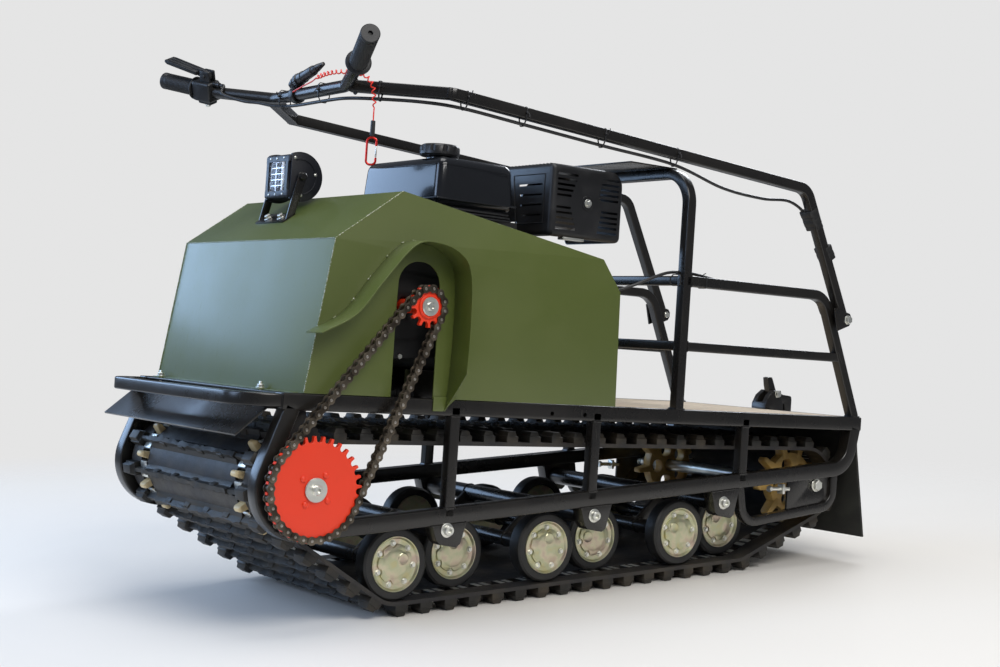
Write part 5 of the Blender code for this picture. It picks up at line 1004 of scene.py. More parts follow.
flap_u = DECK_REAR - GAP
FLAP_LOW = -0.247
FLAP_DROP = 0.219
FLAP_HALF = 0.262
FLAP_LEAN = 0.078
FLAP_FLARE = 0.0878
flap = block("flap", (flap_u - 0.005, -FLAP_HALF, FLAP_LOW), (flap_u, FLAP_HALF, -0.008))
open_mesh(flap)
for share in (0.2, 0.4, 0.6, 0.8):
    bpy.ops.mesh.select_all(action="SELECT")
    bpy.ops.mesh.bisect(plane_co=(0, 0, FLAP_LOW + FLAP_DROP * share), plane_no=(0, 0, 1))
close_mesh()
for w in sorted({round(v.co.z, 4) for v in flap.data.vertices}):
    depth = max(0.0, -RAIL - w)
    open_mesh(flap, "VERT")
    bpy.ops.mesh.select_all(action="DESELECT")
    mesh = bmesh.from_edit_mesh(flap.data)
    for vertex in mesh.verts:
        vertex.select_set(abs(vertex.co.z - w) < 0.0006)
    bmesh.update_edit_mesh(flap.data)
    bpy.ops.transform.translate(value=(-depth * FLAP_LEAN, 0, 0))
    bpy.ops.transform.resize(value=(1, 1 + FLAP_FLARE * depth / FLAP_DROP, 1), center_override=(0, 0, w))
    close_mesh()
soften(flap, 0.0010, 2, 50)
finished(flap, "flap_sheet", FLAP_RUBBER, "chassis", "black_rubber", "mud_flap", angle=50)
strip = block("flap_strip", (flap_u - 0.0068, -0.250, -0.024), (flap_u - 0.0048, 0.250, -0.010), 0.0006)
finished(strip, "flap_strip", BLACK_COAT, "chassis", "black_paint")
flap_bolts = [hex_bolt("flap_bolt", (flap_u - 0.0068, y, -0.017), (-1, 0, 0), 0.008, 0.004, 0.006)
              for y in (-0.22, -0.11, 0.11, 0.22)]
plated(flap_bolts, "flap_bolts")
report("deck and flap")

# %% [markdown]
# The rack is one hoop over the deck with a long side rail each side that bends down into
# the rear post, a lower rail, and cross bars. Lugs on the rear posts carry the tiller.

# %% Cargo rack
RACK_TUBE = 0.020
HOOP_U, HOOP_TOP = -0.812, 0.450
RACK_LOWER, RACK_UPPER = 0.120, 0.244
REAR_FOOT = 0.014 - DECK_LENGTH
post_lean = tan(radians(24))
PIVOT_U, PIVOT_W = 0.074 - DECK_LENGTH, 0.198
TILLER_Y = RAIL_Y + 0.011
hoop = bent([(RAIL_Y, GAP), (RAIL_Y, HOOP_TOP), (-RAIL_Y, HOOP_TOP), (-RAIL_Y, GAP)], 0.062, radians(7))
rack = [square_tube("hoop", hoop, RACK_TUBE, in_cross(HOOP_U))]
for w in (RACK_UPPER, RACK_LOWER):
    rack.append(square_tube("crossbar", [(-RAIL_Y, w), (RAIL_Y, w)], THIN_TUBE, in_cross(HOOP_U)))
rack.append(block("shelf", (HOOP_U - 0.008, -0.216, HOOP_TOP + 0.009),
                  (HOOP_U + 0.110, 0.216, HOOP_TOP + 0.012), 0.0010))
lug_u = REAR_FOOT + post_lean * PIVOT_W
for side in (1, -1):
    y = side * RAIL_Y
    post = bent([(REAR_FOOT, GAP), (REAR_FOOT + post_lean * RACK_UPPER, RACK_UPPER), (HOOP_U, RACK_UPPER)],
                0.050, radians(7))
    rack.append(square_tube("side_rail", post, RACK_TUBE, in_side(y)))
    low_end = REAR_FOOT + post_lean * RACK_LOWER
    rack.append(square_tube("low_rail", [(low_end, RACK_LOWER), (HOOP_U, RACK_LOWER)], THIN_TUBE,
                            in_side(y)))
    for w, size in ((RACK_UPPER, 0.010), (RACK_LOWER, 0.009)):
        for edge in (-1, 1):
            u = HOOP_U - 0.0103
            rack.append(weld_bead("rack_weld", [(u, y - 0.009, w + edge * size),
                                                (u, y + 0.009, w + edge * size)], 0.0018))
        rack.append(weld_bead("rack_weld", [(HOOP_U - 0.0103, y + side * 0.0095, w - size),
                                            (HOOP_U - 0.0103, y + side * 0.0095, w + size)], 0.0016))
    rack.append(weld_bead("rack_weld", [(low_end - 0.001, y + side * 0.0098, RACK_LOWER - 0.010),
                                        (low_end + 0.010, y + side * 0.0098, RACK_LOWER + 0.010)], 0.0016))
    for u in (HOOP_U, REAR_FOOT):
        ring = [(u + a * 0.0105, y + b * 0.0105, 0.0012) for a, b in CORNERS]
        rack.append(weld_bead("foot_weld", ring, 0.0018))
    lug = [(lug_u + 0.010, PIVOT_W + 0.022), (lug_u - 0.002, PIVOT_W - 0.024),
           (PIVOT_U - 0.006, PIVOT_W - 0.012), (PIVOT_U - 0.011, PIVOT_W - 0.004),
           (PIVOT_U - 0.011, PIVOT_W + 0.006), (PIVOT_U - 0.006, PIVOT_W + 0.013)]
    for reach in (0.01335, -0.01335):
        middle = side * (TILLER_Y + reach)
        rack.append(plate("tiller_lug", [lug], middle - 0.00215, middle + 0.00215, 0.0005))
assembled(rack, "rack_tubes", BLACK_COAT, "chassis", "black_paint", "cargo_rack")
rack_bolts = []
for side in (1, -1):
    rack_bolts.append(hex_bolt("tiller_bolt", (PIVOT_U, side * (TILLER_Y + 0.0155), PIVOT_W), (0, side, 0),
                               0.014, 0.0055, 0.0095))
    rack_bolts.append(rod("tiller_shank", (PIVOT_U, side * (TILLER_Y - 0.0165), PIVOT_W),
                          (PIVOT_U, side * (TILLER_Y + 0.0160), PIVOT_W), 0.0039, 20))
    rack_bolts.append(hex_bolt("tiller_nut", (PIVOT_U, side * (TILLER_Y - 0.0155), PIVOT_W), (0, -side, 0),
                               0.0125, 0.0035))
plated(rack_bolts, "tiller_bolts")
report("rack")

# %% [markdown]
# ## Sheet metal
# The engine cover is folded sheet, 2 mm thick. It starts as a solid with the cover's side
# outline, its edges are rounded, and then the hollow and the slot for the chain are cut
# out. Pale specks run along the welded edges: partly bare metal worn through the paint, partly painted
# highlight where the folds catch the light.

# %% Engine cover
SHEET = 0.002
FRONT_RUN, FRONT_TOP = 0.040, 0.254
PEAK_U, PEAK_W = -0.162, 0.342
TAIL_U, TAIL_W = -0.600, 0.266
KNEE_U, KNEE_W = -0.644, 0.209

# Pale metallic flecks for the folded edges and the tacks: worn bare metal, and painted highlight along the
# folds.
worn = Finish("olive_edge_wear_and_highlight")
wear_and_highlight_flecks = worn.ramp(worn.noise(420.0, 3.0), 0.50, 0.58)
EDGE_WEAR_AND_HIGHLIGHT = worn.set(Base_Color=worn.mix(wear_and_highlight_flecks, (0.110, 0.140, 0.038), (0.46, 0.46, 0.40)),
                     Metallic=wear_and_highlight_flecks * 0.5, Roughness=0.42)

outline = [(0, GAP), (-FRONT_RUN, FRONT_TOP), (PEAK_U, PEAK_W), (TAIL_U, TAIL_W), (KNEE_U, KNEE_W),
           (COVER_REAR_U, GAP)]
front_way = Vector((-FRONT_RUN, FRONT_TOP)).normalized()
front_out = Vector((front_way.y, -front_way.x))
slope = Vector((PEAK_U + FRONT_RUN, PEAK_W - FRONT_TOP)).normalized()
slope_out = Vector((slope.y, -slope.x))
cover = plate("cover", [bent(outline, 0.005, radians(15))], -HALF, HALF)
soften(cover, 0.0022, 3, 50)
inner_front = -front_out * SHEET
inner_corner = inner_front + front_way * (Vector(outline[1]).length - 0.0006)
hollow = [tuple(inner_front - front_way * 0.02), tuple(inner_corner), tuple(inner_corner + slope * 0.2),
          (-0.8, (inner_corner + slope * 0.2).y), (-0.8, -0.02)]
arch = [(-0.163, -0.02), (-0.163, 0.150), (-0.165, 0.228), (-0.246, 0.228), (-0.247, 0.150),
        (-0.247, -0.02)]
arch = bent(arch, 0.039, radians(9))
cut(cover, plate("hollow", [hollow], -HALF + SHEET, HALF - SHEET),
    plate("chain_slot", [arch], HALF - 0.01, HALF + 0.01))
finished(cover, "cover_sheet", OLIVE_COAT, "chassis", "olive_paint", "engine_cover", angle=40)

# Thin beads along the folds carry the pale flecks: part wear, part painted highlight.
edges = []
for side in (1, -1):
    y = side * (HALF - 0.0007)
    front_foot = (0.0002, y, 0.002)
    top = (-FRONT_RUN + 0.0004, y, FRONT_TOP - 0.001)
    edges.append(weld_bead("edge", [front_foot, top, (PEAK_U, y, PEAK_W - 0.0006)], 0.0011))
edges.append(weld_bead("edge", [(-FRONT_RUN + 0.0002, -HALF, FRONT_TOP - 0.0008),
                                (-FRONT_RUN + 0.0002, HALF, FRONT_TOP - 0.0008)], 0.0007))
assembled(edges, "cover_edges", EDGE_WEAR_AND_HIGHLIGHT, "chassis", "olive_paint", angle=60)

STUD_PLACES = (-0.245, 0.149)
tabs = [block("cover_flange", (-0.002, -0.262, -0.0009), (0.0125, 0.262, 0.0006), 0.0004)]
for y in STUD_PLACES:
    tabs.append(block("stud_tab", (-0.001, y - 0.014, -0.0009), (0.020, y + 0.014, 0.0012), 0.0006))
assembled(tabs, "cover_flange", OLIVE_COAT, "chassis", "olive_paint")
studs = []
for y in STUD_PLACES:
    studs.append(hex_bolt("stud_nut", (0.010, y, 0.0014), (0, 0, 1), 0.010, 0.005, 0.008))
    studs.append(rod("stud", (0.010, y, -0.008), (0.010, y, 0.0125), 0.0029, 20, 0.0005))
plated(studs, "cover_studs")
report("cover")

# %% [markdown]
# The chain hood is a band bent round the slot and welded edge-on to the cover. Its line is
# a smooth curve through a few places, given thickness and then width.

# %% Chain hood
HOOD_REACH = 0.052


def smoothed(points, count):
    """Catmull-Rom points through a list of places, evenly counted in each span."""
    points = [Vector(p) for p in points]
    padded = [points[0] * 2 - points[1]] + points + [points[-1] * 2 - points[-2]]
    path = []
    for a, b, c, d in zip(padded, padded[1:], padded[2:], padded[3:]):
        for k in range(count):
            t = k / count
            path.append(0.5 * ((b * 2) + (c - a) * t + (a * 2 - b * 5 + c * 4 - d) * t * t
                               + (b * 3 - a - c * 3 + d) * t * t * t))
    path.append(points[-1])
    return path


def band(path, thickness):
    """An outline of even thickness along an open flat path."""
    left_edge, right_edge = [], []
    for k, point in enumerate(path):
        before = path[max(0, k - 1)]
        after = path[min(len(path) - 1, k + 1)]
        way = (after - before).normalized()
        offset = Vector((-way.y, way.x)) * thickness / 2
        left_edge.append(tuple(point + offset))
        right_edge.append(tuple(point - offset))
    return left_edge + right_edge[::-1]


hood_line = [(0.004, 0.098), (-0.058, 0.132), (-0.108, 0.193), (-0.159, 0.250), (-0.199, 0.260),
             (-0.247, 0.248), (-0.273, 0.218), (-0.280, 0.147), (-0.278, 0.040), (-0.272, -0.0205)]
hood_path = smoothed(hood_line, 5)
hood = plate("hood", [band(hood_path, SHEET)], HALF + GAP, HALF + HOOD_REACH, 0.0004)
slice_across(hood, (0, HALF + HOOD_REACH, 0.046), (0, 0.79, -0.61), use_fill=True, clear_outer=True)
tab = [(-0.2475, 0.004), (-0.2475, -0.0205), (-0.2680, -0.0205), (-0.2960, 0.004)]
hood = joined("hood", [hood, plate("hood_tab", [tab], HALF + GAP, HALF + 0.0021, 0.0004)])
finished(hood, "hood_band", OLIVE_COAT, "chassis", "olive_paint", "chain_hood", angle=40)
# The hood's tacks take the same pale flecks, part wear and part painted highlight.
tacks = []
hood_chance = Random(3)
for k in range(4, len(hood_path) - 3, 3):
    here = hood_path[k]
    way = (hood_path[k + 1] - here).normalized()
    inside = Vector((way.y, -way.x)) * 0.0016
    reach = hood_chance.uniform(0.002, 0.006)
    places = [here + inside + way * step for step in (-reach, reach)]
    tacks.append(weld_bead("tack", [(p.x, HALF + 0.0010, p.y) for p in places],
                           hood_chance.uniform(0.0010, 0.0019)))
assembled(tacks, "hood_tacks", EDGE_WEAR_AND_HIGHLIGHT, "chassis", "olive_paint", angle=60)
report("cover and hood")

# %% [markdown]
# ## The track
# The belt's middle line runs round the drive sprockets, the rear idlers and the road
# wheels. Those circles come from the joints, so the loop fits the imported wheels. A Loop
# object gives the point and the heading at any distance along it.

# %% Loop of the track
TRACK_PITCH = 0.0505
TRACK_WIDTH = 0.485
BELT = 0.007
LUG_HEIGHT = 0.0195
TOOTH_ROW = 0.186
WINDOW_WIDTH = 0.030
TRACK_PHASE = 0.0101
BELT_RADIUS = 9 * TRACK_PITCH / (2 * pi)
UNDER_WHEEL = WHEEL_RADIUS + GAP + BELT / 2


class Loop:
    """A belt's middle line round circles (x, z, radius), walked with the inside on its left."""

    def __init__(self, circles):
        headings = []
        for (x0, z0, r0), (x1, z1, r1) in zip(circles, circles[1:] + circles[:1]):
            headings.append(atan2(z1 - z0, x1 - x0) + asin((r0 - r1) / hypot(x1 - x0, z1 - z0)))
        self.pieces = []
        self.length = 0.0
        for k, (x, z, r) in enumerate(circles):
            into, out = headings[k - 1], headings[k]
            turn = (out - into) % (2 * pi)
            self.pieces.append((self.length, r * turn, x, z, r, into))
            self.length += r * turn
            x1, z1, r1 = circles[(k + 1) % len(circles)]
            start = (x + r * sin(out), z - r * cos(out))
            end = (x1 + r1 * sin(out), z1 - r1 * cos(out))
            run = hypot(end[0] - start[0], end[1] - start[1])
            self.pieces.append((self.length, run, start[0], start[1], 0.0, out))
            self.length += run

    def at(self, distance):
        distance %= self.length
        for start, run, x, z, r, heading in self.pieces:
            if distance <= start + run + 1e-9:
                step = distance - start
                if r > 0:
                    angle = heading + step / r
                    return x + r * sin(angle), z - r * cos(angle), angle
                return x + step * cos(heading), z + step * sin(heading), heading

    def frame(self, distance, y=0.0):
        """A matrix whose X runs along the belt and whose Z points out of the loop."""
        x, z, a = self.at(distance)
        return Matrix(((cos(a), 0, sin(a), x), (0, -1, 0, y), (sin(a), 0, -cos(a), z), (0, 0, 0, 1)))

    def on_arc(self, number, marks):
        """The first of the marks on the numbered arc, as an angle about its centre."""
        start, run, x, z, r, heading = self.pieces[2 * number]
        for mark in marks:
            if start <= mark % self.length <= start + run:
                px, pz, _ = self.at(mark)
                return atan2(pz - z, px - x)


drive = Vector(joints["drive_spin"]["pos_m"])
idle = Vector(joints["idler_spin"]["pos_m"])
wheel_axes = {name[:-5]: Vector(joint["pos_m"]) for name, joint in joints.items()
              if name.startswith("wheel_")}
first_wheel = wheel_axes["wheel_1_left"]
last_wheel = wheel_axes["wheel_6_left"]
track_loop = Loop([(drive.x, drive.z, BELT_RADIUS), (idle.x, idle.z, BELT_RADIUS),
                   (last_wheel.x, last_wheel.z, UNDER_WHEEL), (first_wheel.x, first_wheel.z, UNDER_WHEEL)])
TRACK_LINKS = round(track_loop.length / TRACK_PITCH)
print("track", round(track_loop.length, 4), "m,", TRACK_LINKS, "links")

# %% [markdown]
# The belt is modelled flat, one pitch at a time: a slab with two windows, cut across into
# strips so that it can bend, and open at both ends so that copies merge. An Array makes
# the whole length, and a Curve modifier wraps it round the loop. The wrapping is done lying
# flat, so that up is never along the line, and the belt is stood up afterwards.

# %% Belt
BELT_STRIPS = 8
SEAT = 0.0102
link = block("belt_link", (0, -TRACK_WIDTH / 2, -BELT / 2), (TRACK_PITCH, TRACK_WIDTH / 2, BELT / 2))
for side in (1, -1):
    y = side * TOOTH_ROW
    window = block("window", (TRACK_PITCH / 2 - SEAT, y - WINDOW_WIDTH / 2, -0.02),
                   (TRACK_PITCH / 2 + SEAT, y + WINDOW_WIDTH / 2, 0.02))
    pick_edges(window, lambda start, end: abs(start.z - end.z) > 0.01)
    bpy.ops.mesh.bevel(offset=0.004, segments=3, affect="EDGES")
    close_mesh()
    cut(link, window)
for k in range(1, BELT_STRIPS):
    slice_across(link, (TRACK_PITCH * k / BELT_STRIPS, 0, 0), (1, 0, 0))


def at_an_end(centre, normal):
    """True for a face that closes the flat link where the next one joins it."""
    return abs(normal.x) > 0.9 and abs(centre.x - TRACK_PITCH / 2) > TRACK_PITCH / 2 - 0.0001


pick_faces(link, at_an_end)
bpy.ops.mesh.delete(type="FACE")
close_mesh()
modify(link, "ARRAY", count=TRACK_LINKS, use_relative_offset=False, use_constant_offset=True,
       constant_offset_displace=(TRACK_PITCH, 0, 0), use_merge_vertices=True, merge_threshold=0.00002)
stretch = track_loop.length / (TRACK_LINKS * TRACK_PITCH)
link.data.transform(Matrix.Diagonal((stretch, 1, 1, 1)))
link.data.transform(Matrix.Rotation(-pi / 2, 4, "X"))
LINE_POINTS = 1200
line = drawn_curve("track_line", [(0, 0, 0)] * LINE_POINTS, False)
for k, point in enumerate(line.data.splines[0].points):
    x, z, _ = track_loop.at(TRACK_PHASE + track_loop.length * k / LINE_POINTS)
    point.co = (x, z, 0, 1)
line.data.splines[0].use_cyclic_u = True
line.data.twist_mode = "Z_UP"
modify(link, "CURVE", object=line, deform_axis="POS_X")
bpy.data.objects.remove(line, do_unlink=True)
link.data.transform(Matrix.Rotation(pi / 2, 4, "X"))
print("belt box", [round(v, 3) for v in link.bound_box[0]], [round(v, 3) for v in link.bound_box[6]])
cleaned(link, 0.0002)

ribbed = Finish("ribbed_belt_rubber")
across_belt = ribbed.make("SeparateXYZ", {}, {"Vector": ribbed.place}, 1)
ribs = ribbed.make("Math", {"operation": "PINGPONG"}, {0: across_belt, 1: 0.0016}) * 600.0
mottled = ribbed.ramp(ribbed.noise(16.0, 5.0), 0.40, 0.72)
streaked = ribbed.noise(60.0, 4.0)
BELT_RUBBER = ribbed.set(Base_Color=ribbed.mix(mottled * 0.6, (0.016, 0.015, 0.016), (0.070, 0.058, 0.040)),
                         Roughness=0.40 + streaked * 0.25,
                         Normal=ribbed.bump(ribs + streaked * 0.4, 0.35, 0.0008))
finished(link, "track_belt", BELT_RUBBER, "chassis", "black_rubber", "track", chassis=False, angle=30)
print("belt faces", len(link.data.polygons))

# %% [markdown]
# Lugs are stiff, so they are placed whole at each pitch. One lug is a thin ridge that
# flares into the belt, with a ragged worn top, chunky blocks at its ends and thin rubber
# hairs left by the mould. Three differing lugs are enough to hide the repeat.

# %% Ridges
def ridge(name, y0, y1, steps, cells, ragged, seed):
    """A long low ridge built up in steps of (height, half thickness), with a ragged top."""
    half = steps[0][1]
    bpy.ops.mesh.primitive_grid_add(x_subdivisions=1, y_subdivisions=cells, size=1,
                                    location=(0, (y0 + y1) / 2, steps[0][0]))
    bpy.context.object.scale = (half * 2, y1 - y0, 1)
    obj = settled(bpy.context.object, name)
    open_mesh(obj)
    bpy.ops.mesh.select_all(action="SELECT")
    for before, after in zip(steps, steps[1:]):
        bpy.ops.mesh.extrude_region_move(TRANSFORM_OT_translate={"value": (0, 0, after[0] - before[0])})
        bpy.ops.transform.resize(value=(after[1] / before[1], 1, 1), center_override=(0, 0, after[0]))
    if ragged:
        bpy.ops.transform.vertex_random(offset=ragged, uniform=0.0, normal=0.0, seed=seed)
    bpy.ops.mesh.select_all(action="SELECT")
    bpy.ops.mesh.normals_make_consistent(inside=False)
    close_mesh()
    return obj

# %% [markdown]
# One lug is built from its parts: the ridge with knobs on it, thinner webs over the
# windows, chunky feet outside them, and the hairs. Its seed sets how its top is worn.

# %% One lug
ON_BELT = BELT / 2
RIDGE_STEPS = [(ON_BELT - 0.0015, 0.0120), (ON_BELT + 0.002, 0.0098), (ON_BELT + 0.006, 0.0052),
               (ON_BELT + 0.0155, 0.0040)]
KNOB_PLACES = (-0.112, -0.038, 0.038, 0.112)
HAIRS = 9
LUG_KINDS = 3
THIN_STEPS = [(ON_BELT - 0.0015, 0.0042), (ON_BELT + 0.008, 0.0036), (ON_BELT + 0.0125, 0.0030)]


def lug(seed):
    chance = Random(seed)
    inner_edge = TOOTH_ROW - WINDOW_WIDTH / 2 - 0.004
    outer_edge = TOOTH_ROW + WINDOW_WIDTH / 2 + 0.004
    parts = [ridge("lug_ridge", -inner_edge, inner_edge, RIDGE_STEPS, 34, 0.0028, seed)]
    for side in (1, -1):
        low, high = sorted((side * inner_edge, side * outer_edge))
        parts.append(ridge("lug_web", low, high, THIN_STEPS, 4, 0.0012, seed + 1))
        low, high = sorted((side * outer_edge, side * (TRACK_WIDTH / 2 - 0.0002)))
        foot = block("lug_foot", (-0.0125, low, ON_BELT - 0.0015), (0.0125, high, ON_BELT + 0.011))
        pick_faces(foot, lambda centre, normal: normal.z > 0.9)
        bpy.ops.mesh.inset(thickness=0.0018)
        bpy.ops.mesh.extrude_region_move(TRANSFORM_OT_translate={"value": (0, 0, LUG_HEIGHT - 0.0112)})
        bpy.ops.transform.resize(value=(0.72, 0.92, 1))
        close_mesh()
        parts.append(soften(foot, 0.0012, 2, 50))
    for y in KNOB_PLACES:
        knob = block("lug_knob", (-0.0085, y - 0.011, ON_BELT), (0.0085, y + 0.011, ON_BELT + 0.013))
        pick_faces(knob, lambda centre, normal: normal.z > 0.9)
        bpy.ops.transform.resize(value=(0.70, 0.85, 1))
        close_mesh()
        parts.append(soften(knob, 0.0012, 2, 50))
    for k in range(HAIRS):
        start = Vector((chance.uniform(-0.003, 0.003), chance.uniform(-0.235, 0.235),
                        ON_BELT + chance.uniform(0.010, 0.0150)))
        way = Vector((chance.choice((-1, 1)) * chance.uniform(0.5, 1.0), chance.uniform(-0.5, 0.5),
                      chance.uniform(-0.15, 0.25)))
        end = start + way.normalized() * chance.uniform(0.006, 0.015)
        end.z = min(end.z, ON_BELT + LUG_HEIGHT - 0.001)
        parts.append(rod("hair", start, end, 0.00055, 4, end_radius=0.00025))
    return joined("lug", parts)

# %% [markdown]
# The lugs go on at every pitch, and each window gets steel clips on its front and back
# edges. Half a clip is modelled, and its copy is turned round to face the other edge.

# %% Lugs and clips
lugs = []
for kind in range(LUG_KINDS):
    places = [track_loop.frame(TRACK_PHASE + k * TRACK_PITCH * stretch)
              for k in range(kind, TRACK_LINKS, LUG_KINDS)]
    lugs.extend(repeated(lug(11 + kind), places))
assembled(lugs, "track_lugs", TRACK_RUBBER, "chassis", "black_rubber", chassis=False, angle=30)

CLIP_HALF = 0.0125
clip = block("clip", (0.0038, -CLIP_HALF, ON_BELT - 0.0002), (0.0138, CLIP_HALF, ON_BELT + 0.0011), 0.0004)
inner = block("clip_inside", (0.0038, -CLIP_HALF, -ON_BELT - 0.00025),
              (0.0138, CLIP_HALF, -ON_BELT + 0.0006))
leg = block("clip_leg", (0.0133, -CLIP_HALF, -ON_BELT), (0.0144, CLIP_HALF, ON_BELT + 0.0006), 0.0003)
half_clip = joined("half_clip", [clip, inner, leg])
clip_places = []
for k in range(TRACK_LINKS):
    for y in (TOOTH_ROW, -TOOTH_ROW):
        place = track_loop.frame(TRACK_PHASE + k * TRACK_PITCH * stretch, y)
        clip_places.extend([place, place @ Matrix.Rotation(pi, 4, "Z")])
clips = joined("track_clips", repeated(half_clip, clip_places))
finished(clips, "track_clips", BRIGHT_ZINC, "chassis", "black_rubber", chassis=False)
report("track")

# %% [markdown]
# ## Wheels in the track
# The drive sprockets and the rear idlers are cast polyurethane with nine rounded pegs each,
# which stand through the track's windows. A peg is a tapered block, softened and copied
# round; the disc behind it is a flat outline with large holes.

# %% Sprockets and idlers
PEGS = 9
PEG_TIP = BELT_RADIUS + BELT / 2 + 0.0138
ROW_HALF = 0.012
windows = [TRACK_PHASE + (k + 0.5) * TRACK_PITCH * stretch for k in range(TRACK_LINKS)]


def peg():
    obj = block("peg", (0.050, -ROW_HALF, -0.0080), (PEG_TIP - 0.004, ROW_HALF, 0.0080))
    pick_faces(obj, lambda centre, normal: normal.x > 0.9)
    bpy.ops.transform.resize(value=(1, 0.92, 0.66))
    bpy.ops.mesh.extrude_region_move(TRANSFORM_OT_translate={"value": (0.004, 0, 0)})
    bpy.ops.transform.resize(value=(1, 0.72, 0.62))
    close_mesh()
    return soften(obj, 0.0016, 2, 25)


def pegged_wheel(name, centre, side, phase, holes, hole_place, hole_radius):
    rings = [circle(0, 0, 0.0600, 90), circle(0, 0, 0.0135, 32)[::-1]]
    for angle in turns(holes):
        rings.append(circle(hole_place * cos(angle), hole_place * sin(angle), hole_radius, 24)[::-1])
    disc = plate("disc", rings, -ROW_HALF + 0.001, ROW_HALF - 0.001, 0.001)
    parts = [disc]
    parts.extend(repeated(peg(),
                          [Matrix.Rotation(-phase - 2 * pi * k / PEGS, 4, "Y") for k in range(PEGS)]))
    obj = joined(name, parts)
    obj.data.transform(Matrix.Translation(centre + Y_AXIS * side * TOOTH_ROW))
    return obj


drive_phase = track_loop.on_arc(0, windows)
idler_phase = track_loop.on_arc(1, windows)
for side, name in ((1, "left"), (-1, "right")):
    cog = pegged_wheel("drive_cog_" + name, drive, side, drive_phase, 6, 0.036, 0.010)
    finished(cog, "drive_cog_" + name, PEG_WHITE, "drive", "polyurethane", "drive_sprocket_" + name,
             chassis=False)
    cog = pegged_wheel("idler_cog_" + name, idle, side, idler_phase, 5, 0.0365, 0.0145)
    finished(cog, "idler_cog_" + name, POLYURETHANE, "idlers", "polyurethane", "idler_" + name,
             chassis=False)
report("sprockets and idlers")

# %% [markdown]
# Each pair of wheels sits on a bright steel shaft, with collars against the wheels. The
# front one carries the chain wheel outside the frame, and the rear one slides in slots.

# %% Shafts
def axle_parts(name, centre, reach, radius):
    parts = [rod(name, centre - Y_AXIS * reach[0], centre + Y_AXIS * reach[1], radius, 40, 0.0008)]
    for side in (1, -1):
        near = side * (TOOTH_ROW + ROW_HALF + 0.001)
        ring = [(0, radius + 0.006), (0.010, radius + 0.006), (0.012, radius + 0.004)]
        parts.append(turned("collar", ring, centre + Y_AXIS * near, (0, side, 0), 36))
    return parts


AXLE_RADIUS = 0.0125
CHAIN_PLANE = HALF + 0.0197
hub_y = CHAIN_PLANE + 0.0043
axle = axle_parts("drive_shaft", Vector((drive.x, 0, drive.z)), (HALF + 0.004, hub_y + 0.001), AXLE_RADIUS)
washer = [(0, 0.0195), (0.0018, 0.0200), (0.0030, 0.0192)]
axle.append(turned("cap_washer", washer, (drive.x, hub_y + 0.0010, drive.z), (0, 1, 0), 44))
axle.append(socket_bolt("cap_bolt", (drive.x, hub_y + 0.0040, drive.z), (0, 1, 0), 0.0082, 0.0078))
plated(axle, "drive_shaft", "drive", "drive_axle", chassis=False)
slot_face = RAIL_Y
rear_shaft = axle_parts("rear_shaft", Vector((idle.x, 0, idle.z)), (slot_face - 0.004, slot_face - 0.004),
                        AXLE_RADIUS)
for side in (1, -1):
    way = (0, side, 0)
    rear_shaft.append(rod("rear_stud", (idle.x, side * (slot_face - 0.006), idle.z),
                          (idle.x, side * (slot_face + 0.006), idle.z), 0.0066, 24))
    rear_shaft.append(hex_bolt("rear_nut", (idle.x, side * (slot_face + 0.0033), idle.z), way, 0.0190,
                               0.0070, 0.0135))
plated(rear_shaft, "rear_shaft", "rear_axle", "rear_axle", chassis=False)
report("shafts")

# %% [markdown]
# ## The chain drive
# Both chain wheels take their tooth form from the chain: a valley is an arc a little wider
# than a roller, centred on the pitch circle, and the tips are cut off between them.

# %% Chain wheels
CHAIN_PITCH = 0.015875
CHAIN_LINKS = 68
ROLLER = 0.0051
jack = Vector(joints["jackshaft_spin"]["pos_m"])
DRIVEN_TEETH, SMALL_TEETH = 32, 12
driven_radius = DRIVEN_TEETH * CHAIN_PITCH / (2 * pi)
small_radius = SMALL_TEETH * CHAIN_PITCH / (2 * pi)
chain_loop = Loop([(jack.x, jack.z, small_radius), (drive.x, drive.z, driven_radius)])
chain_stretch = chain_loop.length / (CHAIN_LINKS * CHAIN_PITCH)
pins = [k * CHAIN_PITCH * chain_stretch for k in range(CHAIN_LINKS)]


def tooth_outline(teeth, phase):
    """Valleys round the rollers and cut-off tips between them, about the origin."""
    radius = teeth * CHAIN_PITCH / (2 * pi)
    points = []
    for angle in turns(teeth, phase):
        ray = Vector((cos(angle), sin(angle)))
        side = Vector((-ray.y, ray.x))
        for degrees in (-62, -38, -14, 14, 38, 62):
            a = radians(degrees)
            point = ray * (radius - ROLLER * 1.06 * cos(a)) + side * ROLLER * 1.06 * sin(a)
            points.append(tuple(point))
        for share in (0.37, 0.63):
            tip = angle + 2 * pi * share / teeth
            points.append(((radius + 0.0050) * cos(tip), (radius + 0.0050) * sin(tip)))
    return points


def chain_wheel(name, teeth, centre, phase, bore):
    rings = [tooth_outline(teeth, phase)]
    if bore:
        rings.append(circle(0, 0, bore, 32)[::-1])
    obj = plate(name, rings, -0.0040, 0.0040, 0.0007)
    obj.data.transform(Matrix.Translation((centre.x, CHAIN_PLANE, centre.z)))
    return obj


big = [chain_wheel("big_wheel", DRIVEN_TEETH, drive, chain_loop.on_arc(1, pins), 0.0133)]
big.append(turned("big_hub", [(0, 0.0133), (0, 0.024), (0.0146, 0.024), (0.0146, 0.0133)],
                  (drive.x, HALF + 0.0035, drive.z), (0, 1, 0), 44, ring=True))
for k in range(4):
    angle = radians(40 + 90 * k)
    place = (drive.x + 0.0290 * cos(angle), CHAIN_PLANE + 0.0038, drive.z + 0.0290 * sin(angle))
    big.append(turned("rivet", [(0, 0.0056), (0.0014, 0.0054), (0.0026, 0.0044), (0.0034, 0.0026)], place,
                      (0, 1, 0), 18))
assembled(big, "big_wheel", RED_COAT, "drive", "orange_paint", "driven_sprocket", chassis=False, angle=20)

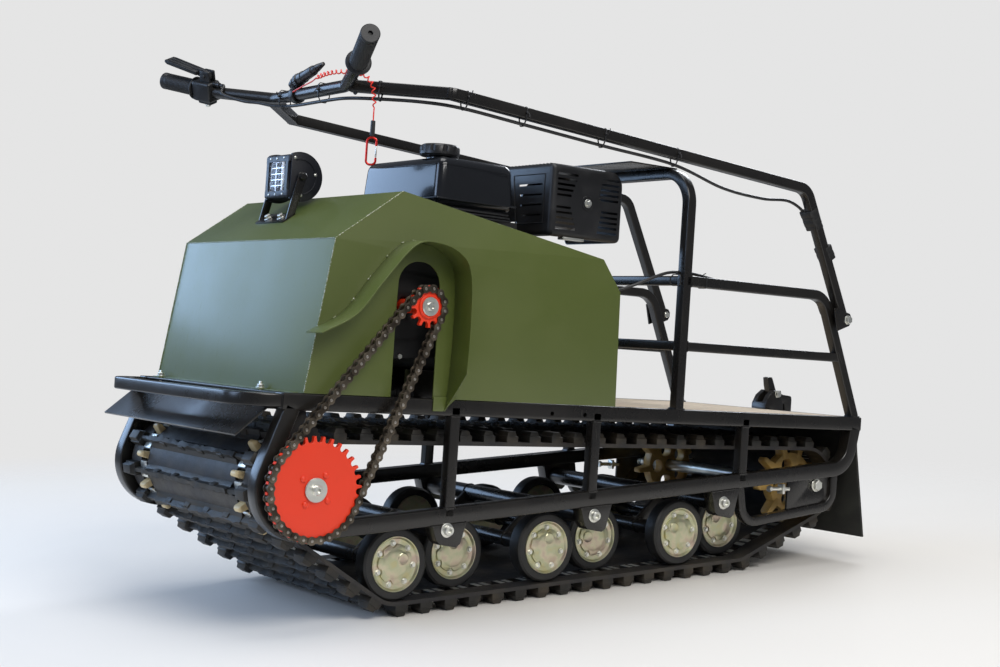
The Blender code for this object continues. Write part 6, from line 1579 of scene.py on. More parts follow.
little = [chain_wheel("little_wheel", SMALL_TEETH, jack, chain_loop.on_arc(0, pins), None)]
little.append(turned("little_hub", [(0, 0.0185), (0.0160, 0.0205), (0.0243, 0.0205), (0.0256, 0.0190)],
                     (jack.x, HALF + 0.002, jack.z), (0, 1, 0), 36))
little.append(rod("jackshaft", (jack.x, 0.198, jack.z), (jack.x, HALF + 0.004, jack.z), 0.0124, 32))
assembled(little, "little_wheel", RED_COAT, "jackshaft", "orange_paint", "engine_sprocket", chassis=False,
          angle=20)
caps = [turned("little_washer", [(0, 0.0155), (0.0018, 0.0160), (0.0028, 0.0152)],
               (jack.x, HALF + 0.0274, jack.z), (0, 1, 0), 36),
        socket_bolt("little_bolt", (jack.x, HALF + 0.0300, jack.z), (0, 1, 0), 0.0072, 0.0046)]
plated(caps, "little_caps", "jackshaft", chassis=False)
report("chain wheels")

# %% [markdown]
# The roller chain has real links. An inner link is two waisted plates with two rollers
# between them, and an outer link is two wider-set plates with two pins through. One of
# each is modelled, then copied along the chain's loop, turned to the chord between pins.
# The pins are a piece of their own, because they are brighter than the plates.

# %% Roller chain
PLATE_END = 0.0072
PLATE_WAIST = 0.0047
PIN_PLACES = (CHAIN_PITCH / 2, -CHAIN_PITCH / 2)


def link_plate(y):
    """A figure-of-eight plate between two pin places, lying at a depth y."""
    ends = []
    for centre, start in zip(PIN_PLACES, (-105, 75)):
        angles = [radians(start + 26.25 * k) for k in range(9)]
        ends.append([(centre + PLATE_END * cos(angle), PLATE_END * sin(angle)) for angle in angles])
    upper = [(0.0022, PLATE_WAIST), (-0.0022, PLATE_WAIST)]
    lower = [(-0.0022, -PLATE_WAIST), (0.0022, -PLATE_WAIST)]
    return plate("link_plate", [ends[0] + upper + ends[1] + lower], y - 0.0007, y + 0.0007, 0.0002)


def inner_link():
    parts = [link_plate(side * 0.0056) for side in (1, -1)]
    parts.extend(rod("roller", (u, -0.0048, 0), (u, 0.0048, 0), ROLLER, 18) for u in PIN_PLACES)
    return joined("inner_link", parts)


def outer_link():
    return joined("outer_link", [link_plate(side * 0.0072) for side in (1, -1)])


def link_pins():
    return joined("pins",
                  [rod("pin", (u, -0.0090, 0), (u, 0.0090, 0), 0.0025, 14, 0.0004) for u in PIN_PLACES])


def chord_frame(k):
    """The place midway between pin k and the next, turned along the chord."""
    x0, z0, _ = chain_loop.at(pins[k])
    x1, z1, _ = chain_loop.at(pins[(k + 1) % CHAIN_LINKS])
    middle = Matrix.Translation(((x0 + x1) / 2, CHAIN_PLANE, (z0 + z1) / 2))
    return middle @ Matrix.Rotation(-atan2(z1 - z0, x1 - x0), 4, "Y")


links_made = repeated(inner_link(), [chord_frame(k) for k in range(0, CHAIN_LINKS, 2)])
links_made += repeated(outer_link(), [chord_frame(k) for k in range(1, CHAIN_LINKS, 2)])
assembled(links_made, "chain_links", CHAIN_STEEL, "chassis", "chain_steel", "chain", chassis=False)
pins_made = repeated(link_pins(), [chord_frame(k) for k in range(1, CHAIN_LINKS, 2)])
assembled(pins_made, "chain_pins", PIN_STEEL, "chassis", "chain_steel", chassis=False)
print("chain", round(chain_loop.length, 4), "m")

# %% [markdown]
# ## Road wheels
# A wheel is a rubber tyre on a pressed hub with a rolled rim, seven bolts round a raised
# scalloped middle, and a round boss off the centre. All twelve come from one model, each
# turned by its own angle, and its outside faces away from the track's middle.

# %% Road wheels
WHEEL_WIDTH = 0.036
HUB_RADIUS = 0.048
HUB_BOLTS = 7
PETAL_POINTS = 84


def wheel_pieces(turn):
    """Tyre, hub and bolts of a wheel whose outer face lies at y = 0, facing +Y."""
    tyre = [(-0.0030, HUB_RADIUS - 0.001), (-0.0016, HUB_RADIUS + 0.002), (-0.0022, WHEEL_RADIUS - 0.004),
            (-0.0050, WHEEL_RADIUS - 0.0006), (-0.0080, WHEEL_RADIUS), (0.008 - WHEEL_WIDTH, WHEEL_RADIUS),
            (0.005 - WHEEL_WIDTH, WHEEL_RADIUS - 0.0006), (0.0022 - WHEEL_WIDTH, WHEEL_RADIUS - 0.004),
            (0.002 - WHEEL_WIDTH, HUB_RADIUS)]
    rubber = turned("tyre", tyre, (0, 0, 0), (0, 1, 0), 56, ring=True)
    dish = [(-WHEEL_WIDTH + 0.004, 0.0108), (-WHEEL_WIDTH + 0.003, HUB_RADIUS - 0.002),
            (-0.0040, HUB_RADIUS), (-0.0008, HUB_RADIUS - 0.0008), (-0.0010, HUB_RADIUS - 0.0022),
            (-0.0050, HUB_RADIUS - 0.0052), (-0.0056, 0.0340), (-0.0056, 0.0010)]
    hub = turned("hub", dish, (0, 0, 0), (0, 1, 0), 56)
    petals = []
    for angle in turns(PETAL_POINTS):
        near_bolt = max(0.0, cos(HUB_BOLTS * (angle + turn)) - 0.25) / 0.75
        reach = 0.0345 - 0.0062 * near_bolt ** 0.7
        petals.append((reach * cos(angle), reach * sin(angle)))
    middle = plate("hub_middle", [petals], -0.0058, -0.0026, 0.0012)
    dome = turned("hub_dome", [(0, 0.0262), (0.0008, 0.0240), (0.0012, 0.0180), (0.0014, 0.0010)],
                  (0, -0.0028, 0), (0, 1, 0), 48)
    boss = Vector((0.0165 * cos(-turn + 0.3), -0.0030, 0.0165 * sin(-turn + 0.3)))
    metal = [hub, middle, dome, turned("boss", [(0, 0.0112), (0.0018, 0.0106), (0.0026, 0.0092),
                                                (0.0020, 0.0074), (0.0022, 0.0010)], boss, (0, 1, 0), 28)]
    bolts = []
    for angle in turns(HUB_BOLTS, -turn):
        place = Vector((0.0362 * cos(angle), -0.0054, 0.0362 * sin(angle)))
        bolts.append(turned("bolt_washer", [(0, 0.0056), (0.0008, 0.0052)], place, (0, 1, 0), 18))
        bolts.append(turned("bolt", [(0, 0.0044), (0.0030, 0.0044), (0.0040, 0.0036)], place, (0, 1, 0), 6))
    return rubber, joined("hub", metal), joined("hub_bolts", bolts)


wheel_chance = Random(5)
for name, axis in sorted(wheel_axes.items()):
    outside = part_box(name)
    left_side = name.endswith("left")
    face = outside[1].y + 0.0008 if left_side else outside[0].y - 0.0008
    place = Matrix.Translation((axis.x, face, axis.z)) @ Matrix.Rotation(0 if left_side else pi, 4, "Z")
    pieces = wheel_pieces(wheel_chance.uniform(0, 2 * pi))
    for obj in pieces:
        obj.data.transform(place)
    finished(pieces[0], name + "_tyre", TYRE_RUBBER, name, "black_rubber", chassis=False)
    finished(pieces[1], name + "_hub", YELLOW_ZINC, name, "yellow_zinc", name, chassis=False)
    finished(pieces[2], name + "_bolts", BRIGHT_ZINC, name, "bright_zinc", chassis=False)
report("wheels")

# %% [markdown]
# A bogie rocks on one long tube between the side frames. Two arms join it to two axle
# tubes, and the rear pair of wheels stands further in than the front pair.

# %% Bogies
STUB = 0.0100
ARM_Y = 0.110
for number, label in enumerate(("front", "middle", "rear")):
    pivot = Vector(joints["bogie_" + label + "_rock"]["pos_m"])
    outer_wheel = wheel_axes["wheel_{}_left".format(2 * number + 1)]
    inner_wheel = wheel_axes["wheel_{}_left".format(2 * number + 2)]
    tube_half = HALF - 0.0285
    parts = [turned("pivot_tube",
                    [(-tube_half, 0.0078), (-tube_half, 0.0164), (-tube_half + 0.0006, 0.0170),
                     (tube_half - 0.0006, 0.0170), (tube_half, 0.0164), (tube_half, 0.0078)],
                    (pivot.x, 0, pivot.z), (0, 1, 0), 40, ring=True)]
    for axis, face in ((outer_wheel, TRACK_WIDTH / 2 - 0.0045), (inner_wheel, TRACK_WIDTH / 2 - 0.0505)):
        shoulder = face - WHEEL_WIDTH - 0.0002
        parts.append(rod("axle_tube", (axis.x, -shoulder, axis.z), (axis.x, shoulder, axis.z), 0.0135, 36,
                         0.0006))
        parts.append(rod("stub", (axis.x, -(face - 0.004), axis.z), (axis.x, face - 0.004, axis.z), STUB,
                         32, 0.0006))
    arm = [(outer_wheel.x + 0.008, outer_wheel.z - 0.006), (outer_wheel.x + 0.007, outer_wheel.z + 0.009),
           (pivot.x + 0.012, pivot.z + 0.009), (pivot.x - 0.012, pivot.z + 0.009),
           (inner_wheel.x - 0.007, inner_wheel.z + 0.009), (inner_wheel.x - 0.008, inner_wheel.z - 0.006),
           (pivot.x, pivot.z - 0.026)]
    for side in (1, -1):
        parts.append(plate("arm", [arm], side * ARM_Y - 0.004, side * ARM_Y + 0.004, 0.0008))
        for axis, radius in ((pivot, 0.0172), (outer_wheel, 0.0137), (inner_wheel, 0.0137)):
            ring = [(axis.x + radius * cos(a), side * 0.1143, axis.z + radius * sin(a))
                    for a in [2 * pi * k / 20 for k in range(21)]]
            parts.append(weld_bead("arm_weld", ring, 0.0018))
    assembled(parts, "bogie_arms_" + label, BLACK_COAT, "bogie_" + label, "black_paint", "bogie_" + label,
              chassis=False)
report("bogies")

# %% [markdown]
# ## The engine
# A small single-cylinder engine stands between the cover's sides. Its crankcase and finned
# barrel are cast alloy, and the belt case on the left is black. Most of it shows only
# through the gaps, but its large masses have to be right for the shadows to be right.

# %% Engine
small = TO_CHASSIS @ jack
crank_u, crank_w = small.x - 0.236, small.z
CRANKCASE_LEFT, CRANKCASE_RIGHT, CRANKCASE_TOP = 0.150, -0.120, 0.240
HEAD_TOP = 0.335
case = [block("crankcase", (-0.560, CRANKCASE_RIGHT + 0.010, 0.0453),
              (-0.350, CRANKCASE_LEFT - 0.012, CRANKCASE_TOP), 0.012, 3)]
for y in (-0.080, -0.030, 0.030, 0.080, 0.120):
    case.append(block("case_rib", (-0.566, y - 0.0025, 0.060), (-0.553, y + 0.0025, 0.190), 0.001))
case.append(block("barrel", (-0.530, -0.045, CRANKCASE_TOP - 0.01), (-0.400, 0.085, HEAD_TOP - 0.030)))
for k in range(7):
    w = CRANKCASE_TOP + 0.004 + 0.0092 * k
    case.append(block("fin", (-0.545, -0.060, w), (-0.385, 0.100, w + 0.0026), 0.0008, 1))
case.append(block("head", (-0.536, -0.051, HEAD_TOP - 0.032), (-0.396, 0.091, HEAD_TOP - 0.012), 0.003))
for k in range(9):
    y = -0.045 + 0.0165 * k
    case.append(block("head_fin", (-0.540, y - 0.0013, HEAD_TOP - 0.034),
                      (-0.392, y + 0.0013, HEAD_TOP - 0.004), 0.0006, 1))
case.append(rod("belt_case_neck", (crank_u, CRANKCASE_LEFT - 0.02, crank_w),
                (crank_u, CRANKCASE_LEFT + 0.010, crank_w), 0.050, 40))
case.append(rod("recoil_seat", (crank_u, CRANKCASE_RIGHT + 0.0005, crank_w),
                (crank_u, CRANKCASE_RIGHT + 0.02, crank_w), 0.060, 40))
# The casting's near-black colour is painted shade for the dark under the cover, not the alloy's own colour.
assembled(case, "engine_casting", SHADE_ALLOY, "chassis", "cast_alloy", "engine_block")
report("crankcase")

# %% [markdown]
# The belt case is one outline round two pulleys, made at two sizes: the case itself and a
# raised rib on its face.

# %% Belt case and bolts
belt_face = CRANKCASE_LEFT + 0.078


def belt_line(front_radius, rear_radius):
    """An outline round both pulleys, open to tangents between its two arcs."""
    return circle(small.x, small.z, front_radius, 14, radians(-82), radians(82)) \
        + circle(crank_u, crank_w, rear_radius, 12, radians(97), radians(263))


guard_line = belt_line(0.093, 0.070)
shaft_bore = circle(small.x, small.z, 0.0138, 24)[::-1]
belt_case = [plate("belt_case", [guard_line, shaft_bore], CRANKCASE_LEFT + 0.008, belt_face, 0.006)]
inner_line = belt_line(0.062, 0.044)
RIB_SHRINK = 0.93
rib_hole = [(RIB_SHRINK * (u - small.x) + small.x, RIB_SHRINK * (w - small.z) + small.z)
            for u, w in inner_line]
belt_case.append(plate("belt_case_rib", [inner_line, rib_hole[::-1]], belt_face - 0.001,
                       belt_face + 0.0004))
# The belt case is darker than the other black plastic: painted shade.
assembled(belt_case, "belt_case", SHADE_PLASTIC, "chassis", "black_plastic")
bolts = []
for u, w in guard_line[::5]:
    inwards = Vector(((small.x + crank_u) / 2 - u, crank_w - w)).normalized() * 0.010
    bolts.append(hex_bolt("case_bolt", (u + inwards.x, belt_face, w + inwards.y), (0, 1, 0), 0.008, 0.0035))
for u in (-0.545, -0.365):
    for y in ENGINE_STANDS:
        bolts.append(hex_bolt("mount_bolt", (u, y, 0.056), (0, 0, 1), 0.013, 0.007, 0.011))
plated(bolts, "engine_bolts")
report("belt case")

# %% [markdown]
# The fuel tank is a blow-moulded box with big soft corners, a flanged seam low down and a
# neck, on a black base with three thin ledges. The cap is a low drum whose scalloped grip
# is cut by ten rods.

# %% Fuel tank and cap
TANK_BOTTOM, TANK_TOP = 0.338, 0.430
CAP_U, CAP_Y = -0.357, 0.085
tank = block("tank", (-0.490, CRANKCASE_RIGHT, TANK_BOTTOM + 0.004), (-0.315, CRANKCASE_LEFT, TANK_TOP))
pick_faces(tank, lambda centre, normal: normal.z > 0.9)
bpy.ops.transform.resize(value=(0.93, 0.955, 1))
close_mesh()
soften(tank, 0.017, 5, 30)
parts = [tank, block("tank_seam", (-0.4905, CRANKCASE_RIGHT - 0.0002, TANK_BOTTOM + 0.014),
                     (-0.3145, CRANKCASE_LEFT + 0.0002, TANK_BOTTOM + 0.0175), 0.0008)]
soften(parts[1], 0.012, 4, 80)
parts.append(turned("tank_neck", [(0, 0.024), (0.010, 0.024), (0.013, 0.0225)],
                    (CAP_U, CAP_Y, TANK_TOP - 0.003), (0, 0, 1), 40))
assembled(parts, "tank_body", TANK_ENAMEL, "chassis", "black_plastic", "fuel_tank", angle=40)
under = []
for k, w in enumerate((0.3245, 0.3300, 0.3355)):
    under.append(block("tank_rail", (-0.484 + 0.003 * k, CRANKCASE_RIGHT + 0.006, w),
                       (-0.321 - 0.003 * k, CRANKCASE_LEFT - 0.005, w + 0.0036), 0.0012))
under.append(block("tank_base", (-0.474, CRANKCASE_RIGHT + 0.016, 0.3232),
                   (-0.331, CRANKCASE_LEFT - 0.015, TANK_BOTTOM + 0.006), 0.002))
assembled(under, "tank_rails", BLACK_PLASTIC, "chassis", "black_plastic")

cap_low = TANK_TOP + 0.0042
cap = turned("cap", [(0, 0.0345), (0.003, 0.0368), (0.016, 0.0366), (0.0195, 0.0345), (0.0214, 0.031),
                     (0.0206, 0.027), (0.0206, 0.002)], (CAP_U, CAP_Y, cap_low), (0, 0, 1), 90)
FLUTES, FLUTE_PLACE = 10, 0.0405
flutes = []
for angle in turns(FLUTES):
    flute_u = CAP_U + FLUTE_PLACE * cos(angle)
    flute_y = CAP_Y + FLUTE_PLACE * sin(angle)
    flutes.append(rod("flute", (flute_u, flute_y, cap_low + 0.0075), (flute_u, flute_y, cap_low + 0.04),
                      0.0065, 20))
cut(cap, *flutes)
finished(cap, "cap_fluted", BLACK_PLASTIC, "fuel_cap", "black_plastic", "fuel_cap")
report("tank")

# %% [markdown]
# The silencer sits in a thin pressed guard. The guard is a softened box, hollowed, with
# two columns of slits on its side, four slits in front inside a raised outline and a row
# of short ribs on its upper front edge.

# %% Silencer and guard
GUARD_FRONT, GUARD_REAR, GUARD_LEFT, GUARD_RIGHT = -0.553, -0.727, 0.172, 0.010
GUARD_BOTTOM, GUARD_TOP = 0.308, 0.444
mid = Vector(((GUARD_FRONT + GUARD_REAR) / 2, (GUARD_LEFT + GUARD_RIGHT) / 2,
              (GUARD_BOTTOM + GUARD_TOP) / 2))
length = (GUARD_FRONT - GUARD_REAR) - 0.036
drum_run = length - 0.028
drum = [(0, 0.030), (0.006, 0.044), (0.010, 0.048), (0.014, 0.046)]
for share, radius in ((0.3, 0.0455), (0.32, 0.0455), (0.34, 0.0475), (0.37, 0.0455)):
    drum.append((0.014 + drum_run * share, radius))
drum += [(length - 0.014, 0.0455), (length - 0.010, 0.048), (length - 0.006, 0.044), (length, 0.030)]
parts = [turned("silencer", drum, mid - Vector((length / 2, 0, 0)), (1, 0, 0), 48)]
pipe = bent([(-0.5445, 0.040, 0.316), (-0.590, 0.050, 0.316), (-0.605, 0.070, 0.352)], 0.015, radians(12))
parts.append(round_bar("exhaust_pipe", pipe, 0.013, 5))
parts.append(block("exhaust_flange", (-0.546, 0.018, 0.306), (-0.5403, 0.062, 0.330), 0.002))
assembled(parts, "silencer_body", HEAT_COAT, "chassis", "black_paint", "muffler")

shell = block("guard", (GUARD_REAR, GUARD_RIGHT, GUARD_BOTTOM), (GUARD_FRONT, GUARD_LEFT, GUARD_TOP))
pick_edges(shell, lambda start, end: min(start.z, end.z) > GUARD_TOP - 0.001
           and max(start.x, end.x) < GUARD_REAR + 0.001)
bpy.ops.mesh.bevel(offset=0.030, segments=6, affect="EDGES")
close_mesh()
soften(shell, 0.010, 4, 50)
inside = shell.copy()
inside.data = shell.data.copy()
bpy.context.collection.objects.link(inside)
thin = [1 - 2 * SHEET * 0.6 / d for d in (GUARD_FRONT - GUARD_REAR, GUARD_LEFT - GUARD_RIGHT,
                                          GUARD_TOP - GUARD_BOTTOM)]
inside.data.transform(Matrix.Translation(mid) @ Matrix.Diagonal((*thin, 1)) @ Matrix.Translation(-mid))
tools = [inside, block("guard_open", (GUARD_REAR + 0.010, GUARD_RIGHT - 0.02, GUARD_BOTTOM - 0.02),
                       (GUARD_FRONT - 0.010, GUARD_LEFT - 0.010, GUARD_BOTTOM + 0.02)),
         block("guard_back", (GUARD_REAR + 0.010, GUARD_RIGHT - 0.02, GUARD_BOTTOM - 0.02),
               (GUARD_FRONT - 0.010, GUARD_RIGHT + 0.02, GUARD_TOP - 0.012))]
for side in (-1, 1):
    for k in range(5):
        for low, lean_in in ((0.384, 0), (0.322, 1)):
            w = low + 0.0098 * k
            shorten = 0.0035 * (k if lean_in else 4 - k) if side > 0 else 0.002 * k
            near = mid.x + side * (0.026 + shorten)
            far = mid.x + side * 0.074
            a, b = sorted((near, far))
            tools.append(block("louvre", (a, GUARD_LEFT - 0.01, w), (b, GUARD_LEFT + 0.01, w + 0.0044)))
for k in range(4):
    w = 0.346 + 0.019 * k
    tools.append(block("front_slit", (GUARD_FRONT - 0.006, mid.y - 0.010 - 0.004 * k, w),
                       (GUARD_FRONT + 0.01, mid.y + 0.050, w + 0.0035)))
tools.append(block("pipe_notch", (GUARD_FRONT - 0.01, 0.020, GUARD_BOTTOM - 0.01),
                   (GUARD_FRONT + 0.01, 0.068, 0.336)))
cut(shell, *tools)
parts = [shell]
for k in range(13):
    y = GUARD_RIGHT + 0.014 + 0.011 * k
    parts.append(block("edge_rib", (GUARD_FRONT - 0.014, y, GUARD_TOP - 0.0012),
                       (GUARD_FRONT - 0.003, y + 0.004, GUARD_TOP - 0.0001), 0.0004, 1))
emboss = [(GUARD_FRONT + 0.0002, mid.y - 0.026, 0.332), (GUARD_FRONT + 0.0002, mid.y - 0.040, 0.424),
          (GUARD_FRONT + 0.0002, mid.y + 0.058, 0.424), (GUARD_FRONT + 0.0002, mid.y + 0.058, 0.332)]
parts.append(round_bar("emboss", emboss + [emboss[0]], 0.0012, 2))
parts.append(turned("bolt_dish", [(0, 0.0150), (0.0012, 0.0142), (0.0012, 0.0118), (-0.0006, 0.0105)],
                    (mid.x, GUARD_LEFT - 0.0004, mid.z), (0, 1, 0), 36))
parts.append(rod("stay", (mid.x, mid.y + 0.049, mid.z), (mid.x, GUARD_LEFT, mid.z), 0.007, 24))
assembled(parts, "guard_shell", BLACK_PLASTIC, "chassis", "black_paint", "muffler_guard", angle=40)
fixings = [hex_bolt("guard_bolt", (mid.x, GUARD_LEFT, mid.z), (0, 1, 0), 0.010, 0.005, 0.0085),
           hex_bolt("flange_bolt", (-0.5405, 0.024, 0.318), (1, 0, 0), 0.008, 0.004),
           hex_bolt("flange_bolt", (-0.5405, 0.056, 0.318), (1, 0, 0), 0.008, 0.004),
           block("guard_tab", (-0.640, GUARD_LEFT - 0.022, GUARD_BOTTOM - 0.004),
                 (-0.590, GUARD_LEFT - 0.004, GUARD_BOTTOM + 0.0010), 0.001)]
plated(fixings, "guard_fixings")
report("silencer")

# %% [markdown]
# The air cleaner is a ribbed box on a short neck. The recoil starter on the right is a
# turned drum with slots round its face, and its handle rests on a little block.

# %% Air cleaner and starter
parts = [block("filter", (-0.615, -0.140, HEAD_TOP + 0.010), (-0.505, -0.025, HEAD_TOP + 0.086), 0.012, 4),
         block("filter_seam", (-0.6155, -0.1405, HEAD_TOP + 0.034), (-0.5045, -0.0245, HEAD_TOP + 0.038),
               0.001), rod("filter_neck", (-0.524, -0.041, HEAD_TOP - 0.0037),
                           (-0.524, -0.041, HEAD_TOP + 0.015), 0.012, 28)]
for k in range(6):
    u = -0.598 + 0.0156 * k
    parts.append(block("filter_rib", (u - 0.0022, -0.1408, HEAD_TOP + 0.042),
                       (u + 0.0022, -0.0242, HEAD_TOP + 0.076), 0.001))
assembled(parts, "filter_box", BLACK_PLASTIC, "chassis", "black_plastic", "air_cleaner")

recoil_y = CRANKCASE_RIGHT - GAP
face_y = recoil_y - 0.070
drum = [(0.0003, 0.095), (0.030, 0.095), (0.034, 0.0935), (0.058, 0.083), (0.0665, 0.0760), (0.070, 0.0710),
        (0.070, 0.030), (0.066, 0.026), (0.066, 0.002)]
recoil = turned("recoil", drum, (crank_u, recoil_y, crank_w), (0, -1, 0), 60)
slots = []
for angle in turns(14):
    slot = block("recoil_slot", (0.040, -0.0035, -0.006), (0.066, 0.0035, 0.006), 0.002)
    slot.data.transform(Matrix.Translation((crank_u, face_y, crank_w)) @ Matrix.Rotation(angle, 4, "Y")
                        @ Matrix.Rotation(pi / 2, 4, "X"))
    slots.append(slot)
cut(recoil, *slots)
rope_u, rope_y = crank_u + 0.062, recoil_y - 0.030
rope_top = crank_w + 0.110
rope_block = block("rope_block", (rope_u - 0.014, rope_y - 0.014, crank_w + 0.045),
                   (rope_u + 0.014, rope_y + 0.014, rope_top), 0.003)
cut(rope_block, rod("rope_hole", (rope_u, rope_y, rope_top - 0.055), (rope_u, rope_y, rope_top + 0.02),
                    0.0045, 24))
assembled([recoil, rope_block], "recoil_drum", BLACK_PLASTIC, "chassis", "black_plastic", "recoil_starter")
screws = [socket_bolt("recoil_screw", (crank_u + 0.088 * cos(radians(a)), recoil_y - 0.0335,
                                       crank_w + 0.088 * sin(radians(a))), (0, -1, 0), 0.0045, 0.0040)
          for a in (20, 140, 260)]
plated(screws, "recoil_screws")
pull = block("pull", (rope_u - 0.009, rope_y - 0.038, rope_top + 0.0008),
             (rope_u + 0.009, rope_y + 0.038, rope_top + 0.022), 0.006, 4)
cord = rod("pull_rope", (rope_u, rope_y, rope_top - 0.050), (rope_u, rope_y, rope_top + 0.006), 0.0030, 16)
assembled([pull, cord], "pull_handle", BLACK_PLASTIC, "starter_handle", "black_plastic", "starter_handle")
report("engine")

# %% [markdown]
# ## Work lamp
# The lamp's round side plates carry a front frame and a row of cooling fins. Behind the
# clear lens each of fifteen cells is a small bowl, made by insetting a grid's faces one by
# one and pushing them in, with a small light chip at its bottom.

# %% Lamp
LAMP_Y = -0.0475
LAMP_U, LAMP_W = -0.122, 0.375
LAMP_FACE = LAMP_U + 0.0245
DISC = 0.0445
POCKET_Y, POCKET_W = 0.0310, 0.0265
FIN_GAP = 0.00825
CELL_Y, CELL_W = 0.0202, 0.01036


def lamp_disc(y0, y1, radius):
    """A round side plate, cut off flat behind the front frame."""
    reach = acos(0.0195 / radius)
    outline = circle(LAMP_U, LAMP_W, radius, 40, reach, 2 * pi - reach)
    return plate("lamp_disc", [outline], y0, y1, 0.0008)


parts = []
for side in (1, -1):
    parts.append(lamp_disc(LAMP_Y + side * 0.0395, LAMP_Y + side * 0.0450, DISC))
    parts.append(plate("disc_ring",
                       [circle(LAMP_U, LAMP_W, 0.0330, 40, radians(70), radians(290))
                        + circle(LAMP_U, LAMP_W, 0.0300, 40, radians(290), radians(70))],
                       LAMP_Y + side * 0.0445, LAMP_Y + side * 0.0460, 0.0003))
parts.append(block("lamp_core", (LAMP_U - 0.012, LAMP_Y - 0.040, LAMP_W - 0.0340),
                   (LAMP_U + 0.018, LAMP_Y + 0.040, LAMP_W + 0.0340), 0.002))
for k in range(9):
    y = LAMP_Y - 4 * FIN_GAP + FIN_GAP * k
    parts.append(lamp_disc(y - 0.0011, y + 0.0011, DISC - 0.004))
front = block("lamp_front", (LAMP_U + 0.0165, LAMP_Y - 0.0440, LAMP_W - 0.0385),
              (LAMP_FACE, LAMP_Y + 0.0440, LAMP_W + 0.0385), 0.0045, 3)
notches = [block("notch", (LAMP_U, LAMP_Y + side * 0.0400 - 0.0002, LAMP_W - POCKET_W),
                 (LAMP_FACE + 0.01, LAMP_Y + side * 0.060, LAMP_W + POCKET_W), 0.003) for side in (1, -1)]
pocket = block("pocket", (LAMP_FACE - 0.0100, LAMP_Y - POCKET_Y, LAMP_W - POCKET_W),
               (LAMP_FACE + 0.01, LAMP_Y + POCKET_Y, LAMP_W + POCKET_W))
cut(front, *notches, pocket)
parts.append(front)
assembled(parts, "lamp_body", LAMP_PLASTIC, "lamp", "black_plastic", "lamp_housing")
report("lamp body")

# %% [markdown]
# Small screws hold the front frame and the side plates. The cells, their chips and the
# pane over them are separate pieces, because each has a look of its own.

# %% Lamp screws, cells and pane
screws = []
for y in (-0.030, -0.006, 0.020):
    for w in (-0.0322, 0.0322):
        screws.append(turned("bezel_screw", [(0, 0.0021), (0.0008, 0.0019), (0.0012, 0.0010)],
                             (LAMP_FACE - 0.0001, LAMP_Y + y + 0.004, LAMP_W + w), (1, 0, 0), 14))
for side in (1, -1):
    for u, w in ((0.013, 0.0330), (-0.0295, 0.0060), (-0.002, -0.0330)):
        screws.append(turned("disc_screw", [(0, 0.0031), (0.0012, 0.0029), (0.0020, 0.0016)],
                             (LAMP_U + u, LAMP_Y + side * 0.0449, LAMP_W + w), (0, side, 0), 18))
plated(screws, "lamp_screws", "lamp")

bpy.ops.mesh.primitive_grid_add(x_subdivisions=3, y_subdivisions=5, size=1, location=(0, 0, 0))
bpy.context.object.scale = (3 * CELL_Y, 5 * CELL_W, 1)
cells = settled(bpy.context.object, "cells")
open_mesh(cells)
bpy.ops.mesh.select_all(action="SELECT")
bpy.ops.mesh.inset(thickness=0.0005, use_individual=True)
bpy.ops.mesh.inset(thickness=0.0012, depth=-0.0022, use_individual=True)
bpy.ops.mesh.inset(thickness=0.0016, depth=-0.0012, use_individual=True)
close_mesh()
cells.data.transform(Matrix.Translation((LAMP_FACE - 0.0048, LAMP_Y, LAMP_W)) @ in_cross(0))
chips = []
for k in range(15):
    y = LAMP_Y + (k % 3 - 1) * CELL_Y
    w = LAMP_W + (k // 3 - 2) * CELL_W
    chips.append(block("chip", (LAMP_FACE - 0.0084, y - 0.0021, w - 0.0012),
                       (LAMP_FACE - 0.0076, y + 0.0021, w + 0.0012), 0.0002))
finished(cells, "lamp_cells", REFLECTOR, "lamp", "lamp_lens", angle=15)
assembled(chips, "lamp_chips", LED_CHIP, "lamp", "lamp_lens")
pane = block("lamp_pane", (LAMP_FACE - 0.0032, LAMP_Y - 0.0307, LAMP_W - 0.0262),
             (LAMP_FACE - 0.0012, LAMP_Y + 0.0307, LAMP_W + 0.0262), 0.0004)
finished(pane, "lamp_pane", CLEAR_LENS, "lamp", "lamp_lens", "lamp_lens")
report("lamp face")

# %% [markdown]
# Its bracket is a strap bent up at both ends, bolted to the cover's slope. The strap is
# laid along the slope with the cover's own direction, found when the cover was made.

# %% Lamp bracket
foot = Vector((-0.100, 0.0))
foot.y = FRONT_TOP + (foot.x + FRONT_RUN) * slope.y / slope.x


def on_slope(along, out):
    """A point over the cover's slope: along it upwards, and out from its face."""
    point = foot + slope * along + slope_out * out
    return point.x, point.y


EAR_Y = 0.0490
parts = [plate("lamp_base",
               [[on_slope(-0.013, 0.0004), on_slope(-0.013, 0.0032), on_slope(0.016, 0.0032),
                 on_slope(0.016, 0.0004)]], LAMP_Y - EAR_Y - 0.003, LAMP_Y + EAR_Y + 0.003, 0.0004)]
for side in (1, -1):
    y = LAMP_Y + side * EAR_Y
    top = circle(LAMP_U, LAMP_W, 0.0085, 14, 0, pi)
    parts.append(plate("lamp_ear", [top + [on_slope(0.015, 0.001), on_slope(-0.007, 0.001)]], y,
                       y + side * 0.003, 0.0005))
    parts.append(turned("lamp_knob", [(0, 0.0075), (0.0055, 0.0070), (0.0068, 0.0055)],
                        (LAMP_U, y + side * 0.0028, LAMP_W), (0, side, 0), 12))
    parts.append(rod("lamp_shank", (LAMP_U, y - side * 0.011, LAMP_W), (LAMP_U, y, LAMP_W), 0.0040, 20))
assembled(parts, "lamp_strap", BLACK_COAT, "chassis", "black_paint", "lamp_bracket")
u, w = on_slope(0.002, 0.0030)
foot_bolts = [hex_bolt("foot_bolt", (u, LAMP_Y + y, w), (slope_out.x, 0, slope_out.y), 0.010, 0.0055,
                       0.0085) for y in (-0.024, 0.024)]
plated(foot_bolts, "lamp_foot_bolts")
report("lamp")

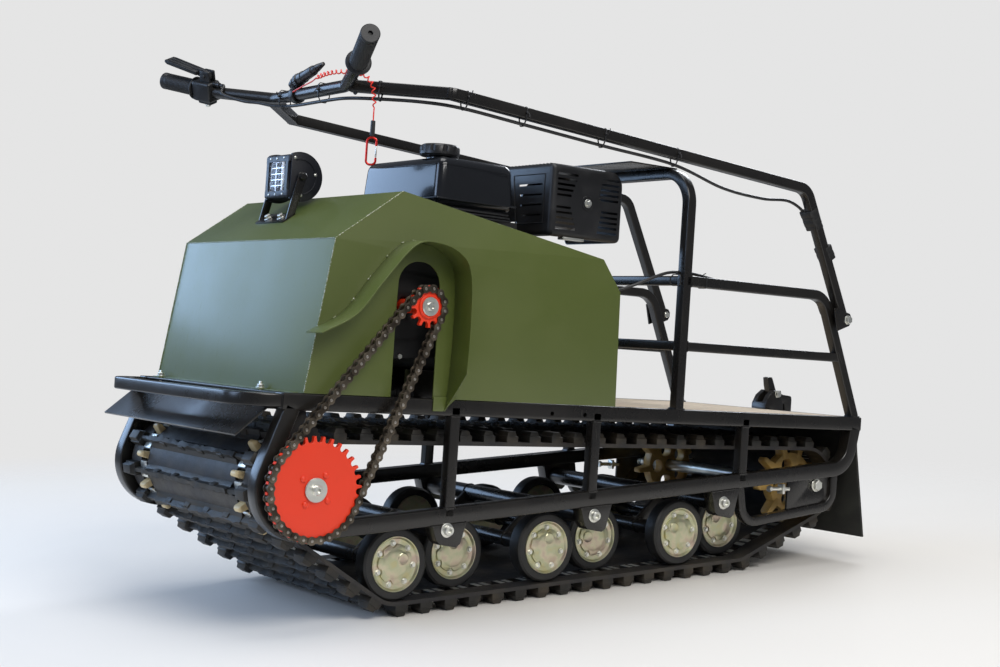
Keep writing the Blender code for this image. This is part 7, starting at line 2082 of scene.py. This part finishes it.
# %% [markdown]
# ## Tiller
# Two square tubes rise from the pivots, bend at the elbow and narrow to the handlebar.
# Round bar makes the handlebar. At the kink the section turns inwards and up at once, so
# the run in front of it is a tube of its own, and a small block fills the mitre.

# %% Tiller tubes
TILLER_TUBE = 0.020
ELBOW_U, ELBOW_W = 0.203 - DECK_LENGTH, 0.452
KINK_U, KINK_W = -0.247, 0.516
BAR_U, BAR_W, BAR_HALF, BAR_BEND_Y = -0.127, 0.526, 0.141, 0.128
BAR_RADIUS = 0.011
GRIP_START_Y, GRIP_END_Y = 0.262, 0.380
GRIP_SWEEP, GRIP_RISE = 0.430, 0.220
swept = GRIP_START_Y - 0.006 - BAR_BEND_Y
grip_root = Vector((BAR_U, BAR_BEND_Y, BAR_W)) + Vector((GRIP_SWEEP, 1, 0.118)) * swept
grip_way = Vector((GRIP_SWEEP, 1.0, GRIP_RISE))
bar_tip = grip_root + grip_way * (GRIP_END_Y - 0.007 - grip_root.y)
grip_way.normalize()
half_bar = [Vector((BAR_U, BAR_BEND_Y, BAR_W)), grip_root, bar_tip]
bar_line = [Vector((p.x, -p.y, p.z)) for p in reversed(half_bar)] + half_bar
arms = [round_bar("bar", bent(bar_line, 0.040, radians(6)), BAR_RADIUS, 8)]


def straight_tube(name, start, end, side, radius=0.0025):
    """A square tube between two points of space, with its sides kept upright."""
    start, end = Vector(start), Vector(end)
    way = (end - start).normalized()
    across_way = Z_AXIS.cross(way).normalized()
    up_way = way.cross(across_way)
    obj = square_tube(name, [(0, 0), ((end - start).length, 0)], side, Matrix.Identity(4), radius)
    obj.data.transform(Matrix.Translation(start) @ facing(way, across_way, up_way))
    return obj


tail = Vector((PIVOT_U, PIVOT_W))
elbow = Vector((ELBOW_U, ELBOW_W))
tail = tail - (elbow - tail).normalized() * 0.009
for side in (1, -1):
    y = side * TILLER_Y
    lower = bent([tail, elbow, (KINK_U, KINK_W)], 0.036, radians(9))
    arm = square_tube("arm", lower, TILLER_TUBE, in_side(y))
    arms.append(cut(arm, rod("pivot_hole", (PIVOT_U, y - 0.03, PIVOT_W), (PIVOT_U, y + 0.03, PIVOT_W),
                             0.0046, 24)))
    kink = Vector((KINK_U, y, KINK_W))
    before = Vector((lower[-2].x, y, lower[-2].y))
    into = (kink - before).normalized()
    to_bar = Vector((BAR_U - 0.002, side * BAR_HALF, BAR_W - 0.001))
    out = (to_bar - kink).normalized()
    arms.append(straight_tube("arm_front", kink - out * 0.004, to_bar, TILLER_TUBE))
    arms.append(block("kink_fill", (-0.0085, -0.0098, -0.0098), (0.0085, 0.0098, 0.0098), 0.0025))
    middle = (into + out).normalized()
    sideways = Z_AXIS.cross(middle).normalized()
    arms[-1].data.transform(Matrix.Translation(kink) @ facing(middle, sideways, middle.cross(sideways)))
    ring = [to_bar + Vector((0.003 * cos(a) - 0.010, 0.0125 * cos(a), 0.0120 * sin(a)))
            for a in [2 * pi * k / 18 for k in range(19)]]
    arms.append(weld_bead("bar_weld", ring, 0.0022))
assembled(arms, "tiller_tubes", BLACK_COAT, "tiller", "black_paint", "tiller")
report("tiller")

# %% [markdown]
# A grip is a turned rubber sleeve with a flange, fine ribs and a small hole in its end
# cap. The ribs are real steps in the profile, because they catch the light from the side.

# %% Grips
def beside(side, distance):
    """A point on a grip's axis, at a distance outwards from the bar's outer bend."""
    point = grip_root + grip_way * distance
    return Vector((point.x, side * point.y, point.z))


grip_from = (GRIP_START_Y - grip_root.y) / grip_way.y
grip_to = (GRIP_END_Y - grip_root.y) / grip_way.y
THROTTLE_LENGTH = 0.046
for side, name, start in ((1, "left", grip_from), (-1, "right", grip_from + THROTTLE_LENGTH)):
    length = grip_to - start
    profile = [(0, 0.0120), (0, 0.0205), (0.0012, 0.0218), (0.0030, 0.0218), (0.0042, 0.0205),
               (0.0050, 0.0160)]
    count = round((length - 0.022) / 0.0032)
    for k in range(count):
        at = 0.008 + (length - 0.020) * k / count
        profile.extend([(at, 0.0150), (at + 0.0008, 0.0158), (at + 0.0021, 0.0158), (at + 0.0029, 0.0150)])
    profile.extend([(length - 0.0085, 0.0150), (length - 0.0070, 0.0160), (length - 0.0014, 0.0160),
                    (length - 0.0002, 0.0146), (length - 0.0002, 0.0042), (length - 0.0050, 0.0038),
                    (length - 0.0052, 0.0118)])
    way = Vector((grip_way.x, side * grip_way.y, grip_way.z))
    sleeve = turned("sleeve", profile[:-1] + [(length - 0.0050, 0.0010)], beside(side, start), way, 44)
    finished(sleeve, "grip_sleeve_" + name, GRIP_RUBBER, "tiller", "black_rubber", "grip_" + name)
report("grips")

# %% [markdown]
# The throttle is a clamped body with a broad thumb paddle. Both are modelled in a frame of
# their own, whose X runs outwards along the grip and whose Y points up from it.

# %% Throttle
grip_axis = Vector((grip_way.x, -grip_way.y, grip_way.z))
over = Vector((0.45, 0, 0.89))
over = (over - grip_axis * over.dot(grip_axis)).normalized()
hinge_way = grip_axis.cross(over).normalized()
throttle_frame = Matrix.Translation(beside(-1, grip_from)) @ facing(grip_axis, over, hinge_way)
upright = Matrix.Rotation(-pi / 2, 4, "X")


def throttled(obj):
    obj.data.transform(throttle_frame)
    return obj


def paddle_plate(name, outline, low, high, bevel):
    """A plate drawn in the throttle's own plane."""
    obj = plate(name, [outline], low, high, bevel)
    obj.data.transform(throttle_frame @ upright)
    return obj


body = throttled(block("throttle", (0.0, -0.0190, -0.0170), (THROTTLE_LENGTH - 0.001, 0.0195, 0.0170),
                       0.005, 4))
parts = [body]
for low in (-0.0095, 0.0045):
    parts.append(throttled(block("horn", (0.004, 0.014, low), (0.028, 0.0405, low + 0.005), 0.0022)))
parts.append(throttled(block("clamp_foot", (0.006, -0.0255, -0.010), (0.038, -0.016, 0.010), 0.003)))
cover_ring = throttled(rod("lid", (0.022, 0.000, 0.0165), (0.022, 0.000, 0.0182), 0.0125, 32, 0.0005))
parts.append(cover_ring)
pivot = beside(-1, grip_from + 0.016) + over * 0.031
parts.append(rod("lever_pin", pivot - hinge_way * 0.0125, pivot + hinge_way * 0.0125, 0.0028, 18, 0.0004))
ferrule = beside(-1, grip_from + 0.002) + over * 0.016
parts.append(turned("ferrule", [(0, 0.0050), (0.006, 0.0050), (0.0065, 0.0042), (0.010, 0.0042),
                                (0.0105, 0.0050), (0.0158, 0.0046)], ferrule, -grip_axis, 24))
assembled(parts, "throttle_case", BLACK_PLASTIC, "tiller", "black_plastic", "throttle_body")
clamp = throttled(hex_bolt("clamp_bolt", (0.022, -0.0250, 0.0), (0, -1, 0), 0.0085, 0.0055, 0.0070))
finished(clamp, "clamp_bolt", BRIGHT_ZINC, "tiller", "bright_zinc")
root_line = [(0.008, 0.0255), (0.006, 0.031), (0.009, 0.037), (0.024, 0.041), (0.060, 0.0405),
             (0.060, 0.0330), (0.026, 0.0245)]
blade = [(0.034, 0.0305), (0.108, 0.0400), (0.114, 0.0440), (0.113, 0.0480), (0.106, 0.0480),
         (0.034, 0.0375)]
parts = [paddle_plate("lever_root", root_line, -0.0038, 0.0038, 0.0008),
         paddle_plate("paddle", blade, -0.0130, 0.0130, 0.0016)]
for z in (-0.0085, 0.0, 0.0085):
    rib = [(0.044, 0.0386), (0.104, 0.0478), (0.104, 0.0490), (0.044, 0.0398)]
    parts.append(paddle_plate("paddle_rib", rib, z - 0.0012, z + 0.0012, 0.0004))
assembled(parts, "throttle_paddle", BLACK_PLASTIC, "throttle_lever", "black_paint", "throttle_lever")
report("throttle")

# %% [markdown]
# The stop switch is a plug held to the bar by a strap. Pulling the cord out of it stops
# the engine. It is a stack of turned steps with a knurled ring and a ribbed strain relief.

# %% Stop switch
strap_y = -0.045
switch_start = Vector((BAR_U + 0.001, strap_y - 0.012, BAR_W + 0.0225))
switch_end = Vector((BAR_U + 0.006, 0.033, BAR_W + 0.040))
switch_way = (switch_end - switch_start).normalized()
length = (switch_end - switch_start).length
profile = [(0, 0.0082), (0.0016, 0.0098), (0.0070, 0.0102), (0.0074, 0.0090), (0.0126, 0.0090),
           (0.0130, 0.0117), (0.0225, 0.0117), (0.0229, 0.0094), (0.0270, 0.0094), (0.0274, 0.0108),
           (0.0400, 0.0108), (0.0410, 0.0096), (length - 0.014, 0.0090), (length - 0.013, 0.0072),
           (length, 0.0068)]
for k in range(7):
    at = length + 0.0036 * k
    profile.extend([(at + 0.0003, 0.0066 - 0.0005 * k), (at + 0.0022, 0.0066 - 0.0005 * k),
                    (at + 0.0026, 0.0050 - 0.0004 * k)])
parts = [turned("switch", profile, switch_start, switch_way, 36)]
for angle in turns(20):
    side_way = switch_way.cross(Z_AXIS).normalized()
    ray = side_way * cos(angle) + switch_way.cross(side_way) * sin(angle)
    parts.append(rod("knurl", switch_start + switch_way * 0.0138 + ray * 0.0114,
                     switch_start + switch_way * 0.0217 + ray * 0.0114, 0.0010, 6))
parts.append(turned("key", [(0, 0.0070), (0.010, 0.0075), (0.015, 0.0062)],
                    switch_start + switch_way * 0.003, -switch_way, 28))
strap = [(0.0, 0.0118), (0.0, 0.0148), (0.001, 0.0152), (0.013, 0.0152), (0.014, 0.0148), (0.014, 0.0118)]
parts.append(turned("strap", strap, (BAR_U, strap_y - 0.007, BAR_W), (0, 1, 0), 36, ring=True))
assembled(parts, "switch_body", BLACK_PLASTIC, "tiller", "black_plastic", "kill_switch")
ring_mid = switch_start - switch_way * 0.010 + Vector((0, 0, -0.004))
bpy.ops.mesh.primitive_torus_add(location=ring_mid, major_radius=0.0062, minor_radius=0.0009,
                                 major_segments=28, minor_segments=8, rotation=(0.4, 1.2, 0.3))
finished(settled(bpy.context.object, "key_ring"), "key_ring", BRIGHT_ZINC, "tiller", "bright_zinc")
report("stop switch")

# %% [markdown]
# ## Cords and cables
# Each free cord is a round tube along one smooth curve, through the places that it has in
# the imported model. The red safety cord curls round its own path: a point goes round a
# circle whose centre moves on, and the circle grows and shrinks at its ends.

# %% Cords
CURLS, CURL_POINTS = 17, 8
CORD_RADIUS = 0.0012
CABLE_RADIUS = 0.003
CORD_U, CORD_Y = -0.1480, 0.1905


def evenly(path, count):
    """Places at equal distances along a path, each with the way it heads."""
    marks = [0.0]
    for a, b in zip(path, path[1:]):
        marks.append(marks[-1] + (b - a).length)
    places = []
    k = 0
    for number in range(count + 1):
        distance = marks[-1] * number / count
        while k < len(path) - 2 and distance > marks[k + 1]:
            k += 1
        share = (distance - marks[k]) / (marks[k + 1] - marks[k])
        places.append((path[k].lerp(path[k + 1], share), (path[k + 1] - path[k]).normalized()))
    return places


def path_length(path):
    return sum((b - a).length for a, b in zip(path, path[1:]))


def free_cord(name, path, radius, resolution):
    """A cord as a curve whose points lie in the world."""
    cord = drawn_curve(name, [CHASSIS @ p for p in path], False)
    cord.data.bevel_depth = radius
    cord.data.bevel_resolution = resolution
    cord.data.use_fill_caps = True
    return cord


def dressed_cord(obj, name, material, body, slot, *nodes):
    obj.name = name
    obj.data.name = name
    obj.data.materials.append(material)
    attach(obj, body)
    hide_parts(*nodes)
    made.append(name)

# %% [markdown]
# The safety cord runs straight from the switch, curls along the bar's bend and hangs down
# to a red hook. The curls' circle is carried along the path with its plane turned to it.

# %% Safety cord
coil = smoothed([(-0.1100, 0.050, 0.5440), (-0.1080, 0.085, 0.5475), (-0.1110, 0.118, 0.5485),
                 (-0.1220, 0.147, 0.5470), (-0.1365, 0.173, 0.5410), (-0.1440, 0.187, 0.5240),
                 (-0.1470, 0.190, 0.5020), (CORD_U, CORD_Y, 0.4830)], 12)
curls = [Vector(p) for p in ((-0.1140, -0.0376, 0.5292), (-0.1120, 0.000, 0.5350),
                             (-0.1110, 0.035, 0.5400))]
side_way = Z_AXIS
total = CURLS * CURL_POINTS
for k, (point, way) in enumerate(evenly(coil, total)):
    side_way = (side_way - way * side_way.dot(way)).normalized()
    angle = 2 * pi * k / CURL_POINTS
    ease = min(1.0, k / CURL_POINTS, (total - k) / CURL_POINTS)
    curls.append(point + (side_way * cos(angle) + way.cross(side_way) * sin(angle)) * 0.0032 * ease)
curls.extend(Vector(p) for p in ((CORD_U, CORD_Y, 0.4790), (CORD_U, CORD_Y, 0.4600),
                                 (CORD_U, CORD_Y, 0.4385)))
kill_cord = free_cord("safety_cord", curls, CORD_RADIUS, 4)
dressed_cord(kill_cord, "safety_cord", RED_PLASTIC, "tiller", "red_cord", "kill_cord")
kill_length = path_length(curls)
HOOK_TOP = 0.4370
sleeve = turned("sleeve", [(0, 0.0030), (0.001, 0.0040), (0.024, 0.0042), (0.0266, 0.0032)],
                (CORD_U, CORD_Y, 0.4640), (0, 0, -1), 24)
finished(sleeve, "cord_sleeve", BLACK_PLASTIC, "tiller", "black_plastic")
report("safety cord")

# %% [markdown]
# The hook is a red loop of bar that stops short of closing, and a sprung zinc gate, which
# is a body of its own in the model, closes the gap.

# %% Hook and gate
hook_way = Vector((-0.809, 0.587, 0))
hook_mid = Vector((CORD_U, CORD_Y, HOOK_TOP - 0.025))
HOOK_HALF, HOOK_TALL, GATE_LOW, GATE_HIGH = 0.008, 0.023, -0.011, 0.009


def hook_point(a, b):
    return hook_mid + hook_way * a + Vector((0, 0, b))


hook_line = bent([(HOOK_HALF, GATE_HIGH), (HOOK_HALF, HOOK_TALL), (-HOOK_HALF, HOOK_TALL),
                  (-HOOK_HALF, -HOOK_TALL), (HOOK_HALF, -HOOK_TALL), (HOOK_HALF, GATE_LOW)], 0.0070,
                 radians(9))
hook = round_bar("hook", [hook_point(p.x, p.y) for p in hook_line], 0.0020, 5)
finished(hook, "hook_loop", RED_ALLOY, "tiller", "red_alloy", "carabiner")
neck = hook_point(HOOK_HALF, GATE_LOW + 0.0020)
gate = joined("gate", [rod("gate", neck, hook_point(HOOK_HALF, GATE_HIGH - 0.0006), 0.0015, 20, 0.0003),
                       rod("gate_foot", hook_point(HOOK_HALF, GATE_LOW + 0.0005),
                           neck + Vector((0, 0, 0.0002)), 0.0008, 16, end_radius=0.0014)])
finished(gate, "hook_gate", BRIGHT_ZINC, "carabiner_gate", "bright_zinc", "carabiner_gate")
report("hook and gate")

# %% [markdown]
# The throttle cable runs under the bar and the left arm, tied by plastic straps, and
# enters the rack beside the left pivot. A second cable carries on from there to the engine.

# %% Control cables
cable_y = TILLER_Y - TILLER_TUBE / 2 - CABLE_RADIUS - 0.0005
bar_end = Vector((BAR_U, BAR_HALF, BAR_W))
kink = Vector((KINK_U, TILLER_Y, KINK_W))
elbow_place = Vector((ELBOW_U, TILLER_Y, ELBOW_W))
start = beside(-1, grip_from - 0.0150) + over * 0.016


def under_arm(first, last, share, inwards, drop):
    """A place below the tube between two corners of the arm."""
    return first.lerp(last, share) - Vector((0, inwards, drop))


control = [start, start - grip_axis * 0.009, (-0.0655, -0.224, 0.5350), (-0.0890, -0.185, 0.5220),
           (-0.1040, -0.150, 0.5175), (-0.1180, -0.115, 0.5110), (-0.129, -0.060, 0.508),
           (-0.129, 0.060, 0.507), (-0.134, 0.125, 0.506), under_arm(bar_end, kink, 0.31, 0.0025, 0.0190),
           under_arm(bar_end, kink, 0.73, 0.0015, 0.0178),
           under_arm(kink, elbow_place, 0.032, 0.006, 0.0180),
           under_arm(kink, elbow_place, 0.177, -0.001, 0.0197),
           under_arm(kink, elbow_place, 0.385, -0.001, 0.0204),
           under_arm(kink, elbow_place, 0.590, 0.001, 0.0203),
           under_arm(kink, elbow_place, 0.742, 0.004, 0.0395),
           under_arm(kink, elbow_place, 0.870, 0.008, 0.0393),
           under_arm(kink, elbow_place, 0.969, 0.014, 0.0300), (PIVOT_U + 0.101, cable_y, 0.394),
           (PIVOT_U + 0.056, cable_y, 0.330), (PIVOT_U + 0.019, cable_y, 0.268),
           (PIVOT_U + 0.003, TILLER_Y - 0.0170, 0.225), (PIVOT_U, TILLER_Y - 0.0215, 0.2015),
           (PIVOT_U, TILLER_Y - 0.0260, 0.1985), (PIVOT_U, TILLER_Y - 0.0300, PIVOT_W),
           (PIVOT_U, TILLER_Y - 0.0330, PIVOT_W)]
control_path = smoothed([Vector(p) for p in control], 8)
control_cable = free_cord("throttle_cable", control_path, CABLE_RADIUS, 4)
dressed_cord(control_cable, "throttle_cable", BLACK_PLASTIC, "tiller", "black_plastic", "control_cable")

rack_inner_y = RAIL_Y - 0.010 - CABLE_RADIUS - 0.0005
frame_run = [(PIVOT_U, TILLER_Y - 0.0340, PIVOT_W), (PIVOT_U, TILLER_Y - 0.0370, PIVOT_W),
             (PIVOT_U + 0.005, TILLER_Y - 0.0375, 0.199), (PIVOT_U + 0.026, TILLER_Y - 0.0320, 0.208),
             (PIVOT_U + 0.061, rack_inner_y, 0.236), (PIVOT_U + 0.141, rack_inner_y, 0.240),
             (HOOP_U - 0.148, rack_inner_y, 0.246), (HOOP_U - 0.048, rack_inner_y, 0.2585),
             (HOOP_U, rack_inner_y, 0.2600), (HOOP_U + 0.042, rack_inner_y, 0.2540),
             (-0.700, rack_inner_y - 0.0115, 0.225), (-0.650, 0.205, 0.204), (-0.620, 0.150, 0.197),
             (-0.600, 0.105, 0.196), (-0.580, 0.095, 0.196), (-0.561, 0.095, 0.196)]
frame_path = smoothed([Vector(p) for p in frame_run], 8)
frame_cable = free_cord("engine_cable", frame_path, CABLE_RADIUS, 4)
dressed_cord(frame_cable, "engine_cable", BLACK_PLASTIC, "chassis", "black_plastic", "frame_cable")
print("cable points", len(control_path), len(frame_path))

# %% [markdown]
# Each cord's start is turned into the world and its length is worked out; the three
# lengths are printed.

# %% Cord ends and lengths
CHASSIS @ curls[0]
CHASSIS @ control_path[0]
path_length(control_path)
CHASSIS @ frame_path[0]
path_length(frame_path)
print("cords", round(kill_length, 4), round(path_length(control_path), 4),
      round(path_length(frame_path), 4), "m")

# %% [markdown]
# Plastic straps tie the cable to the tube. A strap is a thin band round tube and cable,
# with a square lock and a cut-off tail. They share one function, which takes the tube's
# place, its heading and how far below it the cable lies. Lower down the cable is held by
# black tape instead, four overlapping wraps at each of two places.

# %% Cable straps
STRAP_WIDENING = 2.0


def cable_strap(place, way, up, half, drop, tail, seed):
    """A band round a tube of the given half width and a cable lying a drop below it."""
    way = Vector(way).normalized()
    up = Vector(up)
    up = (up - way * up.dot(way)).normalized()
    side = way.cross(up)
    r = half + 0.0006
    ring = [(r, r * 0.72), (r * 0.72, r), (-r * 0.72, r), (-r, r * 0.72), (-r, -r),
            (-0.0046, -drop - 0.0036), (0.0046, -drop - 0.0036), (r, -r)]
    line = [Vector(place) + side * a + up * b for a, b in bent(ring + [ring[0]], 0.002, radians(30))]
    band_parts = [round_bar("strap", line, 0.0008, 2)]
    band_parts[0].data.transform(Matrix.Translation(-Vector(place)))
    to_strap = facing(way, side, up)
    widened = to_strap @ Matrix.Diagonal((STRAP_WIDENING, 1, 1, 1)) @ to_strap.transposed()
    band_parts[0].data.transform(Matrix.Translation(place) @ widened)
    lock = block("strap_lock", (-0.0024, -0.0024, -0.0018), (0.0024, 0.0024, 0.0018), 0.0005, 1)
    lock.data.transform(Matrix.Translation(Vector(place) + side * (half + 0.0020)) @ to_strap)
    tip = Vector(place) + side * (half + 0.0030) + way * 0.0010
    bend = tip + side * tail * 0.4 + up * tail * 0.3 * seed
    end = bend + side * tail * 0.2 + up * tail * 0.6 * seed
    band_parts += [lock, round_bar("strap_tail", smoothed([tip, bend, end], 4), 0.0009, 2)]
    return joined("strap", band_parts)

# %% [markdown]
# The straps go on where the cable meets the bar, the kink and the arm. Each differs a
# little in how its tail was cut.

# %% Straps and tape in place
straps = []
for y, drop, tail, seed in ((-0.090, 0.018, 0.008, 1), (0.052, 0.019, 0.010, -1)):
    straps.append(cable_strap(Vector((BAR_U, y, BAR_W)), Y_AXIS, (0, 0, 1), BAR_RADIUS, drop, tail, seed))
front_way_arm = (kink - bar_end).normalized()
straps.append(cable_strap(bar_end.lerp(kink, 0.31), front_way_arm, (0, 0, 1), TILLER_TUBE / 2, 0.0190,
                          0.010, 1))
arm_way = (elbow_place - kink).normalized()
for share, drop, tail, seed in ((0.032, 0.0180, 0.012, 1), (0.177, 0.0197, 0.009, -1),
                                (0.385, 0.0204, 0.011, 1), (0.590, 0.0203, 0.010, -1)):
    straps.append(cable_strap(kink.lerp(elbow_place, share), arm_way, (0, 0, 1), TILLER_TUBE / 2, drop,
                              tail, seed))
assembled(straps, "tiller_straps", BLACK_PLASTIC, "tiller", "black_plastic", angle=50)
tape = []
along_tube = Vector((0.56, 0, 0.83)).normalized()
to_tube = facing(Y_AXIS, along_tube, Y_AXIS.cross(along_tube))
for middle, half_length in (((PIVOT_U + 0.101, TILLER_Y - 0.0060, 0.394), 0.0200),
                            ((PIVOT_U + 0.056, TILLER_Y - 0.0060, 0.330), 0.0140)):
    for turn in range(4):
        grow = 0.0004 * (turn % 2)
        wide, tall = 0.0168 + grow, 0.0110 + grow
        section = bent([(0, tall), (-wide, tall), (-wide, -tall), (wide, -tall), (wide, tall), (0, tall)],
                       0.0060, radians(20))
        reach = half_length * (turn - 1.5) / 2
        wrap = plate("tape", [section[:-1]], reach - half_length * 0.30, reach + half_length * 0.30, 0.0003)
        wrap.data.transform(Matrix.Translation(Vector(middle)) @ to_tube)
        tape.append(wrap)
assembled(tape, "cable_tape", TYRE_RUBBER, "tiller", "black_plastic", angle=50)
straps = []
for u, w in ((HOOP_U + 0.020, RACK_UPPER), (HOOP_U - 0.048, RACK_UPPER)):
    straps.append(cable_strap((u, RAIL_Y, w), (1, 0, 0), (0, 1, 0), 0.010, 0.0140, 0.008, 1))
assembled(straps, "rack_straps", BLACK_PLASTIC, "chassis", "black_plastic", angle=50)
report("cords and cables")

# %% [markdown]
# ## Tow hitch
# The hitch is a bent strap with two cheeks, and a beaked latch that turns on its pin and
# closes over a drawbar's eye. Both are cut from plate, so both are flat outlines.

# %% Hitch
def at_rear(outline):
    return [(u - DECK_LENGTH, w) for u, w in outline]


cheek = at_rear([(0.019, 0.0005), (-0.0003, 0.0005), (-0.0003, -0.0065), (-0.0062, -0.0065),
                 (-0.0062, -0.032), (-0.079, -0.032), (-0.079, -0.020), (-0.035, -0.020), (-0.035, 0.010),
                 (-0.031, 0.022), (-0.025, 0.042), (-0.007, 0.042), (0.009, 0.030), (0.019, 0.012)])
hitch = plate("hitch", [cheek], -0.022, 0.022, 0.0012)
half = 0.0085
slot_u = -0.005 - DECK_LENGTH
cut(hitch, block("latch_slot", (slot_u - 0.080, -half, 0.0135), (slot_u, half, 0.08)),
    block("beak_slot", (slot_u - 0.0005, -half, 0.0155), (slot_u + 0.040, half, 0.08)))
HITCH_U, HITCH_W = -0.015 - DECK_LENGTH, 0.034
parts = [hitch, rod("hitch_weld_foot", (DECK_REAR + 0.006, -0.021, 0.0012),
                    (DECK_REAR + 0.006, 0.021, 0.0012), 0.0020, 12)]
assembled(parts, "hitch_body", BLACK_COAT, "chassis", "black_paint", "tow_hitch")
pin = [rod("hitch_pin", (HITCH_U, -0.0245, HITCH_W), (HITCH_U, 0.0245, HITCH_W), 0.0040, 24, 0.0006)]
for side in (1, -1):
    pin.append(hex_bolt("hitch_nut", (HITCH_U, side * 0.0220, HITCH_W), (0, side, 0), 0.0125, 0.0050,
                        0.0080, 0.0010))
plated(pin, "hitch_pin")
beak = at_rear([(0.003, 0.069), (-0.004, 0.0705), (-0.010, 0.070), (-0.015, 0.060), (-0.023, 0.043),
                (-0.034, 0.0372), (-0.048, 0.033), (-0.071, 0.031), (-0.0740, 0.028), (-0.075, 0.022),
                (-0.075, -0.0195), (-0.055, -0.0195), (-0.0545, 0.000), (-0.052, 0.013), (-0.037, 0.0145),
                (-0.021, 0.0225), (-0.009, 0.024), (-0.006, 0.034), (0.000, 0.052)])
latch = plate("latch", [beak, circle(HITCH_U, HITCH_W, 0.0046, 20)[::-1]], -0.0080, 0.0080, 0.0010)
finished(latch, "hitch_latch", BLACK_COAT, "hitch_lever", "black_paint", "hitch_lever")
report("hitch")

# %% [markdown]
# ## Finish
# The object's box is measured and printed, with the number of pieces made.

# %% Size and finish
high_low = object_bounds()
low, high = high_low
print("visual box", [round(v, 4) for v in (*low, *high)], "pieces", len(made))
